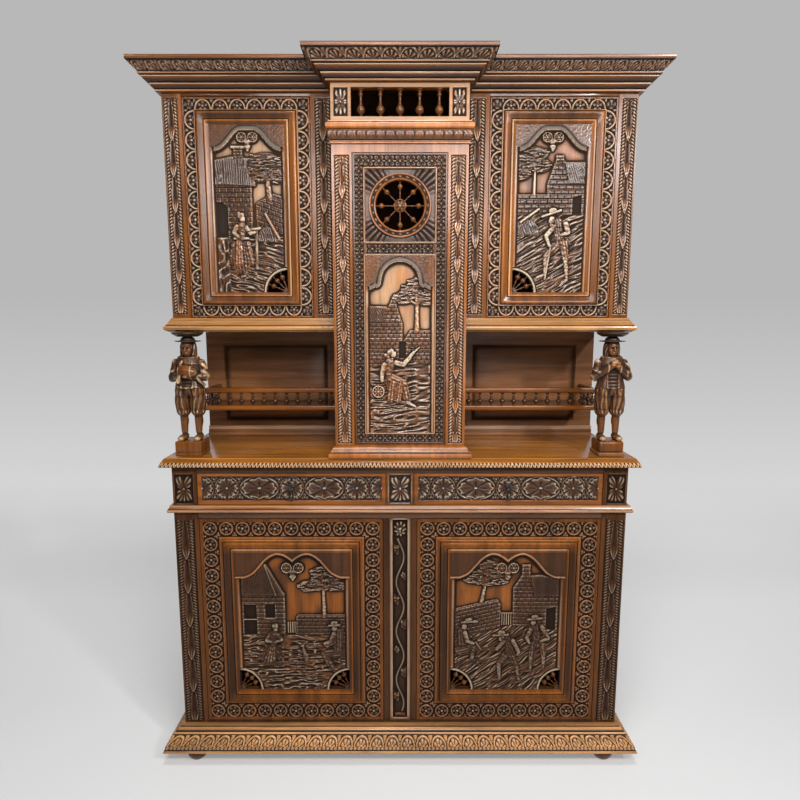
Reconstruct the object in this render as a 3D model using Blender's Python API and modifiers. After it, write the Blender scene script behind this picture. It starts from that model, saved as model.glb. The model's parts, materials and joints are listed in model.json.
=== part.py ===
"""Carved oak buffet in two stages: cupboards, drawers, niche with figures, column and cornice.

Metres, X to the right, Y to the back, Z up, origin on the floor under the middle of the piece.
"""

import math

import bmesh
import bpy
from mathutils import Matrix, Vector

# Clearances
SEAT = 0.0003
DOOR_GAP = 0.002

# Overall plan and board thicknesses
CARCASS_WIDTH = 1.40
CARCASS_DEPTH = 0.39
UPPER_SETBACK = 0.073
BOARD = 0.022
LOWER_BACK = 0.018
UPPER_BACK = 0.030
FRAME = 0.024
PANEL = 0.014

# Lower stage, from the floor up
FOOT_HEIGHT = 0.050
FOOT_DIAMETER = 0.070
FOOT_FORWARD = 0.030
PLINTH_HEIGHT = 0.0706
PLINTH_PROJECTION = 0.055
BASE_RAIL_SHOW = 0.0064
LOWER_DOOR_OPENING = 0.684
WAIST_RAIL = 0.020
WAIST_MOULDING = 0.024
WAIST_PROJECTION = 0.016
DRAWER_OPENING = 0.101
TOP_RAIL = 0.020
TABLE_THICKNESS = 0.030
TABLE_OVERHANG = 0.0285
POST_WIDTH = 0.075
POST_DEPTH = 0.050
RAIL_DEPTH = 0.030
CENTRE_STILE = 0.104
STILE_RECESS = 0.003
CENTRE_BLOCK = 0.084
LOWER_BORDER = 0.066
LOWER_MOULDING = 0.042

# Upper stage, from the table up
NICHE_HEIGHT = 0.378
NICHE_BASE_HEIGHT = 0.031
NICHE_BASE_PROJECTION = 0.014
NICHE_STILE = 0.060
NICHE_RECESS = 0.006
LEDGE_HEIGHT = 0.043
LEDGE_PROJECTION = 0.023
UPPER_DOOR_OPENING = 0.643
HEAD_RAIL = 0.009
CORNICE_HEIGHT = 0.076
CORNICE_PROJECTION = 0.0705
CORNICE_RIM = 0.020
DUST_BOARD = 0.014
OUTER_STILE = 0.057
STILE_DEPTH = 0.045
INNER_STILE = 0.068
UPPER_BORDER = 0.035
UPPER_MOULDING = 0.041

# Centre column
COLUMN_WIDTH = 0.392
COLUMN_STILE = 0.058
COLUMN_BASE_HEIGHT = 0.034
COLUMN_BASE_PROJECTION = 0.020
COLUMN_SILL = 0.005
COLUMN_HEAD = 0.0276
FRIEZE_HEIGHT = 0.0318
FRIEZE_PROJECTION = 0.008
TORUS_HEIGHT = 0.0246
TORUS_PROJECTION = 0.014
ATTIC_HEIGHT = 0.102
ATTIC_OPENING = 0.278
ATTIC_RAIL = 0.012
ATTIC_SPINDLES = 5
CENTRE_BORDER = 0.035
CENTRE_HEAD_BORDER = 0.043
CENTRE_BAND = 0.041
WHEEL_RING_SHARE = 0.90
WHEEL_OPENING_SHARE = 0.70
WHEEL_HUB_SHARE = 0.19
WHEEL_SPOKES = 8
WHEEL_FACETS = 24
WHEEL_BOARD = 0.012

# Door mouldings, panels and corner fans
MOULDING_RISE = 0.012
MOULDING_SINK = 0.004
REBATE = 0.012
FAN_RADIUS = 0.066
FAN_HUB = 0.016
FAN_SPINDLES = 3

# Hinge pins
PIN_DIAMETER = 0.006
PIN_LENGTH = 0.024
PIN_INSET = 0.012
PIN_SETBACK = 0.006

# Turned work
SPINDLE_DIAMETER = 0.013
SPINDLE_ENTRY = 0.003
SPINDLE_SIDES = 6

# Gallery shelves in the niche
GALLERY_FRONT = 0.220
GALLERY_INSET = 0.034
GALLERY_RISE = 0.110
GALLERY_BOARD = 0.017
GALLERY_SPINDLE = 0.0435
GALLERY_RAIL = 0.0165
GALLERY_RAIL_DEPTH = 0.016
GALLERY_PITCH = 0.040

# Figures under the ledge
FIGURE_INSET = 0.052
FIGURE_DEPTH = 0.046
FIGURE_BLOCK_WIDTH = 0.080
FIGURE_BLOCK_HEIGHT = 0.045
FIGURE_CAPITAL_HEIGHT = 0.012
FIGURE_CAPITAL_DIAMETER = 0.092
# Rounded forms as shares of the figure's height: across, forward, up, then half sizes across, deep, up
FIGURE_HEAD = (0.0, 0.012, 0.865, 0.059, 0.066, 0.097)
FIGURE_CHEST = (0.0, 0.0, 0.645, 0.134, 0.094, 0.162)
FIGURE_HIPS = (0.0, 0.0, 0.50, 0.128, 0.097, 0.156)
FIGURE_THIGH = (0.066, 0.0, 0.37, 0.072, 0.084, 0.156)
FIGURE_SHOE = (0.069, 0.037, 0.022, 0.037, 0.081, 0.034)
FIGURE_HANDS = (0.019, 0.112, 0.64, 0.062, 0.044, 0.069)
# Limbs as shares of the height: across, forward and up at both ends, then the two radii
FIGURE_NECK = (0.0, 0.0, 0.74, 0.0, 0.0, 0.82, 0.047, 0.037)
FIGURE_SHIN = (0.066, 0.006, 0.06, 0.066, 0.0, 0.32, 0.033, 0.039)
FIGURE_UPPER_ARM = (0.125, 0.0, 0.745, 0.165, 0.012, 0.585, 0.044, 0.041)
FIGURE_FOREARM = (0.165, 0.019, 0.585, 0.031, 0.112, 0.64, 0.041, 0.031)
# Hat as shares of the height: radius and rise, from the crown down
FIGURE_HAT = ((0.056, 1.004), (0.062, 0.955), (0.115, 0.948), (0.115, 0.935), (0.062, 0.93))

# Drawers and their drop pulls
DRAWER_FRONT = 0.020
DRAWER_DEPTH = 0.320
DRAWER_WALL = 0.010
DRAWER_BOTTOM = 0.008
DRAWER_SIDE_DROP = 0.014
PULL_RISE = 0.014
PULL_STANDOFF = 0.0105
PULL_PLATE_DIAMETER = 0.020
PULL_PLATE = 0.003
PULL_PIN_DIAMETER = 0.0032
PULL_EYE_WIDTH = 0.0036
PULL_EYE_HEIGHT = 0.009
PULL_FORK_WIDTH = 0.0135
PULL_NECK = 0.010
PULL_LENGTH = 0.047
PULL_DROP_DIAMETER = 0.015
PULL_CLEARANCE = 0.0005

# Levels and planes that follow from the sizes above
HALF_WIDTH = CARCASS_WIDTH / 2
FRONT_Y = (CORNICE_PROJECTION - CARCASS_DEPTH) / 2
BACK_Y = FRONT_Y + CARCASS_DEPTH
UPPER_Y = FRONT_Y + UPPER_SETBACK
NICHE_Y = BACK_Y - UPPER_BACK
PLINTH_TOP = FOOT_HEIGHT + PLINTH_HEIGHT
BASE_TOP = PLINTH_TOP + BASE_RAIL_SHOW
WAIST_Z = BASE_TOP + LOWER_DOOR_OPENING
DECK_TOP = WAIST_Z + WAIST_RAIL + WAIST_MOULDING
DRAWER_TOP = DECK_TOP + DRAWER_OPENING
TABLE_Z = DRAWER_TOP + TOP_RAIL
TABLE_TOP = TABLE_Z + TABLE_THICKNESS
LEDGE_Z = TABLE_TOP + NICHE_HEIGHT
LEDGE_TOP = LEDGE_Z + LEDGE_HEIGHT
HEAD_Z = LEDGE_TOP + UPPER_DOOR_OPENING
CORNICE_Z = HEAD_Z + HEAD_RAIL
ATTIC_Z = CORNICE_Z - ATTIC_HEIGHT
COLUMN_HALF = COLUMN_WIDTH / 2
COLUMN_DOOR_HALF = COLUMN_HALF - COLUMN_STILE
COLUMN_DOOR_Z = TABLE_TOP + COLUMN_BASE_HEIGHT + COLUMN_SILL
FRIEZE_Z = ATTIC_Z - TORUS_HEIGHT - FRIEZE_HEIGHT
COLUMN_DOOR_TOP = FRIEZE_Z - COLUMN_HEAD
GALLERY_END = HALF_WIDTH - GALLERY_INSET
FIGURE_X = HALF_WIDTH - FIGURE_INSET
SIDES = (("left", -1), ("right", 1))

# Finishes: colour, roughness, metallic
OAK = ((0.16, 0.070, 0.024), 0.38, 0.0)
HONEY_OAK = ((0.30, 0.135, 0.035), 0.32, 0.0)
DARK_OAK = ((0.085, 0.036, 0.014), 0.45, 0.0)
INNER_OAK = ((0.22, 0.125, 0.060), 0.70, 0.0)
IRON = ((0.045, 0.040, 0.035), 0.45, 1.0)


def clear_scene():
    """Removes whatever the opened file holds."""
    for item in list(bpy.data.objects):
        bpy.data.objects.remove(item, do_unlink=True)


def make_collection(name):
    """A new collection under the scene's own."""
    collection = bpy.data.collections.new(name)
    bpy.context.scene.collection.children.link(collection)
    return collection


clear_scene()
BUFFET = make_collection("buffet_cabinet")
WORKSHOP = make_collection("workshop")


def finish_material(name, finish):
    """Principled material of one piece."""
    colour, roughness, metallic = finish
    material = bpy.data.materials.new(name + "_finish")
    material.use_nodes = True
    shader = material.node_tree.nodes["Principled BSDF"]
    shader.inputs["Base Color"].default_value = (*colour, 1.0)
    shader.inputs["Roughness"].default_value = roughness
    shader.inputs["Metallic"].default_value = metallic
    return material


def solid(bm):
    """Workshop object from a bmesh, its faces turned outwards."""
    bmesh.ops.recalc_face_normals(bm, faces=bm.faces)
    mesh = bpy.data.meshes.new("stock")
    bm.to_mesh(mesh)
    bm.free()
    item = bpy.data.objects.new("stock", mesh)
    WORKSHOP.objects.link(item)
    return item


def discard(item):
    """Removes a workshop object that has been used up."""
    bpy.data.objects.remove(item, do_unlink=True)


def baked(item):
    """Replaces an object by the closed mesh that its modifiers or curve give."""
    graph = bpy.context.evaluated_depsgraph_get()
    mesh = bpy.data.meshes.new_from_object(item.evaluated_get(graph), depsgraph=graph)
    bm = bmesh.new()
    bm.from_mesh(mesh)
    bm.transform(item.matrix_world)
    bmesh.ops.remove_doubles(bm, verts=bm.verts, dist=1e-6)
    discard(item)
    return solid(bm)


def block(x, y, z):
    """Box between three ranges."""
    bm = bmesh.new()
    bmesh.ops.create_cube(bm, size=1.0)
    for axis, limits in enumerate((x, y, z)):
        low, high = min(limits), max(limits)
        for vert in bm.verts:
            vert.co[axis] = low + (vert.co[axis] + 0.5) * (high - low)
    return solid(bm)


def board(loops, span, upright=True):
    """Flat board with holes: the first loop is its outline, in XZ if upright, else in XY."""
    curve = bpy.data.curves.new("outline", "CURVE")
    curve.dimensions = "2D"
    curve.fill_mode = "BOTH"
    curve.extrude = (max(span) - min(span)) / 2
    for loop in loops:
        spline = curve.splines.new("POLY")
        spline.points.add(len(loop) - 1)
        for point, (u, v) in zip(spline.points, loop):
            point.co = (u, v, 0.0, 1.0)
        spline.use_cyclic_u = True
    item = bpy.data.objects.new("outline", curve)
    WORKSHOP.objects.link(item)
    middle = (max(span) + min(span)) / 2
    if upright:
        item.matrix_world = Matrix.Translation((0, middle, 0)) @ Matrix.Rotation(math.pi / 2, 4, "X")
    else:
        item.matrix_world = Matrix.Translation((0, 0, middle))
    bpy.context.view_layer.update()
    return baked(item)


def rectangle(x, z):
    """Corner loop of a rectangle."""
    return [(min(x), min(z)), (max(x), min(z)), (max(x), max(z)), (min(x), max(z))]


def turned(profile, sides, place=Matrix()):
    """Turned solid about the local Z axis; profile lists (radius, height) from the top down."""
    mesh = bpy.data.meshes.new("profile")
    points = [(0.0, profile[0][1])] + list(profile) + [(0.0, profile[-1][1])]
    edges = [(i, i + 1) for i in range(len(points) - 1)]
    mesh.from_pydata([(radius, 0.0, height) for radius, height in points], edges, [])
    item = bpy.data.objects.new("profile", mesh)
    WORKSHOP.objects.link(item)
    lathe = item.modifiers.new("Lathe", "SCREW")
    lathe.steps = lathe.render_steps = sides
    lathe.use_merge_vertices = True
    lathe.merge_threshold = 1e-5
    item.matrix_world = place
    bpy.context.view_layer.update()
    return baked(item)


def between(start, end):
    """Placing matrix whose origin is halfway between two points and whose Z runs along them."""
    start, end = Vector(start), Vector(end)
    turn = (end - start).to_track_quat("Z", "Y").to_matrix().to_4x4()
    return Matrix.Translation((start + end) / 2) @ turn


def loft(rings, closed=False):
    """Solid through equal rings of points, capped at both ends or closed on itself."""
    bm = bmesh.new()
    loops = [[bm.verts.new(point) for point in ring] for ring in rings]
    count = len(loops[0])
    follow = loops[1:] + loops[:1] if closed else loops[1:]
    for ring, after in zip(loops, follow):
        for i in range(count):
            j = (i + 1) % count
            bm.faces.new((ring[i], ring[j], after[j], after[i]))
    if not closed:
        bm.faces.new(loops[0])
        bm.faces.new(loops[-1])
    return solid(bm)


def offset_path(path, out, closed=False):
    """Path moved sideways by out, to the right of its direction, with mitred corners."""
    points = [Vector(point) for point in path]
    moved = []
    for i, point in enumerate(points):
        before = points[i - 1] if i or closed else None
        after = points[(i + 1) % len(points)] if i + 1 < len(points) or closed else None
        legs = [(b - a).normalized() for a, b in ((before, point), (point, after)) if a and b]
        normals = [Vector((leg.y, -leg.x)) for leg in legs]
        mitre = (normals[0] + normals[-1]).normalized()
        moved.append(point + mitre * (out / mitre.dot(normals[0])))
    return moved


def moulding(path, profile):
    """Moulding along a path in plan; profile lists (projection, height)."""
    runs = [offset_path(path, out) for out, _ in profile]
    rings = []
    for i in range(len(path)):
        rings.append([(run[i].x, run[i].y, height) for run, (_, height) in zip(runs, profile)])
    return loft(rings)


def frame_moulding(x, z, profile, face_y):
    """Mitred moulding round a rectangle; profile lists (distance inwards, rise above the face)."""
    corners = rectangle(x, z)
    path = [corners[0], corners[3], corners[2], corners[1]]
    runs = [offset_path(path, inward, closed=True) for inward, _ in profile]
    rings = []
    for i in range(len(path)):
        rings.append([(run[i].x, face_y - rise, run[i].y) for run, (_, rise) in zip(runs, profile)])
    return loft(rings, closed=True)


def slab(x, y, levels, sides):
    """Board with a moulded edge; levels list (height, projection), sides name the moulded edges."""
    rings = []
    for height, out in levels:
        left = min(x) - (out if "left" in sides else 0.0)
        right = max(x) + (out if "right" in sides else 0.0)
        front = min(y) - out
        corners = ((left, front), (right, front), (right, max(y)), (left, max(y)))
        rings.append([(*corner, height) for corner in corners])
    return loft(rings)


def gathered(items):
    """One workshop object that holds the bodies of several."""
    bm = bmesh.new()
    for item in items:
        bm.from_mesh(item.data)
        discard(item)
    return solid(bm)


def carved(base, tools, operation):
    """Applies Boolean tools to a base and uses the tools up."""
    for tool in tools:
        step = base.modifiers.new(operation.title(), "BOOLEAN")
        step.operation = operation
        step.solver = "EXACT"
        step.object = tool
    bpy.context.view_layer.update()
    result = baked(base)
    for tool in tools:
        discard(tool)
    return result


def union(base, *tools):
    """Base joined with each tool."""
    return carved(base, tools, "UNION")


def cut(base, *tools):
    """Base with each tool taken away."""
    return carved(base, tools, "DIFFERENCE")


def piece(name, stock, finish, joint=None):
    """Turns workshop stock into a named piece, hung on its joint's empty where it moves."""
    stock.name = name
    stock.data.name = name
    stock.data.materials.append(finish_material(name, finish))
    stock.data.shade_smooth()
    stock.data.set_sharp_from_angle(angle=math.radians(35))
    WORKSHOP.objects.unlink(stock)
    BUFFET.objects.link(stock)
    if joint:
        stock.parent = joint
        stock.matrix_parent_inverse = joint.matrix_world.inverted()


def joint_empty(name, place, parent=None):
    """Empty on a joint's axis."""
    empty = bpy.data.objects.new(name, None)
    BUFFET.objects.link(empty)
    empty.empty_display_size = 0.05
    empty.location = place
    if parent:
        empty.parent = parent
        empty.matrix_parent_inverse = parent.matrix_world.inverted()
    bpy.context.view_layer.update()
    return empty


def spindle(start, end, diameter=SPINDLE_DIAMETER, entry=SPINDLE_ENTRY):
    """Turned spindle between two points, its ends entering their rails."""
    half = (Vector(end) - Vector(start)).length / 2 + entry
    radius = diameter / 2
    shape = ((1.0, 0.55), (0.52, 1.00), (0.0, 0.50), (-0.52, 1.00), (-1.0, 0.55))
    profile = [(share * radius, along * half) for along, share in shape]
    return turned(profile, SPINDLE_SIDES, between(start, end))


def arc(centre, radius, start, end, steps):
    """Points on an arc, angles in degrees."""
    points = []
    for i in range(steps + 1):
        angle = math.radians(start + (end - start) * i / steps)
        points.append((centre[0] + radius * math.cos(angle), centre[1] + radius * math.sin(angle)))
    return points


def hinge_pin(x, y, shoulder, up):
    """Pin across the gap between a door end and the piece beside it; shoulder is that piece's face."""
    depth = (PIN_LENGTH - DOOR_GAP) / 2
    low, high = shoulder - depth, shoulder + DOOR_GAP + depth
    if not up:
        low, high = shoulder - DOOR_GAP - depth, shoulder + depth
    radius = PIN_DIAMETER / 2
    return turned([(radius, high), (radius, low)], 12, Matrix.Translation((x, y, 0)))


def pin_hole(x, y, face, up):
    """Cutter of a blind pin hole that goes up or down from a face."""
    depth = (PIN_LENGTH - DOOR_GAP) / 2 + 2 * SEAT
    radius = PIN_DIAMETER / 2 + SEAT
    past = DOOR_GAP / 2
    low, high = (face - past, face + depth) if up else (face - depth, face + past)
    return turned([(radius, high), (radius, low)], 12, Matrix.Translation((x, y, 0)))


class DoorPlace:
    """Where a door stands: its opening, its front plane and its hinge side."""

    def __init__(self, x, z, front, hinge_sign):
        self.x = (min(x) + DOOR_GAP, max(x) - DOOR_GAP)
        self.z = (min(z) + DOOR_GAP, max(z) - DOOR_GAP)
        self.sill, self.lintel = min(z), max(z)
        self.front = front
        edge = self.x[0] if hinge_sign < 0 else self.x[1]
        self.pin_x = edge - hinge_sign * PIN_INSET
        self.pin_y = front + PIN_SETBACK


LOWER_DOORS = {
    side: DoorPlace(
        (sign * CENTRE_STILE / 2, sign * (HALF_WIDTH - POST_WIDTH)), (BASE_TOP, WAIST_Z), FRONT_Y, sign
    )
    for side, sign in SIDES
}
UPPER_DOORS = {
    side: DoorPlace(
        (sign * (COLUMN_HALF + INNER_STILE), sign * (HALF_WIDTH - OUTER_STILE)), (LEDGE_TOP, HEAD_Z),
        UPPER_Y, sign,
    )
    for side, sign in SIDES
}
CENTRE_DOOR = DoorPlace(
    (-COLUMN_DOOR_HALF, COLUMN_DOOR_HALF), (COLUMN_DOOR_Z, COLUMN_DOOR_TOP), FRONT_Y, -1
)


def sill_hole(door):
    """Pin hole in the piece under a door."""
    return pin_hole(door.pin_x, door.pin_y, door.sill, False)


def lintel_hole(door):
    """Pin hole in the piece over a door."""
    return pin_hole(door.pin_x, door.pin_y, door.lintel, True)


def stage_floor(top, front_low):
    """Floor of the lower stage: full width behind the posts, a rail down to front_low between them."""
    wide = HALF_WIDTH - BOARD - SEAT
    tongue = HALF_WIDTH - POST_WIDTH - SEAT
    step = FRONT_Y + POST_DEPTH + SEAT
    floor = block((-wide, wide), (step, BACK_Y - LOWER_BACK - SEAT), (top - BOARD, top))
    return union(floor, block((-tongue, tongue), (FRONT_Y, step + BOARD), (front_low, top)))


def around(half, front, rear):
    """Path in plan round the left side, the front and the right side."""
    return [(-half, rear), (-half, front), (half, front), (half, rear)]


def build_feet():
    """Four turned bun feet."""
    radius = FOOT_DIAMETER / 2
    shape = ((0.60, 1.0), (0.66, 0.84), (0.92, 0.72), (1.0, 0.48), (0.92, 0.22), (0.66, 0.0))
    profile = [(share * radius, rise * (FOOT_HEIGHT - SEAT)) for share, rise in shape]
    for side, sign in SIDES:
        for place, y in (("front", FRONT_Y + radius - FOOT_FORWARD), ("rear", BACK_Y - radius)):
            spot = Matrix.Translation((sign * (HALF_WIDTH - radius), y, 0))
            piece(f"foot_{place}_{side}", turned(profile, 16, spot), DARK_OAK)


def build_plinth():
    """Moulding round the foot of the lower stage."""
    shape = (
        (0.0, 0.0), (1.0, 0.0), (1.0, 0.12), (0.90, 0.17), (0.90, 0.25),
        (0.55, 0.67), (0.44, 0.72), (0.44, 0.81), (0.22, 0.90), (0.22, 1.0), (0.0, 1.0),
    )
    profile = [
        (SEAT + out * (PLINTH_PROJECTION - SEAT), FOOT_HEIGHT + rise * PLINTH_HEIGHT) for out, rise in shape
    ]
    piece("plinth_moulding", moulding(around(HALF_WIDTH, FRONT_Y, BACK_Y), profile), OAK)


def build_lower_case():
    """Floor, posts, centre stile, sides, back and shelf of the lower stage."""
    floor = stage_floor(BASE_TOP, BASE_TOP - BOARD)
    piece("base_board", cut(floor, *[sill_hole(door) for door in LOWER_DOORS.values()]), OAK)
    height = (FOOT_HEIGHT, TABLE_Z - SEAT)
    for side, sign in SIDES:
        outer = sign * HALF_WIDTH
        post = block((sign * (HALF_WIDTH - POST_WIDTH), outer), (FRONT_Y, FRONT_Y + POST_DEPTH), height)
        piece(f"lower_corner_post_{side}", post, OAK)
        wall = block((sign * (HALF_WIDTH - BOARD), outer), (FRONT_Y + POST_DEPTH + SEAT, BACK_Y), height)
        piece(f"lower_side_{side}", wall, OAK)
    inner = HALF_WIDTH - BOARD - SEAT
    stile = block(
        (-CENTRE_STILE / 2, CENTRE_STILE / 2), (FRONT_Y + STILE_RECESS, FRONT_Y + STILE_DEPTH),
        (BASE_TOP + SEAT, WAIST_Z - SEAT),
    )
    piece("lower_centre_stile", stile, OAK)
    piece("lower_back", block((-inner, inner), (BACK_Y - LOWER_BACK, BACK_Y), height), INNER_OAK)
    middle = (BASE_TOP + WAIST_Z) / 2
    shelf = block(
        (-inner, inner), (FRONT_Y + POST_DEPTH + BOARD, BACK_Y - LOWER_BACK - SEAT), (middle - BOARD, middle)
    )
    piece("lower_shelf", shelf, INNER_OAK)


def build_drawer_frame():
    """Deck under the drawers with its waist moulding, the drawer partition and the rail over it."""
    tongue = HALF_WIDTH - POST_WIDTH - SEAT
    rail_y = (FRONT_Y, FRONT_Y + RAIL_DEPTH)
    deck = stage_floor(DECK_TOP, WAIST_Z)
    shape = (
        (0.0, 0.0), (0.30, 0.0), (0.85, 0.12), (1.0, 0.24), (1.0, 0.44), (0.72, 0.72), (0.55, 1.0),
        (0.0, 1.0),
    )
    low = WAIST_Z + WAIST_RAIL
    profile = [
        (SEAT + out * (WAIST_PROJECTION - SEAT), low + rise * (WAIST_MOULDING - SEAT)) for out, rise in shape
    ]
    waist = moulding(around(HALF_WIDTH, FRONT_Y, BACK_Y), profile)
    inset = WAIST_MOULDING / 4
    key = block(
        (-tongue, tongue), (FRONT_Y - WAIST_PROJECTION / 3, FRONT_Y + RAIL_DEPTH / 2),
        (low + inset, DECK_TOP - inset),
    )
    block_half = CENTRE_BLOCK / 2
    centre = block((-block_half, block_half), rail_y, (DECK_TOP - BOARD / 2, TABLE_Z - SEAT))
    wall = block(
        (-BOARD / 2, BOARD / 2), (FRONT_Y + RAIL_DEPTH / 2, BACK_Y - LOWER_BACK - SEAT),
        (DECK_TOP - BOARD / 2, TABLE_Z - SEAT),
    )
    rail = block((-tongue, tongue), rail_y, (DRAWER_TOP, TABLE_Z - SEAT))
    frame = union(deck, key, waist, union(centre, wall, rail))
    piece("drawer_frame", cut(frame, *[lintel_hole(door) for door in LOWER_DOORS.values()]), OAK)


def build_table():
    """Table top with a moulded edge on three sides."""
    shape = ((0.0, 0.20), (0.20, 0.90), (0.30, 1.0), (0.44, 1.0), (0.64, 0.78), (0.86, 0.58), (1.0, 0.48))
    levels = [(TABLE_Z + rise * TABLE_THICKNESS, out * TABLE_OVERHANG) for rise, out in shape]
    top = slab((-HALF_WIDTH, HALF_WIDTH), (FRONT_Y, BACK_Y), levels, ("left", "right"))
    piece("table_top", top, HONEY_OAK)


def build_upper_back():
    """Back of the upper stage, with a sunk panel and a stepped foot on each side of the niche."""
    back = block((-HALF_WIDTH, HALF_WIDTH), (NICHE_Y, BACK_Y), (TABLE_TOP + SEAT, CORNICE_Z - SEAT))
    feet, sinks = [], []
    low = TABLE_TOP + SEAT
    for _, sign in SIDES:
        run = (sign * (COLUMN_HALF + COLUMN_BASE_PROJECTION), sign * (HALF_WIDTH - SEAT))
        inside = NICHE_Y + UPPER_BACK / 3
        step = NICHE_BASE_PROJECTION
        feet.append(block(run, (NICHE_Y - step, inside), (low, low + NICHE_BASE_HEIGHT / 2)))
        feet.append(block(run, (NICHE_Y - step / 2, inside), (low, low + NICHE_BASE_HEIGHT)))
        sink_x = (sign * (COLUMN_HALF + NICHE_STILE), sign * (HALF_WIDTH - NICHE_STILE))
        sink_z = (low + NICHE_BASE_HEIGHT + NICHE_STILE / 2, LEDGE_Z - NICHE_STILE * 0.75)
        sinks.append(block(sink_x, (NICHE_Y - SEAT, NICHE_Y + NICHE_RECESS), sink_z))
    piece("upper_back", cut(union(back, *feet), *sinks), DARK_OAK)


def build_upper_case():
    """Ledges, outer stiles, sides and shelves of the two upper cupboards."""
    shape = ((0.0, 0.30), (0.16, 1.0), (0.40, 1.0), (0.58, 0.52), (0.80, 0.40), (1.0, 0.16))
    levels = [(LEDGE_Z + rise * LEDGE_HEIGHT, out * LEDGE_PROJECTION) for rise, out in shape]
    rear = NICHE_Y - SEAT
    height = (LEDGE_TOP + SEAT, CORNICE_Z - SEAT)
    middle = (LEDGE_TOP + HEAD_Z) / 2
    for side, sign in SIDES:
        inner, outer = sign * (COLUMN_HALF + SEAT), sign * HALF_WIDTH
        ledge = slab((inner, outer), (UPPER_Y, rear), levels, (side,))
        piece(f"upper_ledge_{side}", cut(ledge, sill_hole(UPPER_DOORS[side])), OAK)
        stile = block((sign * (HALF_WIDTH - OUTER_STILE), outer), (UPPER_Y, UPPER_Y + STILE_DEPTH), height)
        piece(f"upper_outer_stile_{side}", stile, OAK)
        wall = block((sign * (HALF_WIDTH - BOARD), outer), (UPPER_Y + STILE_DEPTH + SEAT, rear), height)
        piece(f"upper_side_{side}", wall, OAK)
        shelf = block(
            (inner, sign * (HALF_WIDTH - BOARD - SEAT)), (UPPER_Y + STILE_DEPTH + BOARD, rear),
            (middle - BOARD, middle),
        )
        piece(f"upper_shelf_{side}", shelf, INNER_OAK)


def cornice_path(rear):
    """Plan of the cornice, broken forward over the column."""
    return [
        (-HALF_WIDTH, rear), (-HALF_WIDTH, UPPER_Y), (-COLUMN_HALF, UPPER_Y), (-COLUMN_HALF, FRONT_Y),
        (COLUMN_HALF, FRONT_Y), (COLUMN_HALF, UPPER_Y), (HALF_WIDTH, UPPER_Y), (HALF_WIDTH, rear),
    ]


def build_cornice():
    """Lift-off cornice with its dust board and the head rails over the upper doors."""
    shape = (
        (0.17, 0.0), (0.17, 0.10), (0.24, 0.13), (0.42, 0.24), (0.64, 0.43), (0.68, 0.46),
        (0.68, 0.53), (0.74, 0.68), (0.92, 0.80), (1.0, 0.83), (1.0, 1.0),
    )
    profile = [(out * CORNICE_PROJECTION, CORNICE_Z + rise * CORNICE_HEIGHT) for out, rise in shape]
    profile += [(-CORNICE_RIM, CORNICE_Z + CORNICE_HEIGHT), (-CORNICE_RIM, CORNICE_Z)]
    crown = moulding(cornice_path(BACK_Y), profile)
    plan = [tuple(point) for point in offset_path(cornice_path(BACK_Y - DUST_BOARD), -CORNICE_RIM / 2)]
    lift = CORNICE_HEIGHT / 12
    dust_board = board([plan], (CORNICE_Z + lift, CORNICE_Z + lift + DUST_BOARD), upright=False)
    rails = []
    for _, sign in SIDES:
        run = (sign * (COLUMN_HALF + INNER_STILE + SEAT), sign * (HALF_WIDTH - OUTER_STILE - SEAT))
        rails.append(block(run, (UPPER_Y, UPPER_Y + FRAME), (HEAD_Z, CORNICE_Z + lift + DUST_BOARD / 2)))
    crown = union(crown, dust_board, *rails)
    piece("cornice", cut(crown, *[lintel_hole(door) for door in UPPER_DOORS.values()]), OAK)


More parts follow.
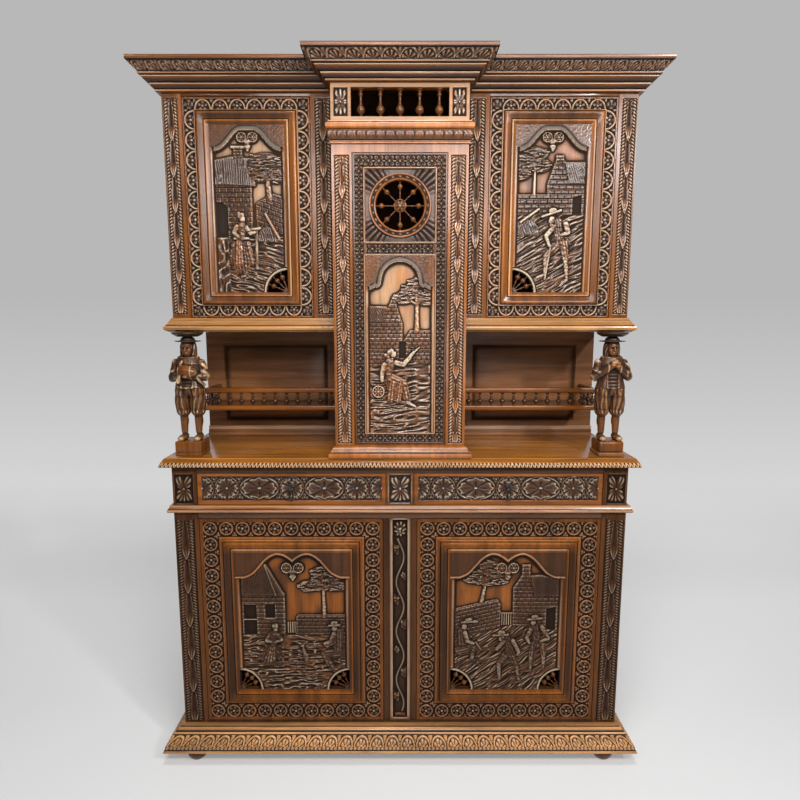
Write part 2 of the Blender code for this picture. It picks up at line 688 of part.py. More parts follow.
def build_column():
    """Sides of the centre column with the inner stiles, and its face frame with base and frieze."""
    for side, sign in SIDES:
        wall = block(
            (sign * (COLUMN_HALF - BOARD), sign * COLUMN_HALF), (FRONT_Y + FRAME + SEAT, NICHE_Y - SEAT),
            (TABLE_TOP + SEAT, CORNICE_Z - SEAT),
        )
        stile = block(
            (sign * (COLUMN_HALF - BOARD / 2), sign * (COLUMN_HALF + INNER_STILE)),
            (UPPER_Y, UPPER_Y + FRAME), (LEDGE_TOP + SEAT, CORNICE_Z - SEAT),
        )
        piece(f"column_side_{side}", union(wall, stile), OAK)
    face = board(
        [
            rectangle((-COLUMN_HALF, COLUMN_HALF), (TABLE_TOP + SEAT, ATTIC_Z - SEAT)),
            rectangle((-COLUMN_DOOR_HALF, COLUMN_DOOR_HALF), (COLUMN_DOOR_Z, COLUMN_DOOR_TOP)),
        ],
        (FRONT_Y, FRONT_Y + FRAME),
    )
    path = around(COLUMN_HALF, FRONT_Y, UPPER_Y - SEAT)
    parts = []
    base = ((0.0, 0.0), (1.0, 0.0), (1.0, 0.42), (0.70, 0.55), (0.45, 0.80), (0.25, 1.0), (0.0, 1.0))
    frieze = ((0.0, 0.0), (0.30, 0.0), (0.85, 0.20), (1.0, 0.50), (0.85, 0.80), (0.30, 1.0), (0.0, 1.0))
    torus = ((0.0, 0.0), (0.50, 0.0), (0.90, 0.22), (1.0, 0.50), (0.90, 0.78), (0.50, 1.0), (0.0, 1.0))
    runs = (
        (base, TABLE_TOP + SEAT, COLUMN_BASE_HEIGHT, COLUMN_BASE_PROJECTION),
        (frieze, FRIEZE_Z, FRIEZE_HEIGHT - SEAT, FRIEZE_PROJECTION),
        (torus, ATTIC_Z - TORUS_HEIGHT, TORUS_HEIGHT - SEAT, TORUS_PROJECTION),
    )
    for shape, low, rise, out in runs:
        profile = [(SEAT + share * (out - SEAT), low + step * rise) for share, step in shape]
        parts.append(moulding(path, profile))
        parts.append(
            block(
                (-COLUMN_HALF + BOARD, COLUMN_HALF - BOARD), (FRONT_Y - out * 0.4, FRONT_Y + FRAME / 3),
                (low + rise * 0.3, low + rise * 0.7),
            )
        )
    face = cut(union(face, *parts), sill_hole(CENTRE_DOOR), lintel_hole(CENTRE_DOOR))
    piece("column_face_frame", face, OAK)


def build_attic():
    """Open frame with turned spindles at the head of the column."""
    opening_z = (ATTIC_Z + ATTIC_RAIL, CORNICE_Z - ATTIC_RAIL)
    half = ATTIC_OPENING / 2
    frame = board(
        [
            rectangle((-COLUMN_HALF, COLUMN_HALF), (ATTIC_Z, CORNICE_Z - SEAT)),
            rectangle((-half, half), opening_z),
        ],
        (FRONT_Y, FRONT_Y + FRAME),
    )
    row = []
    for i in range(ATTIC_SPINDLES):
        x = -half + ATTIC_OPENING * (i + 0.5) / ATTIC_SPINDLES
        y = FRONT_Y + FRAME / 2
        row.append(spindle((x, y, opening_z[0]), (x, y, opening_z[1]), SPINDLE_DIAMETER * 1.3))
    piece("spindle_frieze", union(frame, gathered(row)), OAK)


def build_galleries():
    """Small shelf in each half of the niche, fenced by spindles and a rail."""
    front, rear = FRONT_Y + GALLERY_FRONT, NICHE_Y - SEAT
    shelf_z = TABLE_TOP + GALLERY_RISE
    post_low = shelf_z + GALLERY_BOARD
    post_high = post_low + GALLERY_SPINDLE
    rail_z = (post_high, post_high + GALLERY_RAIL)
    inner = COLUMN_HALF + SEAT
    centre_y = front + GALLERY_RAIL_DEPTH / 2
    centre_end = GALLERY_END - GALLERY_RAIL_DEPTH / 2
    for side, sign in SIDES:
        shelf = block((sign * inner, sign * GALLERY_END), (front, rear), (shelf_z, post_low))
        rail = block((sign * inner, sign * GALLERY_END), (front, front + GALLERY_RAIL_DEPTH), rail_z)
        end_rail = block(
            (sign * (GALLERY_END - GALLERY_RAIL_DEPTH), sign * GALLERY_END),
            (front + GALLERY_RAIL_DEPTH / 3, rear), rail_z,
        )
        fence = []
        count = round((centre_end - inner) / GALLERY_PITCH)
        pitch = (centre_end - inner) / count
        for i in range(count):
            x = sign * (centre_end - pitch * i)
            fence.append(spindle((x, centre_y, post_low), (x, centre_y, post_high)))
        returns = round((rear - centre_y) / GALLERY_PITCH)
        step = (rear - centre_y) / returns
        for i in range(1, returns):
            x, y = sign * centre_end, centre_y + step * i
            fence.append(spindle((x, y, post_low), (x, y, post_high)))
        piece(f"gallery_{side}", union(shelf, union(rail, end_rail), gathered(fence)), OAK)


def limb(start, end, thick, thin, sides=7):
    """Rounded tapering limb between two points."""
    half = (Vector(end) - Vector(start)).length / 2
    shape = [(thin * 0.55, half + thin * 0.8), (thin, half)]
    shape += [(thick, -half), (thick * 0.55, -half - thick * 0.8)]
    return turned(shape, sides, between(start, end))


def ellipsoid(centre, radii, sides=8, rings=6):
    """Closed ellipsoid."""
    bm = bmesh.new()
    bmesh.ops.create_uvsphere(bm, u_segments=sides, v_segments=rings, radius=1.0)
    bm.transform(Matrix.Translation(centre) @ Matrix.Diagonal((*radii, 1.0)))
    return solid(bm)


def build_figures():
    """Standing country men in hat, jacket and breeches, one at each end of the niche."""
    low = TABLE_TOP + SEAT
    ground = low + FIGURE_BLOCK_HEIGHT
    crown = LEDGE_Z - SEAT - FIGURE_CAPITAL_HEIGHT
    tall = crown - ground
    y = FRONT_Y + FIGURE_DEPTH
    half = FIGURE_BLOCK_WIDTH / 2
    radius = FIGURE_CAPITAL_DIAMETER / 2
    for side, sign in SIDES:
        x = sign * FIGURE_X

        def at(across, forward, rise):
            """Point on the figure, in shares of its height."""
            return (x + across * tall, y - forward * tall, ground + rise * tall)

        def rounded(form, hand=1):
            """Ellipsoid of the figure."""
            across, forward, rise, *sizes = form
            return ellipsoid(at(hand * across, forward, rise), [share * tall for share in sizes])

        def jointed(form, hand=1):
            """Limb of the figure."""
            start, end = at(hand * form[0], *form[1:3]), at(hand * form[3], *form[4:6])
            return limb(start, end, form[6] * tall, form[7] * tall)

        plinth = block((x - half, x + half), (y - half, y + half), (low, ground))
        step = crown + FIGURE_CAPITAL_HEIGHT * 0.6
        capital_profile = ((radius, LEDGE_Z - SEAT), (radius, step), (radius * 0.6, crown))
        capital = turned(capital_profile, 16, Matrix.Translation((x, y, 0)))
        hat_profile = [(share * tall, rise * tall) for share, rise in FIGURE_HAT]
        hat = turned(hat_profile, 14, Matrix.Translation((x, y, ground)))
        parts = [capital, hat, rounded(FIGURE_HEAD), jointed(FIGURE_NECK)]
        parts += [rounded(FIGURE_CHEST), rounded(FIGURE_HIPS), rounded(FIGURE_HANDS, sign)]
        for hand in (-1, 1):
            parts += [rounded(FIGURE_THIGH, hand), rounded(FIGURE_SHOE, hand), jointed(FIGURE_SHIN, hand)]
            parts += [jointed(FIGURE_UPPER_ARM, hand), jointed(FIGURE_FOREARM, hand)]
        piece(f"figure_{side}", union(plinth, *parts), DARK_OAK)


def door_moulding(door, border, width):
    """Raised moulding on a door: outer edge border inside the door, width to the panel field."""
    shape = (
        (0.0, 0.0), (0.0, 0.40), (0.14, 0.90), (0.34, 1.0),
        (0.52, 0.72), (0.70, 0.42), (0.86, 0.36), (1.0, 0.10),
    )
    profile = [(share * width, rise * MOULDING_RISE) for share, rise in shape]
    profile += [(width, -MOULDING_SINK), (0.0, -MOULDING_SINK)]
    x = (door.x[0] + border, door.x[1] - border)
    z = (door.z[0] + border, door.z[1] - border)
    return frame_moulding(x, z, profile, door.front)


def pinned(frame, door):
    """Door frame with its two pin holes."""
    low = pin_hole(door.pin_x, door.pin_y, door.z[0], True)
    high = pin_hole(door.pin_x, door.pin_y, door.z[1], False)
    return cut(frame, low, high)


def build_pins(name, door):
    """The two pins that a door turns on."""
    piece(f"{name}_pin_bottom", hinge_pin(door.pin_x, door.pin_y, door.sill, True), IRON)
    piece(f"{name}_pin_top", hinge_pin(door.pin_x, door.pin_y, door.lintel, False), IRON)


def fan_hole(corner, sign):
    """Outline of the quarter ring opened in a panel corner, sign being the way to the panel's middle."""
    start, end = (0, 90) if sign > 0 else (180, 90)
    return arc(corner, FAN_RADIUS, start, end, 8) + arc(corner, FAN_HUB, end, start, 3)


def fan_spindles(corner, sign, y):
    """Turned spindles of a corner fan."""
    row = []
    for i in range(FAN_SPINDLES):
        angle = math.radians(90 * (i + 1) / (FAN_SPINDLES + 1))
        way = Vector((sign * math.cos(angle), 0, math.sin(angle)))
        hub = Vector((corner[0], y, corner[1]))
        row.append(spindle(hub + way * FAN_HUB, hub + way * FAN_RADIUS, PANEL * 0.7))
    return row


def build_panel_door(name, door, border, width, fan_sides):
    """Framed door with a raised moulding and a panel opened by corner fans."""
    joint = joint_empty(f"{name}_hinge", (door.pin_x, door.pin_y, door.z[0]))
    inset = border + width
    field_x = (door.x[0] + inset, door.x[1] - inset)
    field_z = (door.z[0] + inset, door.z[1] - inset)

    def grown(limits, by):
        return (limits[0] - by, limits[1] + by)

    opening = rectangle(grown(field_x, REBATE), grown(field_z, REBATE))
    frame = board([rectangle(door.x, door.z), opening], (door.front, door.front + FRAME))
    frame = union(frame, door_moulding(door, border, width))
    piece(f"{name}_frame", pinned(frame, door), OAK, joint)
    face = door.front + MOULDING_SINK + SEAT
    edge = REBATE - SEAT
    loops = [rectangle(grown(field_x, edge), grown(field_z, edge))]
    spindles = []
    for sign in fan_sides:
        corner = (field_x[0] if sign > 0 else field_x[1], field_z[0])
        loops.append(fan_hole(corner, sign))
        spindles += fan_spindles(corner, sign, face + PANEL / 2)
    panel = board(loops, (face, face + PANEL))
    piece(f"{name}_panel", union(panel, gathered(spindles)), DARK_OAK, joint)
    build_pins(name, door)


def build_centre_door():
    """Column door with a spoked wheel over a tall panel."""
    door = CENTRE_DOOR
    joint = joint_empty("centre_door_hinge", (door.pin_x, door.pin_y, door.z[0]))
    field_x = (door.x[0] + CENTRE_BORDER, door.x[1] - CENTRE_BORDER)
    field = field_x[1] - field_x[0]
    wheel_z = (door.z[1] - CENTRE_HEAD_BORDER - field, door.z[1] - CENTRE_HEAD_BORDER)
    panel_z = (door.z[0] + CENTRE_BORDER, wheel_z[0] - CENTRE_BAND)
    frame = board(
        [rectangle(door.x, door.z), rectangle(field_x, wheel_z), rectangle(field_x, panel_z)],
        (door.front, door.front + FRAME),
    )
    piece("centre_door_frame", pinned(frame, door), OAK, joint)
    inner_x = (field_x[0] + SEAT, field_x[1] - SEAT)
    panel_y = door.front + MOULDING_SINK
    panel = block(inner_x, (panel_y, panel_y + PANEL), (panel_z[0] + SEAT, panel_z[1] - SEAT))
    piece("centre_door_panel", panel, DARK_OAK, joint)
    centre = ((field_x[0] + field_x[1]) / 2, (wheel_z[0] + wheel_z[1]) / 2)
    opening = WHEEL_OPENING_SHARE * field / 2
    ring = WHEEL_RING_SHARE * field / 2
    rim = WHEEL_BOARD / 2
    rear = panel_y + WHEEL_BOARD
    turn = 360 / WHEEL_FACETS
    sweep = (turn / 2, 360 - turn / 2, WHEEL_FACETS - 1)
    square = [(x / max(abs(x), abs(z)), z / max(abs(x), abs(z))) for x, z in arc((0, 0), 1, *sweep)]
    for i in range(WHEEL_FACETS // 8 - 1, WHEEL_FACETS, WHEEL_FACETS // 4):
        square[i] = (math.copysign(1, square[i][0]), math.copysign(1, square[i][1]))
    edge = field / 2 - SEAT
    levels = [
        [(centre[0] + edge * x, depth, centre[1] + edge * z) for x, z in square] for depth in (rear, panel_y)
    ]
    for out, depth in (
        (ring, panel_y), (ring, panel_y - rim * 0.4), (ring * 0.93, panel_y - rim),
        (opening, panel_y - rim), (opening, rear),
    ):
        levels.append([(x, depth, z) for x, z in arc(centre, out, *sweep)])
    wheel = loft(levels, closed=True)
    facing = Matrix.Translation((centre[0], panel_y, centre[1])) @ Matrix.Rotation(math.pi / 2, 4, "X")
    facing = facing @ Matrix.Rotation(math.radians(turn / 2), 4, "Z")
    radius = WHEEL_HUB_SHARE * field / 2
    hub = turned([(radius * 0.5, rim), (radius, 0.0), (radius, -WHEEL_BOARD)], WHEEL_FACETS, facing)
    spokes = []
    for i in range(WHEEL_SPOKES):
        angle = 2 * math.pi * i / WHEEL_SPOKES
        way = Vector((math.cos(angle), 0, math.sin(angle)))
        hub_point = Vector((centre[0], panel_y + rim, centre[1]))
        start, end = hub_point + way * radius * 0.8, hub_point + way * opening
        spokes.append(spindle(start, end, WHEEL_BOARD * 0.8))
    piece("centre_door_wheel", union(wheel, union(hub, gathered(spokes))), OAK, joint)
    build_pins("centre_door", door)


def build_drawer(side, sign):
    """Drawer with its box, a pull plate with an eye, and the drop that hangs in the eye."""
    x = (sign * (CENTRE_BLOCK / 2 + DOOR_GAP), sign * (HALF_WIDTH - POST_WIDTH - DOOR_GAP))
    z = (DECK_TOP + DOOR_GAP, DRAWER_TOP - DOOR_GAP)
    joint = joint_empty(f"drawer_{side}_slide", ((x[0] + x[1]) / 2, FRONT_Y, z[0]))
    front = block(x, (FRONT_Y, FRONT_Y + DRAWER_FRONT), z)
    inner, outer = sorted(x)
    box_x = (inner + DOOR_GAP, outer - DOOR_GAP)
    box_y = (FRONT_Y + DRAWER_FRONT / 2, FRONT_Y + DRAWER_DEPTH)
    box_z = (DECK_TOP + SEAT, z[1] - DRAWER_SIDE_DROP)
    hollow_x = (box_x[0] + DRAWER_WALL, box_x[1] - DRAWER_WALL)
    hollow_y = (FRONT_Y + DRAWER_FRONT, box_y[1] - DRAWER_WALL)
    hollow = block(hollow_x, hollow_y, (box_z[0] + DRAWER_BOTTOM, z[1] + DOOR_GAP))
    body = cut(union(front, block(box_x, box_y, box_z)), hollow)
    piece(f"drawer_{side}", body, OAK, joint)

    pivot = Vector((sum(x) / 2, FRONT_Y - PULL_STANDOFF, (z[0] + z[1]) / 2 + PULL_RISE))
    flat = Matrix.Translation((pivot.x, FRONT_Y - SEAT - PULL_PLATE / 2, pivot.z))
    plate_radius, plate_half = PULL_PLATE_DIAMETER / 2, PULL_PLATE / 2
    facing = flat @ Matrix.Rotation(math.pi / 2, 4, "X")
    plate = turned([(plate_radius * 0.8, plate_half), (plate_radius, -plate_half)], 16, facing)
    eye_half, eye_rise = PULL_EYE_WIDTH / 2, PULL_EYE_HEIGHT / 2
    eye = block(
        (pivot.x - eye_half, pivot.x + eye_half),
        (pivot.y - eye_rise * 0.8, FRONT_Y - SEAT - plate_half), (pivot.z - eye_rise, pivot.z + eye_rise),
    )
    across = Matrix.Translation(pivot) @ Matrix.Rotation(math.pi / 2, 4, "Y")
    pin_radius = PULL_PIN_DIAMETER / 2
    bore = turned([(pin_radius + SEAT, eye_half * 2), (pin_radius + SEAT, -eye_half * 2)], 12, across)
    piece(f"drawer_{side}_pull_plate", cut(union(plate, eye), bore), IRON, joint)

    swing = joint_empty(f"drawer_{side}_pull_swing", pivot, joint)
    reach = PULL_FORK_WIDTH / 2
    pin = turned([(pin_radius, reach * 0.9), (pin_radius, -reach * 0.9)], 12, across)
    cheek_in = eye_half + PULL_CLEARANCE
    cheek_half = pin_radius * 1.6
    cheeks = []
    for way in (-1, 1):
        cheeks.append(
            block(
                (pivot.x + way * cheek_in, pivot.x + way * reach),
                (pivot.y - cheek_half, pivot.y + cheek_half),
                (pivot.z - PULL_NECK - cheek_half, pivot.z + cheek_half),
            )
        )
    radius = PULL_DROP_DIAMETER / 2
    fall = PULL_LENGTH - PULL_NECK
    shape = (
        (0.55, 0.0), (0.45, 0.10), (0.28, 0.18), (0.35, 0.40),
        (0.75, 0.62), (1.0, 0.78), (0.72, 0.92), (0.22, 1.0),
    )
    drop_profile = [(share * radius, -PULL_NECK - down * fall) for share, down in shape]
    drop = turned(drop_profile, 12, Matrix.Translation(pivot))
    bridge = block(
        (pivot.x - reach, pivot.x + reach), (pivot.y - cheek_half, pivot.y + cheek_half),
        (pivot.z - PULL_NECK - 2 * cheek_half, pivot.z - PULL_NECK + cheek_half / 2),
    )
    piece(f"drawer_{side}_pull_drop", union(bridge, *cheeks, pin, drop), IRON, swing)


build_feet()
build_plinth()
build_lower_case()
build_drawer_frame()
build_table()
build_upper_back()
build_upper_case()
build_cornice()
build_column()
build_attic()
build_galleries()
build_figures()
for side, sign in SIDES:
    build_panel_door(f"lower_door_{side}", LOWER_DOORS[side], LOWER_BORDER, LOWER_MOULDING, (-1, 1))
    build_panel_door(f"upper_door_{side}", UPPER_DOORS[side], UPPER_BORDER, UPPER_MOULDING, (sign,))
    build_drawer(side, sign)
build_centre_door()
bpy.data.collections.remove(WORKSHOP)
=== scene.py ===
"""Looks of a carved oak buffet in two stages, set on its packed frame.

Laid out as an add-on and run as a script. Metres, X to the right, Y to the back, Z up.
"""

import json
import math

import bpy
import numpy as np
from bpy.props import FloatProperty, FloatVectorProperty, IntProperty, PointerProperty
from mathutils import Matrix, Vector
from mathutils.geometry import delaunay_2d_cdt


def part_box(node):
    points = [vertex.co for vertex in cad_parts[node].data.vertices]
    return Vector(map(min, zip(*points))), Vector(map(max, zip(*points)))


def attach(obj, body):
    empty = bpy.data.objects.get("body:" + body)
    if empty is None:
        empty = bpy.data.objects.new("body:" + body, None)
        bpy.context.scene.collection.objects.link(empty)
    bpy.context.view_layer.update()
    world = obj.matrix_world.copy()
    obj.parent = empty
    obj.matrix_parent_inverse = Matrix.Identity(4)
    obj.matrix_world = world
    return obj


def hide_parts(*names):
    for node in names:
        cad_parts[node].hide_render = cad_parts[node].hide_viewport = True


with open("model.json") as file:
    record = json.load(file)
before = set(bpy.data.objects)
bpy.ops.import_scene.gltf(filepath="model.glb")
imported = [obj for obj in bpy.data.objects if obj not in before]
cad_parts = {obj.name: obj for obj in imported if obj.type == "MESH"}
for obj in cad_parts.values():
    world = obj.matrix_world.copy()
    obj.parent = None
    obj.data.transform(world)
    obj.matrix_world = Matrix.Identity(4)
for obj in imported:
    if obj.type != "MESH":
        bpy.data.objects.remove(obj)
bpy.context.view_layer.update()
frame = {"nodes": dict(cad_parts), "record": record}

bl_info = {
    "name": "Carved Oak Buffet",
    "version": (1, 0, 0),
    "blender": (4, 5, 0),
    "location": "View3D > Sidebar > Buffet",
    "description": "Carved pieces and finishes of a two-stage oak buffet on its frame",
    "category": "Add Mesh",
}

# What the frame says
BODY_OF = {node: body for body, nodes in frame["record"]["behaviour"]["bodies"].items() for node in nodes}
SIDES = (("left", -1), ("right", 1))

# Planes and levels of the case, read from the frame
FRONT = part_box("lower_corner_post_left")[0].y
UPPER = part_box("upper_outer_stile_left")[0].y
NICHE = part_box("upper_side_left")[1].y
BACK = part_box("lower_back")[1].y
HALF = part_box("upper_outer_stile_right")[1].x
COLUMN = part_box("spindle_frieze")[1].x
TABLE_LOW, TABLE_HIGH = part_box("table_top")[0].z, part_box("table_top")[1].z
LEDGE_LOW, LEDGE_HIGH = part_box("upper_ledge_left")[0].z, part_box("upper_ledge_left")[1].z
CORNICE_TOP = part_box("cornice")[1].z
SEAT = 0.0003
FRAME_DEPTH = 0.024
WELD = 2e-6

# Levels of the waist
RAIL_LOW = 0.811
WAIST_MOULDING = (0.831, 0.8547)
DECK = (0.833, 0.855)
BLOCK = (0.8552, 0.9556)
TOP_RAIL = 0.956


class BuffetFinish(bpy.types.PropertyGroup):
    """Colours and polish of the buffet."""

    dark: FloatVectorProperty(
        name="Carved oak", description="Dark brown of the carved oak", subtype="COLOR",
        size=3, min=0.0, max=1.0, default=(0.047, 0.0205, 0.0098))
    honey: FloatVectorProperty(
        name="Polished oak", description="Honey brown of the plain polished mouldings", subtype="COLOR",
        size=3, min=0.0, max=1.0, default=(0.302, 0.092, 0.012))
    # Recesses: painted shade in the bottom of the carving, over some old wax and dust
    shade_and_wax: FloatVectorProperty(
        name="Recesses", description="Old wax and dust in the bottom of the carving", subtype="COLOR",
        size=3, min=0.0, max=1.0, default=(0.0110, 0.0045, 0.0018))
    # Painted highlight on raised carving, with a little real wear of the edges
    wear_and_highlight: FloatVectorProperty(
        name="Worn edges", description="Pale sheen of rubbed carving", subtype="COLOR",
        size=3, min=0.0, max=1.0, default=(0.600, 0.490, 0.350))
    # Painted sheen: a silvery reflection put into the colour of polished faces, skies and fillets
    pale_sheen: FloatVectorProperty(
        name="Pale oak", description="Silvery brown of faces polished bare", subtype="COLOR",
        size=3, min=0.0, max=1.0, default=(0.610, 0.430, 0.270))
    niche: FloatVectorProperty(
        name="Niche oak", description="Brown of the back of the niche", subtype="COLOR",
        size=3, min=0.0, max=1.0, default=(0.330, 0.135, 0.050))
    waxed: FloatVectorProperty(
        name="Waxed oak", description="Golden brown of the plinth and the ledges", subtype="COLOR",
        size=3, min=0.0, max=1.0, default=(0.670, 0.320, 0.110))
    table: FloatVectorProperty(
        name="Table top", description="Orange brown of the table top", subtype="COLOR",
        size=3, min=0.0, max=1.0, default=(0.42, 0.150, 0.020))
    inner: FloatVectorProperty(
        name="Inner oak", description="Raw oak inside the cupboards and behind", subtype="COLOR",
        size=3, min=0.0, max=1.0, default=(0.20, 0.11, 0.052))
    iron: FloatVectorProperty(
        name="Iron", description="Dark metal of the pulls and pins", subtype="COLOR",
        size=3, min=0.0, max=1.0, default=(0.085, 0.072, 0.058))
    polish: FloatProperty(
        name="Polish", description="Roughness of the waxed surface", subtype="FACTOR",
        min=0.05, max=1.0, default=0.20)


class BuffetCarving(bpy.types.PropertyGroup):
    """Sizes of the carved ornament."""

    step: FloatProperty(
        name="Carving grid", description="Spacing of the carved surface's points", unit="LENGTH",
        min=0.001, max=0.01, default=0.00187)
    depth: FloatProperty(
        name="Depth", description="Depth of the border carving", unit="LENGTH",
        min=0.0, max=0.008, default=0.0038)
    leaf: FloatProperty(
        name="Leaf unit", description="Length of one leaf on posts and stiles", unit="LENGTH",
        min=0.03, max=0.3, default=0.107)
    lunette: FloatProperty(
        name="Plinth lunette", description="Length of one lunette on the plinth", unit="LENGTH",
        min=0.02, max=0.2, default=0.047)
    cornice_leaf: FloatProperty(
        name="Cornice leaf", description="Length of one leaf on the cornice", unit="LENGTH",
        min=0.02, max=0.2, default=0.040)
    roundels_across: IntProperty(
        name="Roundels across", description="Roundels along the top of a lower door", min=3, default=11)
    roundels_down: IntProperty(
        name="Roundels down", description="Roundels down the side of a lower door", min=3, default=13)
    lunettes_across: IntProperty(
        name="Lunettes across", description="Lunettes along the top of an upper door", min=2, default=6)
    lunettes_down: IntProperty(
        name="Lunettes down", description="Lunettes down the side of an upper door", min=2, default=10)


def finish():
    """The scene's colours."""
    return bpy.context.scene.buffet_finish


def carving():
    """The scene's carving sizes."""
    return bpy.context.scene.buffet_carving


def grid_step(share=1.0):
    """Spacing of carved points, coarser while trying things."""
    return carving().step * share * 1.0


# Working on a piece


def put_down():
    """Leaves edit mode and selects nothing."""
    if bpy.context.object and bpy.context.object.mode != "OBJECT":
        bpy.ops.object.mode_set(mode="OBJECT")
    bpy.ops.object.select_all(action="DESELECT")


def take_up(piece):
    """Makes one piece the only selected and active one."""
    put_down()
    piece.select_set(True)
    bpy.context.view_layer.objects.active = piece


class Bench:
    """Edit mode on one piece, with the points of a mask selected."""

    def __init__(self, piece, points=None, faces=None):
        self.piece, self.points, self.faces = piece, points, faces

    def __enter__(self):
        mesh = self.piece.data
        take_up(self.piece)
        for group, mask in (("vertices", self.points), ("edges", None), ("polygons", self.faces)):
            rows = getattr(mesh, group)
            rows.foreach_set("select", np.zeros(len(rows), bool) if mask is None else mask)
        by_face = self.faces is not None
        bpy.context.tool_settings.mesh_select_mode = (not by_face, False, by_face)
        bpy.ops.object.mode_set(mode="EDIT")
        return self.piece

    def __exit__(self, *_):
        bpy.ops.object.mode_set(mode="OBJECT")


def places(piece):
    """Coordinates of a piece's points."""
    flat = np.empty(len(piece.data.vertices) * 3, np.float32)
    piece.data.vertices.foreach_get("co", flat)
    return flat.reshape(-1, 3)


def set_places(piece, points):
    """Moves a piece's points."""
    piece.data.vertices.foreach_set("co", np.ascontiguousarray(points, np.float32).ravel())
    piece.data.update()


def mark(piece, label, values):
    """Writes one number per point for the finish to read."""
    layer = piece.data.attributes.get(label) or piece.data.attributes.new(label, "FLOAT", "POINT")
    count = len(piece.data.vertices)
    layer.data.foreach_set("value", np.broadcast_to(values, count).astype(np.float32).copy())


def marked(piece, label):
    """Reads those numbers back."""
    values = np.empty(len(piece.data.vertices), np.float32)
    piece.data.attributes[label].data.foreach_get("value", values)
    return values


def laid_grid(name, points, tone=0.0, carve=0.0):
    """Grid primitive whose crossings are laid on rows of points."""
    rows, columns = points.shape[:2]
    put_down()
    bpy.ops.mesh.primitive_grid_add(
        x_subdivisions=columns - 1, y_subdivisions=rows - 1, size=1.0, calc_uvs=False)
    piece = bpy.context.object
    piece.name = piece.data.name = name
    flat = places(piece)
    column = np.rint((flat[:, 0] + 0.5) * (columns - 1)).astype(int)
    row = np.rint((flat[:, 1] + 0.5) * (rows - 1)).astype(int)
    set_places(piece, points[row, column])
    mark(piece, "tone", np.broadcast_to(tone, (rows, columns))[row, column])
    mark(piece, "carve", np.broadcast_to(carve, (rows, columns))[row, column])
    return piece


def weld(piece, outwards=False):
    """Merges points that lie on each other and, on a closed piece, turns its faces outwards."""
    with Bench(piece):
        bpy.ops.mesh.select_all(action="SELECT")
        bpy.ops.mesh.remove_doubles(threshold=WELD)
        if outwards:
            bpy.ops.mesh.normals_make_consistent(inside=False)
    return piece


def face_out(piece):
    """Welds a closed piece and turns its faces outwards."""
    return weld(piece, True)


def capped(piece, *masks):
    """Closes each loop of chosen points with one face."""
    for mask in masks:
        with Bench(piece, points=mask(places(piece))):
            bpy.ops.mesh.edge_face_add()
    return face_out(piece)


def joined(name, pieces):
    """Several shells as one piece."""
    put_down()
    for piece in pieces:
        piece.select_set(True)
    bpy.context.view_layer.objects.active = pieces[0]
    if len(pieces) > 1:
        bpy.ops.object.join()
    pieces[0].name = pieces[0].data.name = name
    return pieces[0]


def copied(piece, place, name=None):
    """Copy with its own mesh, moved by a matrix; a mirrored copy is turned right side out."""
    copy = piece.copy()
    copy.data = piece.data.copy()
    bpy.context.scene.collection.objects.link(copy)
    copy.data.transform(place)
    if place.determinant() < 0:
        copy.data.flip_normals()
    copy.name = copy.data.name = name or piece.name
    return copy


MIRROR = Matrix.Diagonal((-1, 1, 1, 1))


def hand_over(piece, nodes, material, angle=50.0):
    """Sets a finished piece on its body in place of its nodes."""
    nodes = [nodes] if isinstance(nodes, str) else list(nodes)
    take_up(piece)
    bpy.ops.object.shade_smooth_by_angle(angle=math.radians(angle))
    piece.name = piece.data.name = nodes[0] + "_piece"
    piece.data.materials.clear()
    piece.data.materials.append(material)
    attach(piece, BODY_OF[nodes[0]])
    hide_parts(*nodes)
    return piece


def both_sides(left, node, material, angle=50.0):
    """Hands over a left piece and its mirrored copy for the right."""
    right = copied(left, MIRROR)
    hand_over(left, node + "_left", material, angle)
    hand_over(right, node + "_right", material, angle)


# Plain joinery


def planed(name, low, high, tone=0.0, bevel=0.0012):
    """Board between two corners, its edges eased."""
    put_down()
    bpy.ops.mesh.primitive_cube_add(size=1.0, calc_uvs=False)
    piece = bpy.context.object
    piece.name = piece.data.name = name
    low, high = np.minimum(low, high), np.maximum(low, high)
    set_places(piece, low + (places(piece) + 0.5) * (high - low))
    if bevel:
        ease = piece.modifiers.new("Ease", "BEVEL")
        ease.width, ease.segments = bevel, 2
        bpy.ops.object.modifier_apply(modifier=ease.name)
    mark(piece, "tone", tone)
    mark(piece, "carve", 0.0)
    return piece


def fielded(name, low, high, normal, margin, tone=0.25):
    """Board with a sunk frame and a raised field on the side that a normal points to."""
    piece = planed(name, low, high, tone, bevel=0.0)
    mesh = piece.data
    facing = np.array([Vector(normal).dot(face.normal) > 0.9 for face in mesh.polygons])
    with Bench(piece, faces=facing):
        for thickness, depth in ((margin, 0.0), (0.006, -0.005), (0.002, 0.0), (0.024, 0.004), (0.002, 0.0)):
            bpy.ops.mesh.inset(thickness=thickness, depth=depth)
    mark(piece, "tone", tone)
    mark(piece, "carve", 0.0)
    return piece


def planks(name, low, high, count, tone=0.0, across=0):
    """Boards side by side between two corners, laid one after the other along one axis."""
    width = (high[across] - low[across]) / count
    boards = []
    for i in range(count):
        start, end = list(low), list(high)
        start[across] = low[across] + width * i + 0.0004
        end[across] = low[across] + width * (i + 1) - 0.0004
        boards.append(planed(name, start, end, tone))
    return joined(name, boards)


def flowing(points, count):
    """Smooth curve through a list of points, evenly numbered."""
    points = np.array(points, float)
    ends = np.vstack((2 * points[0] - points[1], points, 2 * points[-1] - points[-2]))
    along = np.linspace(0, len(points) - 1 - 1e-9, count)
    k = along.astype(int)
    t = (along - k)[:, None]
    a, b, c, d = (ends[k + i] for i in range(4))
    return 0.5 * (2 * b + (c - a) * t + (2 * a - 5 * b + 4 * c - d) * t ** 2 + (3 * b - a - 3 * c + d) * t ** 3)


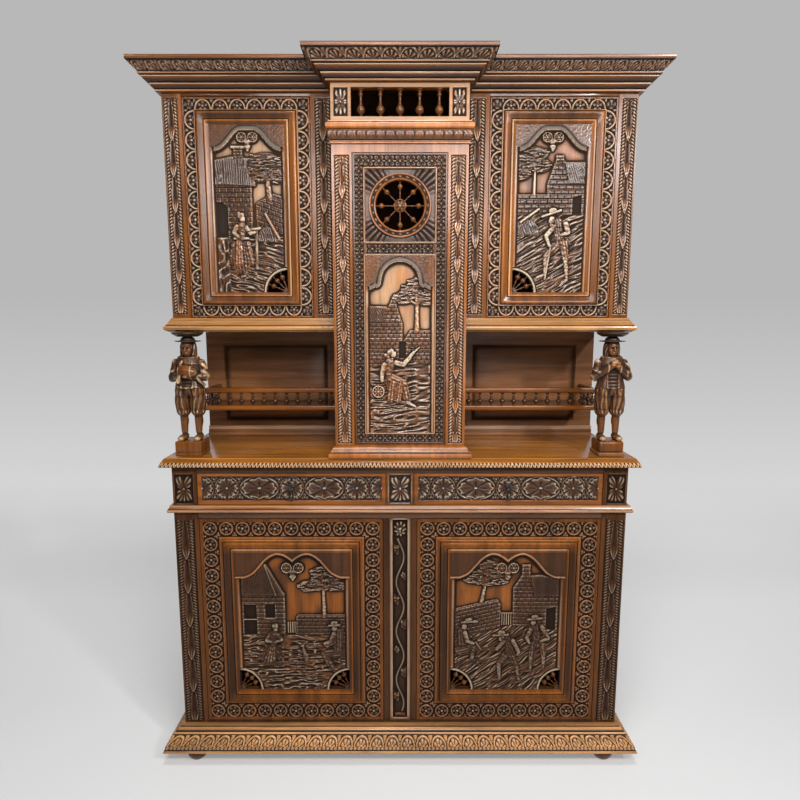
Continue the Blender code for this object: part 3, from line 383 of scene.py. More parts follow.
def turned(name, profile, sides, place=None, tone=0.3, count=0):
    """Turned piece about its Z axis; profile lists (radius, height) from the bottom up, axis to axis."""
    profile = flowing(profile, count) if count else np.array(profile, float)
    profile[:, 0] = np.maximum(profile[:, 0], 0.0)
    angle = np.linspace(0, 2 * math.pi, sides + 1)
    radius, height = profile[:, :1], profile[:, 1:]
    points = np.stack(
        (radius * np.cos(angle), radius * np.sin(angle), np.broadcast_to(height, (len(profile), sides + 1))), -1)
    wide = radius[:, 0]
    # Painted highlight on the widest parts and painted shade in the narrowest, through the carve mark
    swell = np.clip((wide - wide.mean()) / (np.ptp(wide) + 1e-9), -1, 1)[:, None]
    piece = face_out(laid_grid(name, points, tone, 0.5 * swell))
    if place is not None:
        piece.data.transform(place)
    return piece


def between(start, end):
    """Placing matrix with its origin at start and its Z axis towards end."""
    start, end = Vector(start), Vector(end)
    return Matrix.Translation(start) @ (end - start).to_track_quat("Z", "Y").to_matrix().to_4x4()


BALUSTER = (
    (0.0, 0.0), (0.34, 0.0), (0.34, 0.08), (0.62, 0.10), (0.40, 0.15), (0.80, 0.22), (1.0, 0.34), (0.84, 0.46),
    (0.42, 0.54), (0.28, 0.60), (0.58, 0.65), (0.58, 0.69), (0.28, 0.74), (0.26, 0.84), (0.62, 0.90), (0.70, 0.95),
    (0.44, 1.0), (0.0, 1.0),
)
SPOKE = (
    (0.0, 0.0), (0.24, 0.0), (0.20, 0.28), (0.34, 0.34), (0.18, 0.40), (0.20, 0.50), (0.56, 0.55), (0.90, 0.60),
    (1.0, 0.66), (0.90, 0.72), (0.56, 0.77), (0.20, 0.82), (0.18, 0.90), (0.34, 0.95), (0.24, 1.0), (0.0, 1.0),
)


def spindle(name, start, end, diameter, shape=BALUSTER, sides=12, tone=0.25):
    """Turned spindle from one point to another."""
    length = (Vector(end) - Vector(start)).length
    profile = [(share * diameter / 2, rise * length) for share, rise in shape]
    return turned(name, profile, sides, between(start, end), tone)


# Mouldings


def centred(pair):
    """Middle and half width of a range."""
    return sum(pair) / 2, (pair[1] - pair[0]) / 2


def shrunk(pair, margin):
    """Range with a margin taken off both ends."""
    return pair[0] + margin, pair[1] - margin


def corners(x, z):
    """Corners of a rectangle, one after the other."""
    return [(x[0], z[0]), (x[1], z[0]), (x[1], z[1]), (x[0], z[1])]


def from_sides(u, v, x, z):
    """Distance inwards from the nearest side of a rectangle, negative outside it."""
    return np.minimum(np.minimum(u - min(x), max(x) - u), np.minimum(v - min(z), max(z) - v))


def scaled(shape, out, low, high, start=0.0, glow=1.0):
    """Section whose rows, (out, rise, tone), are given as shares of its width and height."""
    return [(start + share * out, low + rise * (high - low), tone * glow) for share, rise, tone in shape]


def corner_ways(path, closed):
    """For each corner of a path, the mitred way out to the right of its direction."""
    points = [Vector(point) for point in path]
    ways = []
    for i, point in enumerate(points):
        before = points[i - 1] if i or closed else None
        after = points[(i + 1) % len(points)] if i + 1 < len(points) or closed else None
        legs = [(b - a).normalized() for a, b in ((before, point), (point, after)) if a and b]
        normals = [Vector((leg.y, -leg.x)) for leg in legs]
        mitre = (normals[0] + normals[-1]).normalized()
        ways.append(mitre / mitre.dot(normals[0]))
    return np.array(points), np.array(ways)


def ruled(low, high, step, marks=()):
    """Rising values from low to high, no further apart than step, with the marks among them."""
    stops = sorted({low, high, *[m for m in marks if low + 1e-5 < m < high - 1e-5]})
    values = [stops[0]]
    for a, b in zip(stops, stops[1:]):
        values.extend(np.linspace(a, b, max(1, math.ceil((b - a) / step - 1e-6)) + 1)[1:])
    return np.array(values)


def dense(profile, step, band):
    """Section with points no further apart than step between two levels; each row is (out, rise, tone)."""
    rows = [profile[0]]
    for a, b in zip(profile, profile[1:]):
        length = math.hypot(b[0] - a[0], b[1] - a[1])
        live = band[0] - 0.001 < (a[1] + b[1]) / 2 < band[1] + 0.001 and min(a[0], b[0]) > 0
        for share in np.linspace(0, 1, (max(1, math.ceil(length / step)) if live else 1) + 1)[1:]:
            rows.append(tuple(np.array(a) + (np.array(b) - np.array(a)) * share))
    return np.array(rows)


def swept(name, path, section, lay, closed=False, step=None, pitch=None, carved=None, fine=None, band=None):
    """Moulding along a path; section lists (out, rise, tone) round it, lay places (p, q, rise).

    carved(along, rise, pitch) gives how far the section stands out there, along being measured in cells.
    """
    section = list(section) + [section[0]]
    section = dense(section, fine, band) if fine else np.array(section)
    out, rise, tone = section.T
    tangent = np.gradient(section[:, :2], axis=0)
    tangent /= np.linalg.norm(tangent, axis=1, keepdims=True) + 1e-12
    way_out, way_up = tangent[:, 1], -tangent[:, 0]
    points, ways = corner_ways(path, closed)
    legs = range(len(points) if closed else len(points) - 1)
    rows, lifts = [], []
    for leg in legs:
        a, b = leg, (leg + 1) % len(points)
        length = np.linalg.norm(points[b] - points[a])
        cells = max(1, round(length / pitch)) if carved else 1
        count = max(2, math.ceil(length / step)) if carved else 1
        for i in range(count + (1 if leg == legs[-1] else 0)):
            share = i / count
            lift = carved(share * cells, rise, length / cells) if carved else np.zeros_like(out)
            far = (out + lift * way_out)[:, None]
            start, end = points[a] + ways[a] * far, points[b] + ways[b] * far
            rows.append(lay(*(start + (end - start) * share).T, rise + lift * way_up))
            lifts.append(lift)
    lifts = np.array(lifts)
    grid = np.stack([np.stack(row, -1) for row in rows])
    carve = hollows(lifts, step) if carved else 0.0
    piece = laid_grid(name, grid, np.broadcast_to(tone, grid.shape[:2]), carve)
    if closed:
        return face_out(piece)
    weld(piece)
    reach = np.ptp(grid[0], axis=0).max() * 1.5

    def end(ring):
        middle = ring.mean(0)
        axis = np.linalg.svd(ring - middle)[2][2]
        return lambda spots: (
            (np.abs((spots - middle) @ axis) < 1e-5) & (np.linalg.norm(spots - middle, axis=1) < reach))

    return capped(piece, end(grid[0]), end(grid[-1]))


def in_plan(p, q, rise):
    """Moulding laid round the case."""
    return p, q, rise


def on_face(plane):
    """Moulding laid on an upright face, standing out to the front of its plane."""
    return lambda p, q, rise: (p, plane - rise, q)


def around(half, front, rear):
    """Plan path round the left side, the front and the right side."""
    return [(-half, rear), (-half, front), (half, front), (half, rear)]


def edged_slab(name, x, y, levels, edges, step=None, pitch=None, carved=None):
    """Slab whose chosen edges follow levels of (out, height, tone), with carving along them."""
    levels = np.array(levels)
    out, height, tone = levels.T
    corners = ((0, 1), (0, 0), (1, 0), (1, 1))
    spans = (("left", 0, 1), ("front", 1, 2), ("right", 2, 3), ("rear", 3, 0))

    def corner(k, lift):
        i, j = corners[k]
        left = x[0] - (out + lift if "left" in edges else 0.0) + 0 * out
        right = x[1] + (out + lift if "right" in edges else 0.0) + 0 * out
        front = y[0] - (out + lift if "front" in edges else 0.0) + 0 * out
        return np.stack((right if i else left, (y[1] if j else front) + 0 * out), -1)

    rows, lifts = [], []
    for label, a, b in spans:
        length = (y[1] - y[0]) if label in ("left", "right") else (x[1] - x[0])
        live = carved is not None and label in edges
        cells = max(1, round(length / pitch)) if live else 1
        count = max(2, math.ceil(length / step)) if live else 1
        for i in range(count + (1 if label == "rear" else 0)):
            share = i / count
            lift = carved(share * cells, height, length / cells) if live else np.zeros_like(out)
            start, end = corner(a, lift), corner(b, lift)
            rows.append(np.column_stack((start + (end - start) * share, height)))
            lifts.append(lift)
    rows[-1], lifts[-1] = rows[0], lifts[0]
    grid = np.stack(rows)
    carve = hollows(np.array(lifts), step) if carved is not None else 0.0
    piece = laid_grid(name, grid, np.broadcast_to(tone, grid.shape[:2]), carve)
    weld(piece)
    return capped(
        piece, lambda s: s[:, 2] < height.min() + 1e-6, lambda s: s[:, 2] > height.max() - 1e-6)


# Carved forms


def smooth(t):
    """Eased step from 0 to 1."""
    t = np.clip(t, 0.0, 1.0)
    return t * t * (3.0 - 2.0 * t)


def dome(away, half):
    """Half-round section of a given half width."""
    return np.sqrt(np.clip(1.0 - (away / half) ** 2, 0.0, 1.0))


def blurred(field, cells):
    """Field softened over a number of cells each way."""
    width = 2 * cells + 1
    for axis in (0, 1, 0, 1):
        pads = [(cells + 1, cells) if k == axis else (0, 0) for k in (0, 1)]
        total = np.moveaxis(np.cumsum(np.pad(field, pads, mode="edge"), axis), axis, 0)
        field = np.moveaxis((total[width:] - total[:-width]) / width, 0, axis)
    return field


def hollows(rise, step):
    """Share by which each point stands above or below what is around it."""
    near = (rise - blurred(rise, max(1, round(0.003 / step)))) / 0.0011
    wide = (rise - blurred(rise, max(2, round(0.011 / step)))) / 0.0034
    return np.clip(0.5 * near + 0.5 * wide, -1, 1)


def mottled(x, z, size, seed):
    """Smooth noise between 0 and 1 with patches of a given size."""
    chart = np.random.default_rng(seed).random((64, 64))
    u, v = x / size[0], z / size[1]
    i, j = np.floor(u).astype(int), np.floor(v).astype(int)
    s, t = smooth(u - i), smooth(v - j)

    def at(a, b):
        return chart[(j + b) % 64, (i + a) % 64]

    return (at(0, 0) * (1 - s) + at(1, 0) * s) * (1 - t) + (at(0, 1) * (1 - s) + at(1, 1) * s) * t


def leg_away(x, z, start, end):
    """Distance from a straight leg, and the share of the leg at which its nearest place lies."""
    (ax, az), (bx, bz) = start, end
    dx, dz = bx - ax, bz - az
    share = np.clip(((x - ax) * dx + (z - az) * dz) / (dx * dx + dz * dz + 1e-15), 0, 1)
    return np.hypot(x - ax - share * dx, z - az - share * dz), share


def line_away(x, z, points):
    """Distance from a line of points."""
    return np.min([leg_away(x, z, a, b)[0] for a, b in zip(points, points[1:])], axis=0)


def inwards(x, z, outline):
    """Distance inwards from the sides of a polygon, negative outside it."""
    outline = [*outline, outline[0]]
    within = np.zeros(x.shape, bool)
    for (ax, az), (bx, bz) in zip(outline, outline[1:]):
        if az != bz:
            within ^= ((az > z) != (bz > z)) & (x < (bx - ax) * (z - az) / (bz - az) + ax)
    away = line_away(x, z, outline)
    return np.where(within, away, -away)


def rosette(u, v, radius, petals, height, turn=0.0):
    """Flower with hollow-backed petals and a boss."""
    far, angle = np.hypot(u, v), np.arctan2(v, u) - turn
    lobe = np.abs(np.cos(petals * angle / 2))
    edge = radius * (0.52 + 0.48 * lobe ** 0.6)
    leaf = np.clip(1 - (far / edge) ** 6, 0, 1) * (0.10 + 0.90 * lobe) * (0.40 + 0.60 * far / radius)
    rib = 0.34 * np.exp(-((1 - lobe) / 0.03) ** 2) * smooth((edge * 0.85 - far) / (0.2 * radius))
    return height * np.maximum(np.maximum(leaf - rib, 0.0), 1.05 * dome(far, radius * 0.25))


def roundel(u, v, radius, petals, height, turn=0.0):
    """Flower in a raised ring."""
    far = np.hypot(u, v)
    rim = radius * 0.11
    ring = height * 0.95 * dome(far - radius + rim, rim)
    return np.maximum(ring, rosette(u, v, radius * 0.80, petals, height * 0.95, turn))


def patera(u, v, half_u, half_v, height, rays=8):
    """Toothed leaves that spread from a boss to the sides of a rectangle."""
    s, t = u / half_u, v / half_v
    far = (np.abs(s) ** 4 + np.abs(t) ** 4) ** 0.25
    angle = np.arctan2(t, s)
    lobe = np.abs(np.cos(rays * angle / 2))
    tooth = np.abs(np.cos(rays * angle / 2 + far * 7.0 * np.sign(np.sin(rays * angle / 2)) * 0.6))
    edge = 0.66 + 0.32 * lobe
    leaf = np.clip(1 - (far / edge) ** 8, 0, 1) * (0.10 + 0.60 * lobe + 0.30 * tooth) * (0.45 + 0.55 * far)
    rib = 0.40 * np.exp(-((1 - lobe) / 0.02) ** 2) * far
    return height * np.maximum(np.maximum(leaf - rib, 0), dome(np.hypot(u, v), 0.17 * min(half_u, half_v)))


def leaf_cross(u, v, half_u, half_v, height):
    """Four folded leaves from a boss to the corners of a rectangle, and a fan between the lower two."""
    s, t = u / half_u, v / half_v
    far, angle = (np.abs(s) ** 4 + np.abs(t) ** 4) ** 0.25, np.arctan2(t, s)
    broad = np.abs(np.sin(2 * angle)) ** 0.6
    broad = np.where(t < 0, np.maximum(broad, 0.9 * smooth((0.5 - np.abs(s)) / 0.4)), broad)
    folds = np.abs(np.cos(7 * angle + 2.0 * far))
    edge = 0.34 + 0.62 * broad - 0.10 * (1 - folds)
    leaf = np.clip(1 - (far / edge) ** 8, 0, 1) * (0.12 + 0.30 * broad + 0.58 * folds) * (0.40 + 0.60 * far)
    return height * np.maximum(leaf, dome(np.hypot(u, v), 0.13 * min(half_u, half_v)))


LIMB_RISE = 0.0058


class Relief:
    """Heights carved into the front of a board, in metres above its face."""

    def __init__(self, x, z, step, marks_x=(), marks_z=()):
        self.step = step
        self.xs, self.zs = ruled(*x, step, marks_x), ruled(*z, step, marks_z)
        self.x, self.z = np.meshgrid(self.xs, self.zs)
        self.rise = np.zeros_like(self.x)
        self.tone = np.zeros_like(self.x)

    def window(self, x, z):
        """Part of the board between two ranges, with its coordinates."""
        columns = slice(*np.searchsorted(self.xs, (min(x) - 1e-7, max(x) + 1e-7)))
        rows = slice(*np.searchsorted(self.zs, (min(z) - 1e-7, max(z) + 1e-7)))
        return (rows, columns), self.x[rows, columns], self.z[rows, columns]

    def flat(self, x, z, rise=None, tone=None):
        """Sets a rectangle to one height or tone."""
        part, *_ = self.window(x, z)
        if rise is not None:
            self.rise[part] = rise
        if tone is not None:
            self.tone[part] = tone

    def sunk(self, x, z, depth, edge=0.002, tone=None):
        """Sinks a rectangle with a short slope at its sides."""
        part, u, v = self.window(x, z)
        self.rise[part] -= depth * smooth(from_sides(u, v, x, z) / edge)
        if tone is not None:
            self.tone[part] = tone

    def stamp(self, x, z, reach, form, ground=0.0, tone=None):
        """Carves a form round a point, keeping what stands higher."""
        reach = reach if isinstance(reach, tuple) else (reach, reach)
        part, u, v = self.window((x - reach[0], x + reach[0]), (z - reach[1], z + reach[1]))
        made = form(u - x, v - z)
        self.rise[part] = np.where(made > 0, np.maximum(self.rise[part], ground + made), self.rise[part])
        if tone is not None:
            self.tone[part] = np.where(made > 0, tone, self.tone[part])

    def limb(self, start, end, thick, thin, lift=0.0, bulge=0.55, tone=None, folds=0):
        """Rounded tapering form between two points, with folds running along it."""
        (ax, az), (bx, bz) = start, end
        reach = max(thick, thin)
        part, u, v = self.window(
            (min(ax, bx) - reach, max(ax, bx) + reach), (min(az, bz) - reach, max(az, bz) + reach))
        dx, dz = bx - ax, bz - az
        away, share = leg_away(u, v, start, end)
        half = thick + (thin - thick) * share
        form = LIMB_RISE * (1 - np.exp(-bulge * half / LIMB_RISE)) * dome(away, half)
        if folds:
            side = ((u - ax) * dz - (v - az) * dx) / (math.hypot(dx, dz) * half)
            form = form * (0.82 + 0.18 * np.cos(side * folds * math.pi + 1.3 * share)) - 0.0006
        if half.max() > LIMB_RISE:
            form = form + 0.0020 * (mottled(u + 0.5 * v, v, (0.0075, 0.0042), 77) - 0.5)
        made = np.where(away < half, lift + form, -1.0)
        self.rise[part] = np.maximum(self.rise[part], made)
        if tone is not None:
            self.tone[part] = np.where(away < half, tone, self.tone[part])

    def area(self, outline, build, edge=0.002):
        """Works on the inside of a polygon: build(u, v) gives heights and tones that blend in over an edge."""
        part, u, v = self.window(*zip(*outline))
        share = smooth(inwards(u, v, outline) / edge)
        rise, tone = build(u, v)
        self.rise[part] = self.rise[part] * (1 - share) + rise * share
        self.tone[part] = self.tone[part] * (1 - share) + tone * share


def round_hole(relief, centre, radius):
    """Moves the crossings beside a circle onto it."""
    reach = radius * 1.2
    part, u, v = relief.window(*((c - reach, c + reach) for c in centre))
    u, v = u - centre[0], v - centre[1]
    far = np.hypot(u, v) + 1e-12
    close = np.abs(far - radius) < 0.72 * relief.step
    on_line = (np.abs(u) < 1e-6) | (np.abs(v) < 1e-6)
    fit = np.where(close & ~on_line, radius / far, 1.0)
    for axis, line, start in ((relief.x, u, centre[0]), (relief.z, v, centre[1])):
        ends = close & on_line & (np.abs(line) > 1e-6)
        axis[part] = np.where(ends, start + np.sign(line) * radius, start + line * fit)


def carved_board(name, relief, front, back, gone=None):
    """Closed board with a carved front; gone(x, z) marks the points inside its openings."""
    points = np.stack((relief.x, front - relief.rise, relief.z), -1)
    carve = hollows(relief.rise, relief.step) if relief.step < 0.01 else 0.0
    piece = laid_grid(name, points, relief.tone, carve)
    if gone is not None:
        spots = places(piece)
        lost = gone(spots[:, 0], spots[:, 2])
        mesh = piece.data
        corners = np.empty(len(mesh.loops), np.int32)
        mesh.loops.foreach_get("vertex_index", corners)
        with Bench(piece, faces=lost[corners].reshape(-1, 4).all(1)):
            bpy.ops.mesh.delete(type="FACE")
    with Bench(piece):
        bpy.ops.mesh.select_all(action="SELECT")
        bpy.ops.mesh.region_to_loop()
        bpy.ops.mesh.extrude_edges_move(TRANSFORM_OT_translate={"value": (0.0, 0.01, 0.0)})
        bpy.ops.transform.resize(value=(1.0, 0.0, 1.0), center_override=(0.0, back, 0.0))
        if gone is None:
            bpy.ops.mesh.edge_face_add()
    if gone is not None:
        piece = backed(piece, back, gone)
    rear = places(piece)[:, 1] > back - 1e-6
    mark(piece, "tone", np.where(rear, 0.3, marked(piece, "tone")))
    mark(piece, "carve", np.where(rear, 0.0, marked(piece, "carve")))
    return face_out(piece)


def backed(piece, back, gone):
    """Closes the back of a board that has openings with one flat plate."""
    spots = places(piece)
    pairs = np.empty(len(piece.data.edges) * 2, np.int32)
    piece.data.edges.foreach_get("vertices", pairs)
    pairs = pairs.reshape(-1, 2)
    rim = pairs[(spots[pairs, 1] > back - 1e-6).all(1)]
    used, order = np.unique(rim, return_inverse=True)
    outline = [Vector((spot[0], spot[2])) for spot in spots[used]]
    points, _, faces, *_ = delaunay_2d_cdt(outline, order.reshape(-1, 2).tolist(), [], 1, 1e-7)
    flat, faces = np.array(points), np.array(faces)
    lost = gone(*flat[faces].mean(1).T)
    mesh = bpy.data.meshes.new("back")
    mesh.from_pydata([(across, back, up) for across, up in flat.tolist()], [], faces[~lost].tolist())
    plate = bpy.data.objects.new("back", mesh)
    bpy.context.scene.collection.objects.link(plate)
    mark(plate, "tone", 0.3)
    mark(plate, "carve", 0.0)
    return weld(joined(piece.name, [piece, plate]))


def rectangle_gone(x, z):
    """Mask of a rectangular opening."""
    return lambda u, v: (u > x[0] - 1e-6) & (u < x[1] + 1e-6) & (v > z[0] - 1e-6) & (v < z[1] + 1e-6)


LEAF_LEVELS = (0.0, 0.10, 0.30, 0.72, 0.84, 0.94, 1.06, 1.15)
BROAD_LEAF = (0.16, 0.24, 0.36, 0.48, 0.50, 0.42, 0.20, 0.0)
SLIM_LEAF = (0.08, 0.12, 0.18, 0.26, 0.50, 0.44, 0.20, 0.0)


def leaf_chain(relief, chain, span, sink=0.0024, widths=BROAD_LEAF, tip_highlight=0.42, tone=None):
    """Sinks a strip and stacks leaves in it: a hollow tongue, lobes down both edges, a veined tip at the end."""
    relief.sunk(chain, span, sink, tone=tone)
    middle, half = centred(chain)
    low, high = shrunk(span, 0.002)
    depth = carving().depth * 1.25
    part, x, z = relief.window((middle - half, middle + half), (low, high))
    units = max(1, round((high - low) / carving().leaf))
    lobes = max(4, round((high - low) / units / 0.0092))
    across = np.abs(x - middle) / half
    down = (high - z) / (high - low) * units
    index = np.floor(np.clip(down, 0, units - 1e-6))
    best, tongue_highlight = np.zeros_like(x), np.zeros_like(x)
    for lag in (0, 1):
        along = down - index + lag
        live = (index >= lag) & (along < 1.15)
        wide = np.interp(along, LEAF_LEVELS, widths)
        share = across / np.maximum(wide, 1e-4)
        tip = smooth((along - 0.66) / 0.24)
        hollow = 0.14 + 0.62 * share ** 2
        veins = np.abs(np.cos(np.minimum(share, 1.0) * 4.7))
        full = 0.58 + 0.48 * veins * (0.6 + 0.4 * smooth((along - 0.8) / 0.2))
        tongue = (hollow * (1 - tip) + full * tip) * (share < 1)
        cell = (along * lobes - 1.1 * across ** 2) % 1.0 * 2 - 1
        lobe = dome(np.hypot(cell / 0.88, (across - 0.68) / 0.29), 1.0)
        leaf = (0.30 + 0.14 * dome(cell, 0.8)) * smooth((across - wide) / 0.06) * smooth((0.86 - across) / 0.12)
        flank = np.where(along < 1.0, np.maximum(leaf, 0.80 * lobe), 0.0)
        # The tongue's tone rises towards its tip: painted highlight on the leaf tips
        tongue_highlight = np.where(live & (share < 1), 0.06 + tip_highlight * tip, tongue_highlight)
        best = np.where(live, np.maximum(best, np.maximum(tongue, flank)), best)
    relief.rise[part] = np.maximum(relief.rise[part], depth * best - sink)
    relief.tone[part] = np.maximum(relief.tone[part] * 0.7, tongue_highlight)


def leaf_stile(name, x, z, chain, plain, front, back):
    """Upright board with a chain of leaves beside a plain strip."""
    relief = Relief(x, z, grid_step())
    relief.tone[:] = 0.34
    relief.flat(plain, z, tone=0.62)
    leaf_chain(relief, chain, (z[0] + 0.012, z[1] - 0.014))
    return carved_board(name, relief, front, back)


def sunk_block(relief, x, z, form, sink, height, tone):
    """Ornament in a sunk rectangle."""
    relief.sunk(x, z, sink, tone=0.05)
    (across, half_x), (up, half_z) = centred(x), centred(z)
    relief.stamp(
        across, up, (half_x, half_z), lambda u, v: form(u, v, half_x, half_z, height), 0.0002 - sink, tone)


# Finishes


def add_node(tree, kind, inputs=None, **settings):
    """New node with its settings, input values and links."""
    node = tree.nodes.new(kind)
    for key, value in settings.items():
        setattr(node, key, value)
    for key, value in (inputs or {}).items():
        if isinstance(value, bpy.types.NodeSocket):
            tree.links.new(value, node.inputs[key])
        else:
            node.inputs[key].default_value = value
    return node


def blend(tree, share, a, b, how="MIX"):
    """Mix of two colours."""
    node = add_node(tree, "ShaderNodeMix", data_type="RGBA", blend_type=how)
    for index, value in ((0, share), (6, a), (7, b)):
        if isinstance(value, bpy.types.NodeSocket):
            tree.links.new(value, node.inputs[index])
        else:
            node.inputs[index].default_value = (*value, 1.0) if index else value
    return node.outputs[2]


def spread(tree, value, low, high, start=0.0, end=1.0):
    """Value carried from one range to another, held at its ends."""
    node = add_node(tree, "ShaderNodeMapRange", {0: value, 1: low, 2: high, 3: start, 4: end}, clamp=True)
    return node.outputs[0]


def shaded(colour, share):
    """Colour made darker or lighter, by one share or by one for each channel."""
    return tuple(min(1.0, c) for c in np.multiply(colour, share))


def sum_of(tree, a, b, how="ADD"):
    """Two values added, or worked together in another way."""
    return add_node(tree, "ShaderNodeMath", {0: a, 1: b}, operation=how).outputs[0]


def noise(tree, place, scale, detail, rough=0.5, bent=0.0):
    """Clouds of noise."""
    inputs = {"Vector": place, "Scale": scale, "Detail": detail, "Roughness": rough, "Distortion": bent}
    return add_node(tree, "ShaderNodeTexNoise", inputs).outputs["Fac"]


def new_finish(name):
    """New material with its tree, its shader and the place on the piece."""
    material = bpy.data.materials.new(name)
    material.use_nodes = True
    tree = material.node_tree
    return material, tree, tree.nodes["Principled BSDF"], add_node(tree, "ShaderNodeTexCoord").outputs["Object"]


# Each oak: axis of the grain, plain colour and its share, bright colour and its share, added roughness, shine,
# and the share of the light colour of wear and painted highlight on raised carving
OAKS = {
    "upright": (2, "dark", 1.0, "honey", 1.0, 0.05, 0.32, 1.0),
    # The two low oaks are darker copies of the upright oak, with less highlight: painted shade on the lower stage
    "low": (2, "dark", 0.78, "honey", 0.92, 0.04, 0.14, 0.56),
    "low_panels": (2, "dark", 0.78, "honey", 0.98, 0.02, 0.20, 0.64),
    "column": (2, "dark", 1.5, "honey", 1.5, 0.0, 0.40, 0.92),
    "lengthwise": (0, "dark", 1.0, "honey", 1.0, 0.0, 0.40, 1.0),
    "panels": (2, "dark", 1.0, "honey", 1.05, 0.02, 0.38, 0.80),
    "figures": (2, "dark", 0.80, "honey", 0.88, 0.02, 0.40, (0.95, 0.76, 0.52)),
    "niche": (0, "niche", 0.45, "niche", 1.15, 0.12, 0.30, 1.0),
    "waxed": (0, "waxed", 0.22, "waxed", 1.0, 0.0, 0.40, 1.0),
    "table": (0, "table", 0.50, "table", 0.92, -0.06, 0.18, 1.0),
    "inside": (2, "inner", 0.8, "inner", 1.0, 0.42, 0.40, 1.0),
}


def oak(kind):
    """Oak with its grain along one axis; reads how each point is toned and carved."""
    name = "oak_" + kind
    if name in bpy.data.materials:
        return bpy.data.materials[name]
    look = finish()
    along, plain, plain_share, bright, bright_share, rough, shine, wear_and_highlight_share = OAKS[kind]
    plain, bright = shaded(getattr(look, plain), plain_share), shaded(getattr(look, bright), bright_share)
    rough += look.polish
    pale_sheen, shade_and_wax = tuple(look.pale_sheen), tuple(look.shade_and_wax)
    material, tree, shader, place = new_finish(name)
    broad, fine = [22.0] * 3, [150.0] * 3
    broad[along], fine[along] = 1.6, 5.0
    laid = add_node(tree, "ShaderNodeMapping", {"Vector": place, "Scale": broad}).outputs["Vector"]
    thin = add_node(tree, "ShaderNodeMapping", {"Vector": place, "Scale": fine}).outputs["Vector"]
    figure = noise(tree, laid, 1.6, 5.0, 0.6, 0.5)
    pores = noise(tree, thin, 2.2, 3.0, 0.6)
    patches = noise(tree, place, 5.5, 3.0, 0.55)
    tone = add_node(tree, "ShaderNodeAttribute", attribute_name="tone").outputs["Fac"]
    carve = add_node(tree, "ShaderNodeAttribute", attribute_name="carve").outputs["Fac"]
    veined = spread(tree, figure, 0.32, 0.68)
    dark = blend(tree, veined, shaded(plain, 0.62), shaded(plain, 1.38))
    light = blend(tree, veined, shaded(bright, 0.55), shaded(bright, 1.25))
    colour = blend(tree, tone, dark, light)
    # Tones above 1.05 turn to a silvery colour: painted sheen
    colour = blend(tree, spread(tree, tone, 1.05, 2.0), colour, blend(tree, veined, shaded(pale_sheen, 0.75), pale_sheen))
    # Tones below -0.05 turn dark: painted shade in grooves, openings and undercuts
    colour = blend(tree, spread(tree, tone, -0.05, -0.7), colour, shade_and_wax)
    aged = spread(tree, patches, 0.35, 0.68, 0.0, 0.45)
    colour = blend(tree, aged, colour, blend(tree, 1.0, colour, (0.50, 0.44, 0.40), "MULTIPLY"))
    # Raised carving takes the light colour of wear: partly real wear, mostly painted highlight; tones below 0.16 and
    # above 0.56 take less of it
    edges = spread(tree, carve, 0.30, 1.0, 0.0, 0.80)
    worn_and_lit = sum_of(tree, edges, spread(tree, tone, 0.03, 0.16, 0.25, 1.0), "MULTIPLY")
    worn_and_lit = sum_of(tree, worn_and_lit, spread(tree, tone, 0.56, 0.62, 1.0, 0.35), "MULTIPLY")
    colour = blend(tree, worn_and_lit, colour, shaded(look.wear_and_highlight, wear_and_highlight_share))
    # Sunk carving turns dark: painted shade in the bottom of the carving
    colour = blend(tree, spread(tree, carve, 0.04, -0.40, 0.0, 0.98), colour, shade_and_wax)
    pore = spread(tree, pores, 0.56, 0.70, 0.0, 0.55)
    colour = blend(tree, pore, colour, blend(tree, 1.0, colour, (0.40, 0.34, 0.30), "MULTIPLY"))
    tree.links.new(colour, shader.inputs["Base Color"])
    matt = spread(tree, patches, 0.3, 0.7, rough - 0.06, rough + 0.08)
    matt = sum_of(tree, matt, spread(tree, carve, 0.02, -0.45, 0.0, 0.75))
    matt = sum_of(tree, matt, spread(tree, tone, -0.05, -0.5, 0.0, 0.6))
    tree.links.new(matt, shader.inputs["Roughness"])
    relief = sum_of(tree, pores, figure)
    bump = add_node(tree, "ShaderNodeBump", {"Strength": 0.22, "Distance": 0.0006, "Height": relief})
    tree.links.new(bump.outputs["Normal"], shader.inputs["Normal"])
    shader.inputs["Specular IOR Level"].default_value = shine
    return material


def forged_iron():
    """Dark metal of pulls and pins."""
    if "forged_iron" in bpy.data.materials:
        return bpy.data.materials["forged_iron"]
    material, tree, shader, place = new_finish("forged_iron")
    spots = noise(tree, place, 190.0, 4.0)
    base = tuple(finish().iron)
    colour = blend(tree, spread(tree, spots, 0.4, 0.65), shaded(base, 0.5), shaded(base, 1.6))
    tree.links.new(colour, shader.inputs["Base Color"])
    tree.links.new(spread(tree, spots, 0.3, 0.7, 0.30, 0.55), shader.inputs["Roughness"])
    bump = add_node(tree, "ShaderNodeBump", {"Strength": 0.2, "Distance": 0.0004, "Height": spots})
    tree.links.new(bump.outputs["Normal"], shader.inputs["Normal"])
    shader.inputs["Metallic"].default_value = 1.0
    return material


# Lower stage


def make_feet():
    """Turned bun feet."""
    low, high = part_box("foot_front_left")
    radius, tall = (high.x - low.x) / 2, high.z
    shape = (
        (0.0, 0.0), (0.60, 0.0), (0.72, 0.03), (0.90, 0.20), (0.985, 0.40), (1.0, 0.50), (0.97, 0.62),
        (0.86, 0.75), (0.70, 0.82), (0.64, 0.86), (0.64, 0.90), (0.70, 0.92), (0.70, 1.0), (0.0, 1.0),
    )
    first = turned("foot", [(share * radius, rise * tall) for share, rise in shape], 48, tone=0.25)
    for place in ("front", "rear"):
        for side, _ in SIDES:
            node = f"foot_{place}_{side}"
            low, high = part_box(node)
            spot = Matrix.Translation(((low.x + high.x) / 2, (low.y + high.y) / 2, 0))
            hand_over(copied(first, spot), node, oak("upright"))
    bpy.data.objects.remove(first)


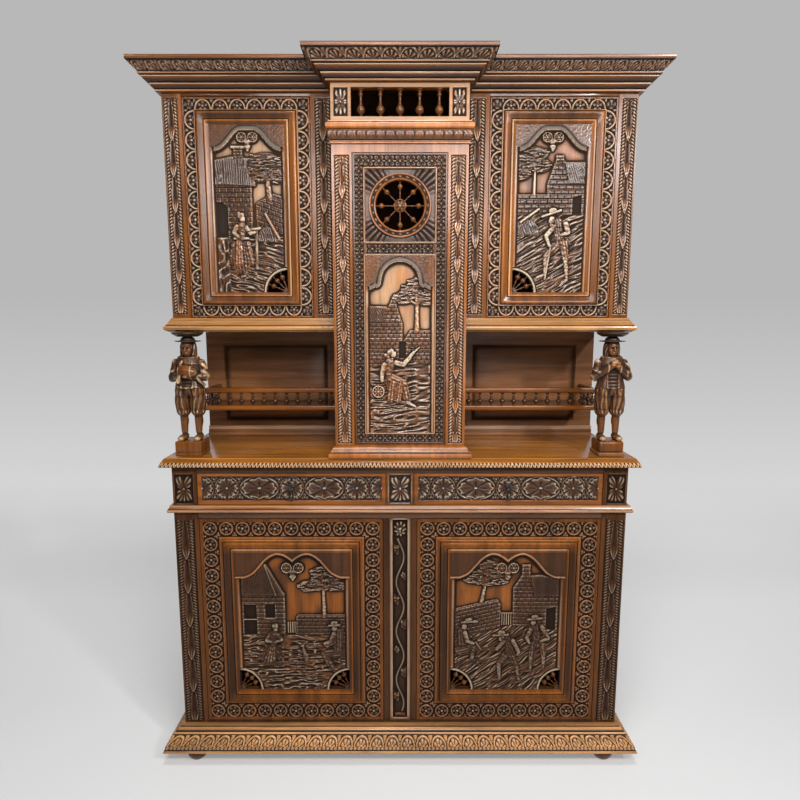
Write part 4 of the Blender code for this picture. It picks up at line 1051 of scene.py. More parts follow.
def plinth_carving(along, rise, pitch):
    """Lunettes with fans over a row of pearls."""
    cell = (along % 1.0 - 0.5) * pitch
    up = rise - PLINTH_BAND[0]
    tall = PLINTH_BAND[1] - PLINTH_BAND[0]
    band = smooth(np.minimum(up, tall - up) / 0.002)
    far, angle = np.hypot(cell, up * 0.80), np.arctan2(up * 0.80, cell)
    radius = pitch * 0.43
    ring = dome(far - radius, 0.0028)
    rays = np.abs(np.cos(angle * 3.5)) ** 0.8 * np.clip(1 - (far / (radius * 0.84)) ** 6, 0, 1)
    rays = rays * (0.35 + 0.65 * far / radius)
    eye = dome(far, radius * 0.24)
    gap = pitch / 2 - abs(cell)
    leaf = dome(gap, 0.0060) * smooth((far - radius - 0.003) / 0.002)
    arch = np.maximum(np.maximum(ring, 0.8 * rays), np.maximum(eye, 0.75 * leaf))
    pearl_pitch = pitch / 4
    pearl = (along * 4 % 1.0 - 0.5) * pearl_pitch
    middle = (PEARL_BAND[0] + PEARL_BAND[1]) / 2
    pearls = dome(np.hypot(pearl, rise - middle), pearl_pitch * 0.46)
    return 0.0036 * band * arch - 0.0014 * band + 0.0026 * pearls


PLINTH_BAND = (0.0690, 0.0985)
PEARL_BAND = (0.0605, 0.0685)


def make_plinth():
    """Plinth moulding with lunettes."""
    # Tones of -1.0 paint shade in the grooves; the beads' higher tones paint highlight
    section = [
        (SEAT, 0.050, 0.3), (0.0520, 0.050, 0.7), (0.0545, 0.0512, 0.8), (0.0555, 0.0538, 0.9), (0.0550, 0.0565, 0.9),
        (0.0535, 0.0585, 0.8), (0.0500, 0.0590, -1.0), (0.0490, 0.0600, -1.0), (0.0490, 0.0608, 0.45),
        (0.0490, 0.0685, 0.45),
        (0.0478, 0.0690, 0.75), (0.0450, 0.0740, 0.8), (0.0410, 0.0800, 0.8), (0.0365, 0.0850, 0.8),
        (0.0330, 0.0905, 0.8), (0.0312, 0.0960, 0.8), (0.0308, 0.0980, 0.6), (0.0290, 0.0983, -1.0),
        (0.0290, 0.1000, -1.0),
        (0.0290, 0.1004, 0.8), (0.0280, 0.1026, 1.0), (0.0262, 0.1040, 1.0), (0.0240, 0.1043, -1.0),
        (0.0225, 0.1062, -1.0), (0.0200, 0.1090, 0.6), (0.0180, 0.1100, 0.9), (0.0176, 0.1130, 1.1),
        (0.0150, 0.1142, 0.8), (0.0122, 0.1145, -1.0), (0.0122, 0.1164, -1.0), (0.0122, 0.1170, 0.5),
        (0.0122, 0.1206, 0.5), (SEAT, 0.1206, 0.3),
    ]
    piece = swept(
        "plinth", around(HALF, FRONT, BACK), section, in_plan, step=grid_step(1.15),
        pitch=carving().lunette, carved=plinth_carving, fine=grid_step(), band=(PEARL_BAND[0], PLINTH_BAND[1]))
    hand_over(piece, "plinth_moulding", oak("waxed"))


def make_lower_case():
    """Carved posts, vine stile, framed sides and boarded back of the lower stage."""
    low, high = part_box("lower_corner_post_left")
    relief = Relief((low.x, high.x), (low.z, high.z), grid_step())
    relief.tone[:] = 0.13
    inner = high.x - 0.016
    leaf_chain(relief, (low.x + 0.004, inner), (0.128, 0.806), 0.0022, tip_highlight=0.08)
    relief.flat((inner, high.x), (0.1206, RAIL_LOW), tone=0.30)
    relief.sunk((inner - 0.001, inner + 0.0025), (0.123, RAIL_LOW), 0.002, 0.001, tone=0.1)
    drawer_low, drawer_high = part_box("drawer_left")
    spot = (low.x + 0.005, high.x - 0.012), (drawer_low.z + 0.003, drawer_high.z - 0.002)
    sunk_block(relief, *spot, leaf_cross, 0.0030, 0.0062, 0.12)
    both_sides(carved_board("post", relief, low.y, high.y), "lower_corner_post", oak("low"))
    side = fielded("side", *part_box("lower_side_left"), (-1, 0, 0), 0.075)
    both_sides(side, "lower_side", oak("low"), 30)
    hand_over(planks("back", *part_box("lower_back"), 9, 0.4), "lower_back", oak("inside"), 30)
    make_vine_stile()


def make_vine_stile():
    """Centre stile with a climbing vine."""
    low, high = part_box("lower_centre_stile")
    relief = Relief((low.x, high.x), (low.z, high.z), grid_step())
    relief.tone[:] = 0.12
    half = 0.0235
    relief.flat((-half - 0.009, half + 0.009), (low.z, high.z), rise=0.0015, tone=0.45)
    relief.sunk((-half, half), (low.z + 0.008, high.z - 0.004), 0.0064, tone=0.0)
    ground = -0.0048
    bottom, top, waves = low.z + 0.030, high.z - 0.070, 3.5

    def stem(at):
        return 0.0120 * math.sin((at - bottom) / (top - bottom) * waves * 2 * math.pi + 0.6)

    levels = np.linspace(bottom, top, 90)
    for a, b in zip(levels, levels[1:]):
        relief.limb((stem(a), a), (stem(b), b), 0.0036, 0.0036, ground, 1.1, tone=0.10)
    turns = int(waves * 2)
    for i in range(turns):
        at = bottom + (top - bottom) * (i + 0.30) / turns
        side = -1 if stem(at) > 0 else 1
        spot = (side * 0.0105, at + 0.020)
        curl = [
            (spot[0] + 0.0095 * (1 - k / 26) * math.cos(k * 0.42 - side * 1.2),
             spot[1] + 0.0105 * (1 - k / 26) * math.sin(k * 0.42 - 1.2)) for k in range(15)]
        for a, b in zip(curl, curl[1:]):
            relief.limb(a, b, 0.0030, 0.0030, ground, 1.1, tone=0.08)
        if i % 3 == 2:
            for k in range(8):
                berry = (spot[0] + 0.0052 * math.cos(k * 2.4), spot[1] + 0.005 * math.sin(k * 2.4) + 0.001 * k)
                relief.limb(berry, berry, 0.0036, 0.0036, ground + 0.001, 1.0, tone=0.1)
            continue
        for turn, length, width in ((0.0, 0.030, 0.0075), (0.8, 0.024, 0.0060), (-0.8, 0.024, 0.0060)):
            way = math.atan2(0.9, side * 0.5) + turn
            across = spot[0] + length * math.cos(way)
            end = (max(-half + 0.002, min(half - 0.002, across)), spot[1] + length * math.sin(way))
            middle = ((spot[0] + end[0]) / 2, (spot[1] + end[1]) / 2)
            relief.limb(spot, middle, 0.0024, width, ground + 0.0006, 0.75, tone=0.12)
            relief.limb(middle, end, width, 0.0010, ground + 0.0006, 0.75, tone=0.12)
    flower = (0.0, high.z - 0.036)
    relief.stamp(*flower, 0.026, lambda u, v: rosette(u, v * 0.85, 0.022, 9, 0.0066), ground, tone=0.15)
    relief.stamp(
        flower[0], flower[1] - 0.008, 0.02, lambda u, v: rosette(u, v, 0.015, 7, 0.0066, 0.4), ground + 0.0016)
    relief.limb((-0.012, low.z + 0.016), (0.012, low.z + 0.016), 0.007, 0.007, ground, 0.6, tone=0.4)
    hand_over(carved_board("vine_stile", relief, low.y, high.y), "lower_centre_stile", oak("low"))


def make_drawer_frame():
    """Waist moulding, rails, partition and patera block round the drawers."""
    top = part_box("drawer_frame")[1].z
    # Tones of -1.0 paint shade in the groove; tones above 1.05 paint sheen on the round nose and the top
    shape = (
        (0.0, 0.0, 0.2), (0.30, 0.0, 0.4), (0.60, 0.04, 0.5), (0.84, 0.12, 0.9), (0.97, 0.21, 1.35),
        (1.0, 0.33, 1.5), (0.97, 0.44, 1.4),
        (0.86, 0.52, 0.6), (0.80, 0.53, -1.0), (0.80, 0.58, -1.0), (0.78, 0.60, 0.35), (0.72, 0.68, 0.6),
        (0.62, 0.80, 1.2), (0.56, 0.90, 1.5), (0.55, 1.0, 1.5),
        (0.0, 1.0, 0.3),
    )
    section = scaled(shape, 0.0157, *WAIST_MOULDING, SEAT)
    shells = [swept("waist", around(HALF, FRONT, BACK), section, in_plan)]
    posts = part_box("lower_door_right_frame")[1].x + 0.0017
    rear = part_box("lower_back")[0].y - SEAT
    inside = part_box("lower_side_right")[0].x - SEAT
    for name, half, y, z, tone in (
        ("rail", posts, (FRONT, FRONT + 0.072), (RAIL_LOW, WAIST_MOULDING[1]), 0.20),
        ("deck", inside, (FRONT + 0.0505, rear), DECK, 0.3),
        ("top_rail", posts, (FRONT, FRONT + 0.030), (TOP_RAIL, top), 0.18),
        ("partition", 0.011, (FRONT + 0.02, rear), (0.85, top), 0.3),
    ):
        shells.append(planed(name, (-half, y[0], z[0]), (half, y[1], z[1]), tone))
    half, middle = 0.042, sum(BLOCK) / 2
    relief = Relief((-half, half), BLOCK, grid_step())
    relief.tone[:] = 0.5
    sunk_block(relief, (-0.034, 0.034), (middle - 0.045, middle + 0.045), leaf_cross, 0.003, 0.0062, 0.12)
    shells.append(carved_board("block", relief, FRONT, FRONT + 0.030))
    hand_over(joined("drawer_frame", shells), "drawer_frame", oak("lengthwise"))


def table_edge(along, rise, pitch):
    """Small V-shaped leaves along the table edge."""
    up = (rise - TABLE_LOW) / (TABLE_HIGH - TABLE_LOW)
    band = smooth((up - 0.10) / 0.06) * smooth((0.62 - up) / 0.06)
    cell = np.abs(along % 1.0 - 0.5) * 2
    veins = np.abs(((cell + up * 1.5) % 1.0) - 0.5) * 2
    return 0.0026 * band * (veins ** 1.2 - 0.6)


def make_table():
    """Table top with a carved edge."""
    # Tones above 1.05 paint sheen on the rounded edge
    shape = (
        (0.20, 0.0, 0.1), (0.72, 0.05, 0.2), (0.90, 0.09, 0.5), (1.0, 0.15, 1.3), (1.0, 0.22, 1.5),
        (0.98, 0.29, 1.5), (0.95, 0.36, 1.5),
        (0.91, 0.43, 1.5), (0.87, 0.50, 1.5), (0.83, 0.57, 1.3), (0.79, 0.63, 0.6), (0.75, 0.66, 0.02),
        (0.70, 0.74, 0.05), (0.64, 0.83, 0.10),
        (0.58, 0.92, 0.2), (0.56, 0.95, 1.3), (0.48, 1.0, 0.9),
    )
    piece = edged_slab(
        "table", (-HALF, HALF), (FRONT, BACK), scaled(shape, 0.0285, TABLE_LOW, TABLE_HIGH),
        ("left", "front", "right"), step=grid_step(), pitch=0.0115, carved=table_edge)
    hand_over(piece, "table_top", oak("table"), 40)


# Doors


def door_moulding(name, x, z, width, rise, face, warm, run_light):
    """Raised moulding round a door's panel; runs says how much lighter its left, top, right and bottom runs are."""
    # Tones of -1.0 paint shade in the two grooves; the bead tones, times warm and held to 1.25, paint a highlight, on
    # the upper doors a silvery sheen
    shape = (
        (0.0, -0.30, 0.2), (0.0, 0.44, 0.6), (0.035, 0.56, 0.9), (0.075, 0.52, 0.5), (0.085, 0.30, -1.0),
        (0.115, 0.30, -1.0), (0.135, 0.60, 0.12), (0.17, 0.86, 0.30), (0.23, 1.0, 0.50), (0.30, 0.98, 0.22),
        (0.42, 0.84, 0.12), (0.54, 0.66, 0.16), (0.63, 0.54, 0.24), (0.645, 0.32, -1.0), (0.675, 0.32, -1.0),
        (0.69, 0.54, 0.5), (0.74, 0.64, 1.0), (0.80, 0.60, 0.75), (0.85, 0.44, 0.3), (0.92, 0.32, 0.3),
        (1.0, 0.20, 0.2), (1.0, -0.30, 0.1),
    )
    section = [(share * width, up * rise, min(tone * warm, 1.25)) for share, up, tone in shape]
    near_x, near_z = shrunk(x, width + 0.002), shrunk(z, width + 0.002)
    path = [(x[0], b) for b in (z[0], *near_z, z[1])] + [(a, z[1]) for a in near_x]
    path += [(x[1], b) for b in (z[1], *near_z[::-1], z[0])] + [(a, z[0]) for a in near_x[::-1]]
    ring = swept(name, path, section, on_face(face), closed=True)
    spots = places(ring)
    tone = marked(ring, "tone")
    sides = np.stack((spots[:, 0] - x[0], z[1] - spots[:, 2], x[1] - spots[:, 0], spots[:, 2] - z[0]))
    nearest = sides < sides.min(0) + 1e-4
    # Each run lighter or darker by its own amount: painted light and shade
    gain = np.array(run_light) @ nearest / nearest.sum(0)
    mark(ring, "tone", np.where(tone > 0, np.maximum(tone + gain, 0.02), tone))
    return ring


def roundel_border(relief, x, z, across, down, radius, inset):
    """Flowers in rings all round a door, with small leaves between them."""
    depth = carving().depth
    ground = -depth * 0.55
    xs, zs = np.linspace(*shrunk(x, inset), across), np.linspace(*shrunk(z, inset), down)
    spots = [(a, zs[k]) for a in xs for k in (0, -1)] + [(xs[k], b) for b in zs[1:-1] for k in (0, -1)]
    rim = radius * 0.11
    dish = -depth * 1.1
    bound = radius * 1.05
    for i, (a, b) in enumerate(spots):
        part, u, v = relief.window((a - radius, a + radius), (b - radius, b + radius))
        relief.rise[part] = np.where(np.hypot(u - a, v - b) < radius - rim, dish, relief.rise[part])
        relief.stamp(a, b, bound, lambda u, v: rosette(u, v, radius * 0.86, 5, depth * 1.8, 0.5 + i), dish, 0.14)
        relief.stamp(
            a, b, bound, lambda u, v: depth * 0.95 * dome(np.hypot(u, v) - radius + rim, rim), ground, 0.66)

    def leaf(a, b, turn):
        relief.stamp(a, b, 0.009, lambda u, v: depth * rosette(u, v, 0.0082, 3, 1.0, turn), ground, 0.3)

    reach = radius * 0.92
    for way in (-1, 1):
        for a in (xs[1:] + xs[:-1]) / 2:
            for b in (zs[0], zs[-1]):
                leaf(a, b + way * reach, -way * 1.57)
        for b in (zs[1:] + zs[:-1]) / 2:
            for a in (xs[0], xs[-1]):
                leaf(a + way * reach, b, 3.14 if way > 0 else 0.0)


def lunette_border(relief, x, z, across, down, band, edge):
    """Half rings with a flower in each, all round a door, and a leaf in each corner."""
    depth = carving().depth
    ground = -depth * 0.9
    inner_x, inner_z = shrunk(x, band), shrunk(z, band)
    pitch_x, pitch_z = (inner_x[1] - inner_x[0]) / across, (inner_z[1] - inner_z[0]) / down

    def flower(u, v, half, tall):
        bed = rosette(u, v - tall * 0.36, half * 0.62, 5, 1.3, 1.57)
        spike = dome(np.hypot((np.abs(u) - half) * 1.2, v - tall * 0.84), tall * 0.24)
        return depth * np.maximum(bed, 0.9 * spike)

    def ring(u, v, half, tall):
        return depth * 1.25 * dome(np.hypot(u / half, v / tall) - 0.90, 0.11) * (v > -0.001)

    tall = band - edge
    for form, tone in ((flower, 0.1), (ring, 0.6)):
        for i in range(across):
            a = inner_x[0] + pitch_x * (i + 0.5)
            for b, way in ((inner_z[1], 1), (inner_z[0], -1)):
                relief.stamp(a, b + way * tall / 2, (pitch_x / 2, tall / 2 + 0.001),
                             lambda u, v: form(u, way * v + tall / 2, pitch_x / 2, tall), ground, tone=tone)
        for i in range(down):
            b = inner_z[0] + pitch_z * (i + 0.5)
            for a, way in ((inner_x[0], -1), (inner_x[1], 1)):
                relief.stamp(a + way * tall / 2, b, (tall / 2 + 0.001, pitch_z / 2),
                             lambda u, v: form(v, way * u + tall / 2, pitch_z / 2, tall), ground, tone=tone)
    half = tall / 2
    for a, sign_a in ((inner_x[0], -1), (inner_x[1], 1)):
        for b, sign_b in ((inner_z[0], -1), (inner_z[1], 1)):
            relief.stamp(a + sign_a * half, b + sign_b * half, half,
                         lambda u, v: patera(u, v, half, half, depth * 1.4, 4), ground)


def fan_masks(fans):
    """Mask of the quarter rings opened for the corner fans."""
    def gone(u, v):
        lost = np.zeros(u.shape, bool)
        for (cx, cz), sign in fans:
            a, b = sign * (u - cx), v - cz
            far = np.hypot(a, b)
            lost |= (a > -1e-5) & (b > -1e-5) & (far > FAN_HUB - 1e-5) & (far < FAN_RADIUS + 1e-5)
        return lost
    return gone


FAN_RADIUS, FAN_HUB, FAN_SPINDLES = 0.066, 0.016, 3
PANEL_FACE = 0.0043


def panel_door(node, border, width, shift, fan_signs, carve_border, picture, oaks, warm, run_light):
    """Door with a carved border, a raised moulding, and a carved picture with corner fans."""
    low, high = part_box(node + "_frame")
    panel_low, panel_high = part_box(node + "_panel")
    face = panel_low.y - PANEL_FACE
    x, z = (low.x, high.x), (low.z, high.z)
    field_x, field_z = [shrunk(pair, border + width) for pair in (x, z)]
    outer_x, outer_z = [shrunk(pair, border + shift) for pair in (x, z)]
    hole_x, hole_z = shrunk(outer_x, 0.012), shrunk(outer_z, 0.012)
    relief = Relief(x, z, grid_step(), (*outer_x, *hole_x), (*outer_z, *hole_z))
    carve_border(relief, x, z, outer_x, outer_z)
    relief.rise[inwards(relief.x, relief.z, corners(outer_x, outer_z)) > 0.001] = -0.002
    board = carved_board("border", relief, face, face + FRAME_DEPTH, rectangle_gone(hole_x, hole_z))
    ring = door_moulding("moulding", outer_x, outer_z, width - shift, 0.012, face, warm, run_light)
    hand_over(joined("door_frame", [board, ring]), node + "_frame", oak(oaks[0]))

    fans = [((field_x[0] if sign > 0 else field_x[1], field_z[0]), sign) for sign in fan_signs]
    relief = Relief((panel_low.x, panel_high.x), (panel_low.z, panel_high.z), grid_step(0.95), field_x, field_z)
    picture(relief, field_x, field_z)
    for centre, sign in fans:
        carve_fan(relief, centre, sign)
        round_hole(relief, centre, FAN_RADIUS)
        round_hole(relief, centre, FAN_HUB)
    panel_y = face + PANEL_FACE
    shells = [carved_board("panel", relief, panel_y, panel_high.y, fan_masks(fans))]
    for (cx, cz), sign in fans:
        hub = Vector((cx, panel_y + 0.004, cz))
        for i in range(FAN_SPINDLES):
            angle = math.radians(90 * (i + 1) / (FAN_SPINDLES + 1))
            way = Vector((sign * math.cos(angle), 0, math.sin(angle)))
            ends = hub + way * (FAN_HUB - 0.002), hub + way * (FAN_RADIUS + 0.002)
            shells.append(spindle("fan", *ends, 0.0165, SPOKE, 14, 0.22))
    hand_over(joined("panel", shells), node + "_panel", oak(oaks[1]))


def carve_fan(relief, centre, sign):
    """Raised rim round a corner fan and a leaf on its hub."""
    reach = FAN_RADIUS + 0.010
    part, u, v = relief.window(*((c - reach, c + reach) for c in centre))
    a, b = sign * (u - centre[0]), v - centre[1]
    far = np.hypot(a, b)
    inside = (a > -0.001) & (b > -0.001) & (far < reach)
    rim = 0.0045 * dome(far - FAN_RADIUS - 0.0042, 0.0044) + 0.0015
    angle = np.arctan2(b, a)
    hub = 0.002 + 0.003 * np.abs(np.cos(angle * 6)) * dome(far, FAN_HUB * 1.05)
    made = np.where(far < FAN_HUB * 1.2, hub, np.where(far > FAN_RADIUS - 0.003, rim, 0.002))
    relief.rise[part] = np.where(inside, made, relief.rise[part])
    relief.tone[part] = np.where(inside, 0.15, relief.tone[part])


# Carved pictures


class Picture:
    """Carves a country scene in a field; places are in metres from the middle and bottom of the field."""

    def __init__(self, relief, field_x, field_z, flip=1, warm=1.0):
        self.relief, self.flip, self.warm = relief, flip, warm
        self.middle, self.bottom = sum(field_x) / 2, field_z[0]
        self.wide, self.tall = field_x[1] - field_x[0], field_z[1] - field_z[0]

    def at(self, spot):
        """Place on the board."""
        return (self.middle + self.flip * spot[0], self.bottom + spot[1])

    def outline(self, corners):
        """Polygon on the board."""
        return [self.at(corner) for corner in corners]

    def limb(self, a, b, thick, thin, lift=0.0, bulge=0.55, tone=None, folds=0):
        """Rounded form between two places."""
        self.relief.limb(self.at(a), self.at(b), thick, thin, lift, bulge, tone, folds)

    def wall(self, corners, course, rise=0.0015, slope=0.0):
        """Stone wall laid in courses."""
        def build(u, v):
            level = (v - self.bottom - slope * self.flip * (u - self.middle)) / course
            row = np.floor(level)
            along = (u / (course * 1.5) + 0.5 * (row % 2) + 0.17 * np.sin(row * 7.3)) % 1.0
            up = level - row
            joint = np.minimum(np.minimum(up, 1 - up) * course, np.minimum(along, 1 - along) * course * 1.5)
            stone = smooth(joint / 0.0016)
            grain = mottled(u, v, (0.009, 0.005), 5)
            # The top edge of each stone is toned lighter: painted highlight
            lip = np.exp(-(((1 - up) * course - 0.0024) / 0.0011) ** 2)
            return rise + 0.0015 * stone + 0.0008 * lip + 0.0006 * grain * stone, 0.05 + 0.14 * lip
        self.relief.area(self.outline(corners), build)

    def thatch(self, corners, lean=0.0, rise=0.0045):
        """Roof of straw, its stalks leaning."""
        def build(u, v):
            across = u - self.middle + lean * self.flip * (v - self.bottom)
            wave = mottled(u, v, (0.010, 0.030), 11) * 0.006
            stalk = np.abs(((across + wave) / 0.0062) % 1.0 - 0.5) * 2
            return rise + 0.0015 * stalk + 0.0010 * mottled(u, v, (0.02, 0.012), 3), 0.035
        self.relief.area(self.outline(corners), build)

    def opening(self, corners):
        """Dark door or window."""
        self.relief.area(self.outline(corners), lambda u, v: (0.0004 + 0 * u, -0.6), 0.0015)

    def frame_line(self, points, half=0.0018, lift=0.0032, tone=0.2):
        """Thin raised line."""
        for a, b in zip(points, points[1:]):
            self.limb(a, b, half, half, lift, 0.8, tone)

    def ground(self, corners, seed, run=0.026, fall=0.0050, slope=0.0, rise=0.0):
        """Ground of long gouge cuts."""
        def build(u, v):
            x, z = self.flip * (u - self.middle), v - self.bottom
            bend = mottled(x, z, (0.05, 0.03), seed) * 0.012
            cuts = mottled(x, z - slope * x + bend, (run, fall), seed + 1)
            fine = mottled(x, z - slope * x + bend, (run * 0.45, fall * 0.6), seed + 2)
            ridge = 1 - np.abs(2 * cuts - 1)
            # The ridges of the cuts are toned lighter: painted highlight
            return rise + 0.0044 * ridge ** 1.6 + 0.0014 * fine, 0.08 + 0.16 * ridge ** 3
        self.relief.area(self.outline(corners), build)

    def tree(self, root, crown, clumps, seed, girth=0.0062):
        """Tree with a forked trunk and clumps of long leaves."""
        chance = np.random.default_rng(seed)
        for cx, cz, rx, rz in clumps:
            ring = [(cx + rx * math.cos(t), cz + rz * math.sin(t)) for t in np.linspace(0, 2 * math.pi, 22)[:-1]]
            self.relief.area(
                self.outline(ring), lambda u, v: (0.0024 + 0.0006 * mottled(u, v, (0.01, 0.004), seed), 0.02), 0.004)
        self.limb(root, crown, girth, girth * 0.72, 0.001, 0.8, 0.42)
        for cx, cz, rx, rz in clumps:
            self.limb(crown, (cx, cz), girth * 0.5, girth * 0.3, 0.002, 0.8, 0.25)
            for _ in range(int(rx * rz * 24000) + 6):
                way, far = chance.uniform(0, 2 * math.pi), math.sqrt(chance.uniform(0, 1)) * 0.95
                x, z = cx + rx * far * math.cos(way), cz + rz * far * math.sin(way)
                length, lean = chance.uniform(0.006, 0.011), chance.uniform(-0.28, 0.28)
                dx, dz = length * math.cos(lean), length * math.sin(lean)
                lift = 0.0026 + chance.uniform(0, 0.0016)
                self.limb((x - dx, z - dz), (x + dx, z + dz), 0.0022, 0.0012, lift, 1.0, 0.11)

    def people(self, *forms):
        """Rounded forms in millimetres: two ends, two half widths, lift, folds and tone."""
        for x0, z0, x1, z1, r0, r1, lift, folds, tone in forms:
            ends = (x0 / 1000, z0 / 1000), (x1 / 1000, z1 / 1000)
            # warm scales the people's tone, and with it the painted highlight on their raised forms; it is low in the
            # lower scenes, painted shade like the rest of the lower stage
            self.limb(*ends, r0 / 1000, r1 / 1000, lift / 1000, 0.62, tone * self.warm, folds)

    def pickets(self, start, low, high):
        """Five upright pales of a fence."""
        for i in range(5):
            x = start + 0.007 * i
            self.limb((x, low), (x, high), 0.002, 0.002, 0.002, 1.0, 0.3)

    def haystack(self, spot, wide, tall):
        """Round stack of straw."""
        ring = [(spot[0] + wide * math.cos(t), spot[1] + tall * max(0.0, math.sin(t)) ** 0.8)
                for t in np.linspace(0, math.pi, 14)]
        self.thatch(ring, 0.25, 0.0035)


def arched(picture, curve, margin, band=0.0, lift=0.0066, head=0.12):
    """Leaves a plain head over a moulded arch, and a sloping margin down both sides of the field."""
    relief = picture.relief
    half, tall = picture.wide / 2, picture.tall
    line = [(picture.middle + x, picture.bottom + tall - drop) for x, drop in curve]
    across, levels = zip(*line)
    side_high = min(levels)
    part, u, v = relief.window(
        (picture.middle - half - 0.02, picture.middle + half + 0.02),
        (side_high - 0.03, picture.bottom + tall + 0.02))
    away = line_away(u, v, line)
    above = v > np.interp(u, across, levels)
    under = np.where(above, -away, away)
    rise, tone = relief.rise[part], relief.tone[part]
    if band:
        matt = 0.0004 * mottled(u, v, (0.0036, 0.0036), 21)
        roll = lift - 0.0010 + 0.0034 * dome(under - band / 2, band / 2)
        made = np.where(above, lift - 0.0006 + matt, np.where(under < band, roll, rise))
        shade = np.where(under < band, np.where(under > band - 0.003, 0.14, -0.30), tone)
        shade = np.where(above, head, shade)
    else:
        bead = lift + 0.0026 * dome(under + 0.0004, 0.0032)
        cove = lift * 0.95 * (1 - smooth(under / 0.012))
        made = np.where(under < 0.0024, np.maximum(bead, lift), np.maximum(rise, cove))
        share = np.where(above, 1.0, 1 - smooth((under - 0.008) / 0.006))
        shade = np.where(np.abs(under + 0.0004) < 0.0034, 0.9, np.where(above, head, 0.16))
        shade = tone * (1 - share) + shade * share
    relief.rise[part], relief.tone[part] = made, shade
    for sign in (-1, 1):
        edge_x = picture.middle + sign * half
        part, u, v = relief.window(
            (edge_x - sign * margin, edge_x + sign * 0.02), (picture.bottom - 0.02, side_high))
        from_edge = sign * (edge_x - u)
        slope = 0.0062 * (1 - smooth((from_edge - margin * 0.30) / (margin * 0.62)))
        share = 1 - smooth((from_edge - margin * 0.80) / (margin * 0.20))
        relief.rise[part] = relief.rise[part] * (1 - share) + np.maximum(relief.rise[part] * 0.5, slope) * share
        relief.tone[part] = relief.tone[part] * (1 - share) + 0.5 * share


def paired_rosettes(picture, drop, gap, radius, lift=0.0022):
    """Two small flowers and a hanging leaf under the middle of an arch."""
    relief = picture.relief
    z = picture.bottom + picture.tall - drop
    for sign in (-1, 1):
        x = picture.middle + sign * gap
        relief.limb((x, z), (x, z), radius, radius, lift - 0.001, 0.15, 0.15)
        relief.stamp(x, z, radius * 1.1, lambda u, v: roundel(u, v, radius, 6, 0.0046), lift, tone=0.2)
    for reach, width in ((0.0, radius * 0.75), (radius * 0.9, radius * 0.62)):
        start, end = [(picture.middle, z - radius * share - reach) for share in (0.9, 1.5)]
        relief.limb(start, end, width, width * 0.4, lift, 0.7, 0.15)


def mirrored_curve(points):
    """Curve of an arch from its left half, listed from the middle out as (across, drop)."""
    half = flowing(points, 26)
    left = [(-x, drop) for x, drop in half[::-1]]
    return left + [tuple(p) for p in half[1:]]


TWIN_ARCH = (
    (0.0, 0.028), (0.012, 0.018), (0.030, 0.008), (0.050, 0.005), (0.068, 0.012), (0.086, 0.026), (0.104, 0.047),
    (0.122, 0.067), (0.142, 0.079), (0.160, 0.083), (0.190, 0.083),
)
OGEE_ARCH = (
    (0.0, 0.004), (0.016, 0.004), (0.030, 0.007), (0.044, 0.017), (0.056, 0.030), (0.068, 0.044), (0.080, 0.055),
    (0.094, 0.062), (0.112, 0.064), (0.130, 0.064),
)
ROUND_ARCH = (
    (0.0, 0.0036), (0.020, 0.0067), (0.038, 0.0154), (0.052, 0.0284), (0.062, 0.0452), (0.0668, 0.066),
    (0.0690, 0.078),
    (0.0740, 0.075), (0.084, 0.082), (0.097, 0.0865), (0.120, 0.0865),
)


def twin_head(scene):
    """Beaded double arch over a lower picture."""
    arched(scene, mirrored_curve(TWIN_ARCH), 0.016)
    paired_rosettes(scene, 0.052, 0.0188, 0.0168)


def ogee_head(scene):
    """Moulded arch over an upper picture."""
    arched(scene, mirrored_curve(OGEE_ARCH), 0.014, 0.0125, head=0.22)
    paired_rosettes(scene, 0.036, 0.0165, 0.0150)


def sky(picture, tone=0.86, patchy=0.55):
    """Smooth polished ground behind the scene."""
    relief = picture.relief
    relief.rise[:] = 0.0003 * mottled(relief.x, relief.z, (0.02, 0.05), 2)
    # A tone above 1.05 gives the sky a silvery painted reflection
    relief.tone[:] = tone - patchy * smooth((mottled(relief.x, relief.z, (0.028, 0.070), 6) - 0.35) / 0.5)


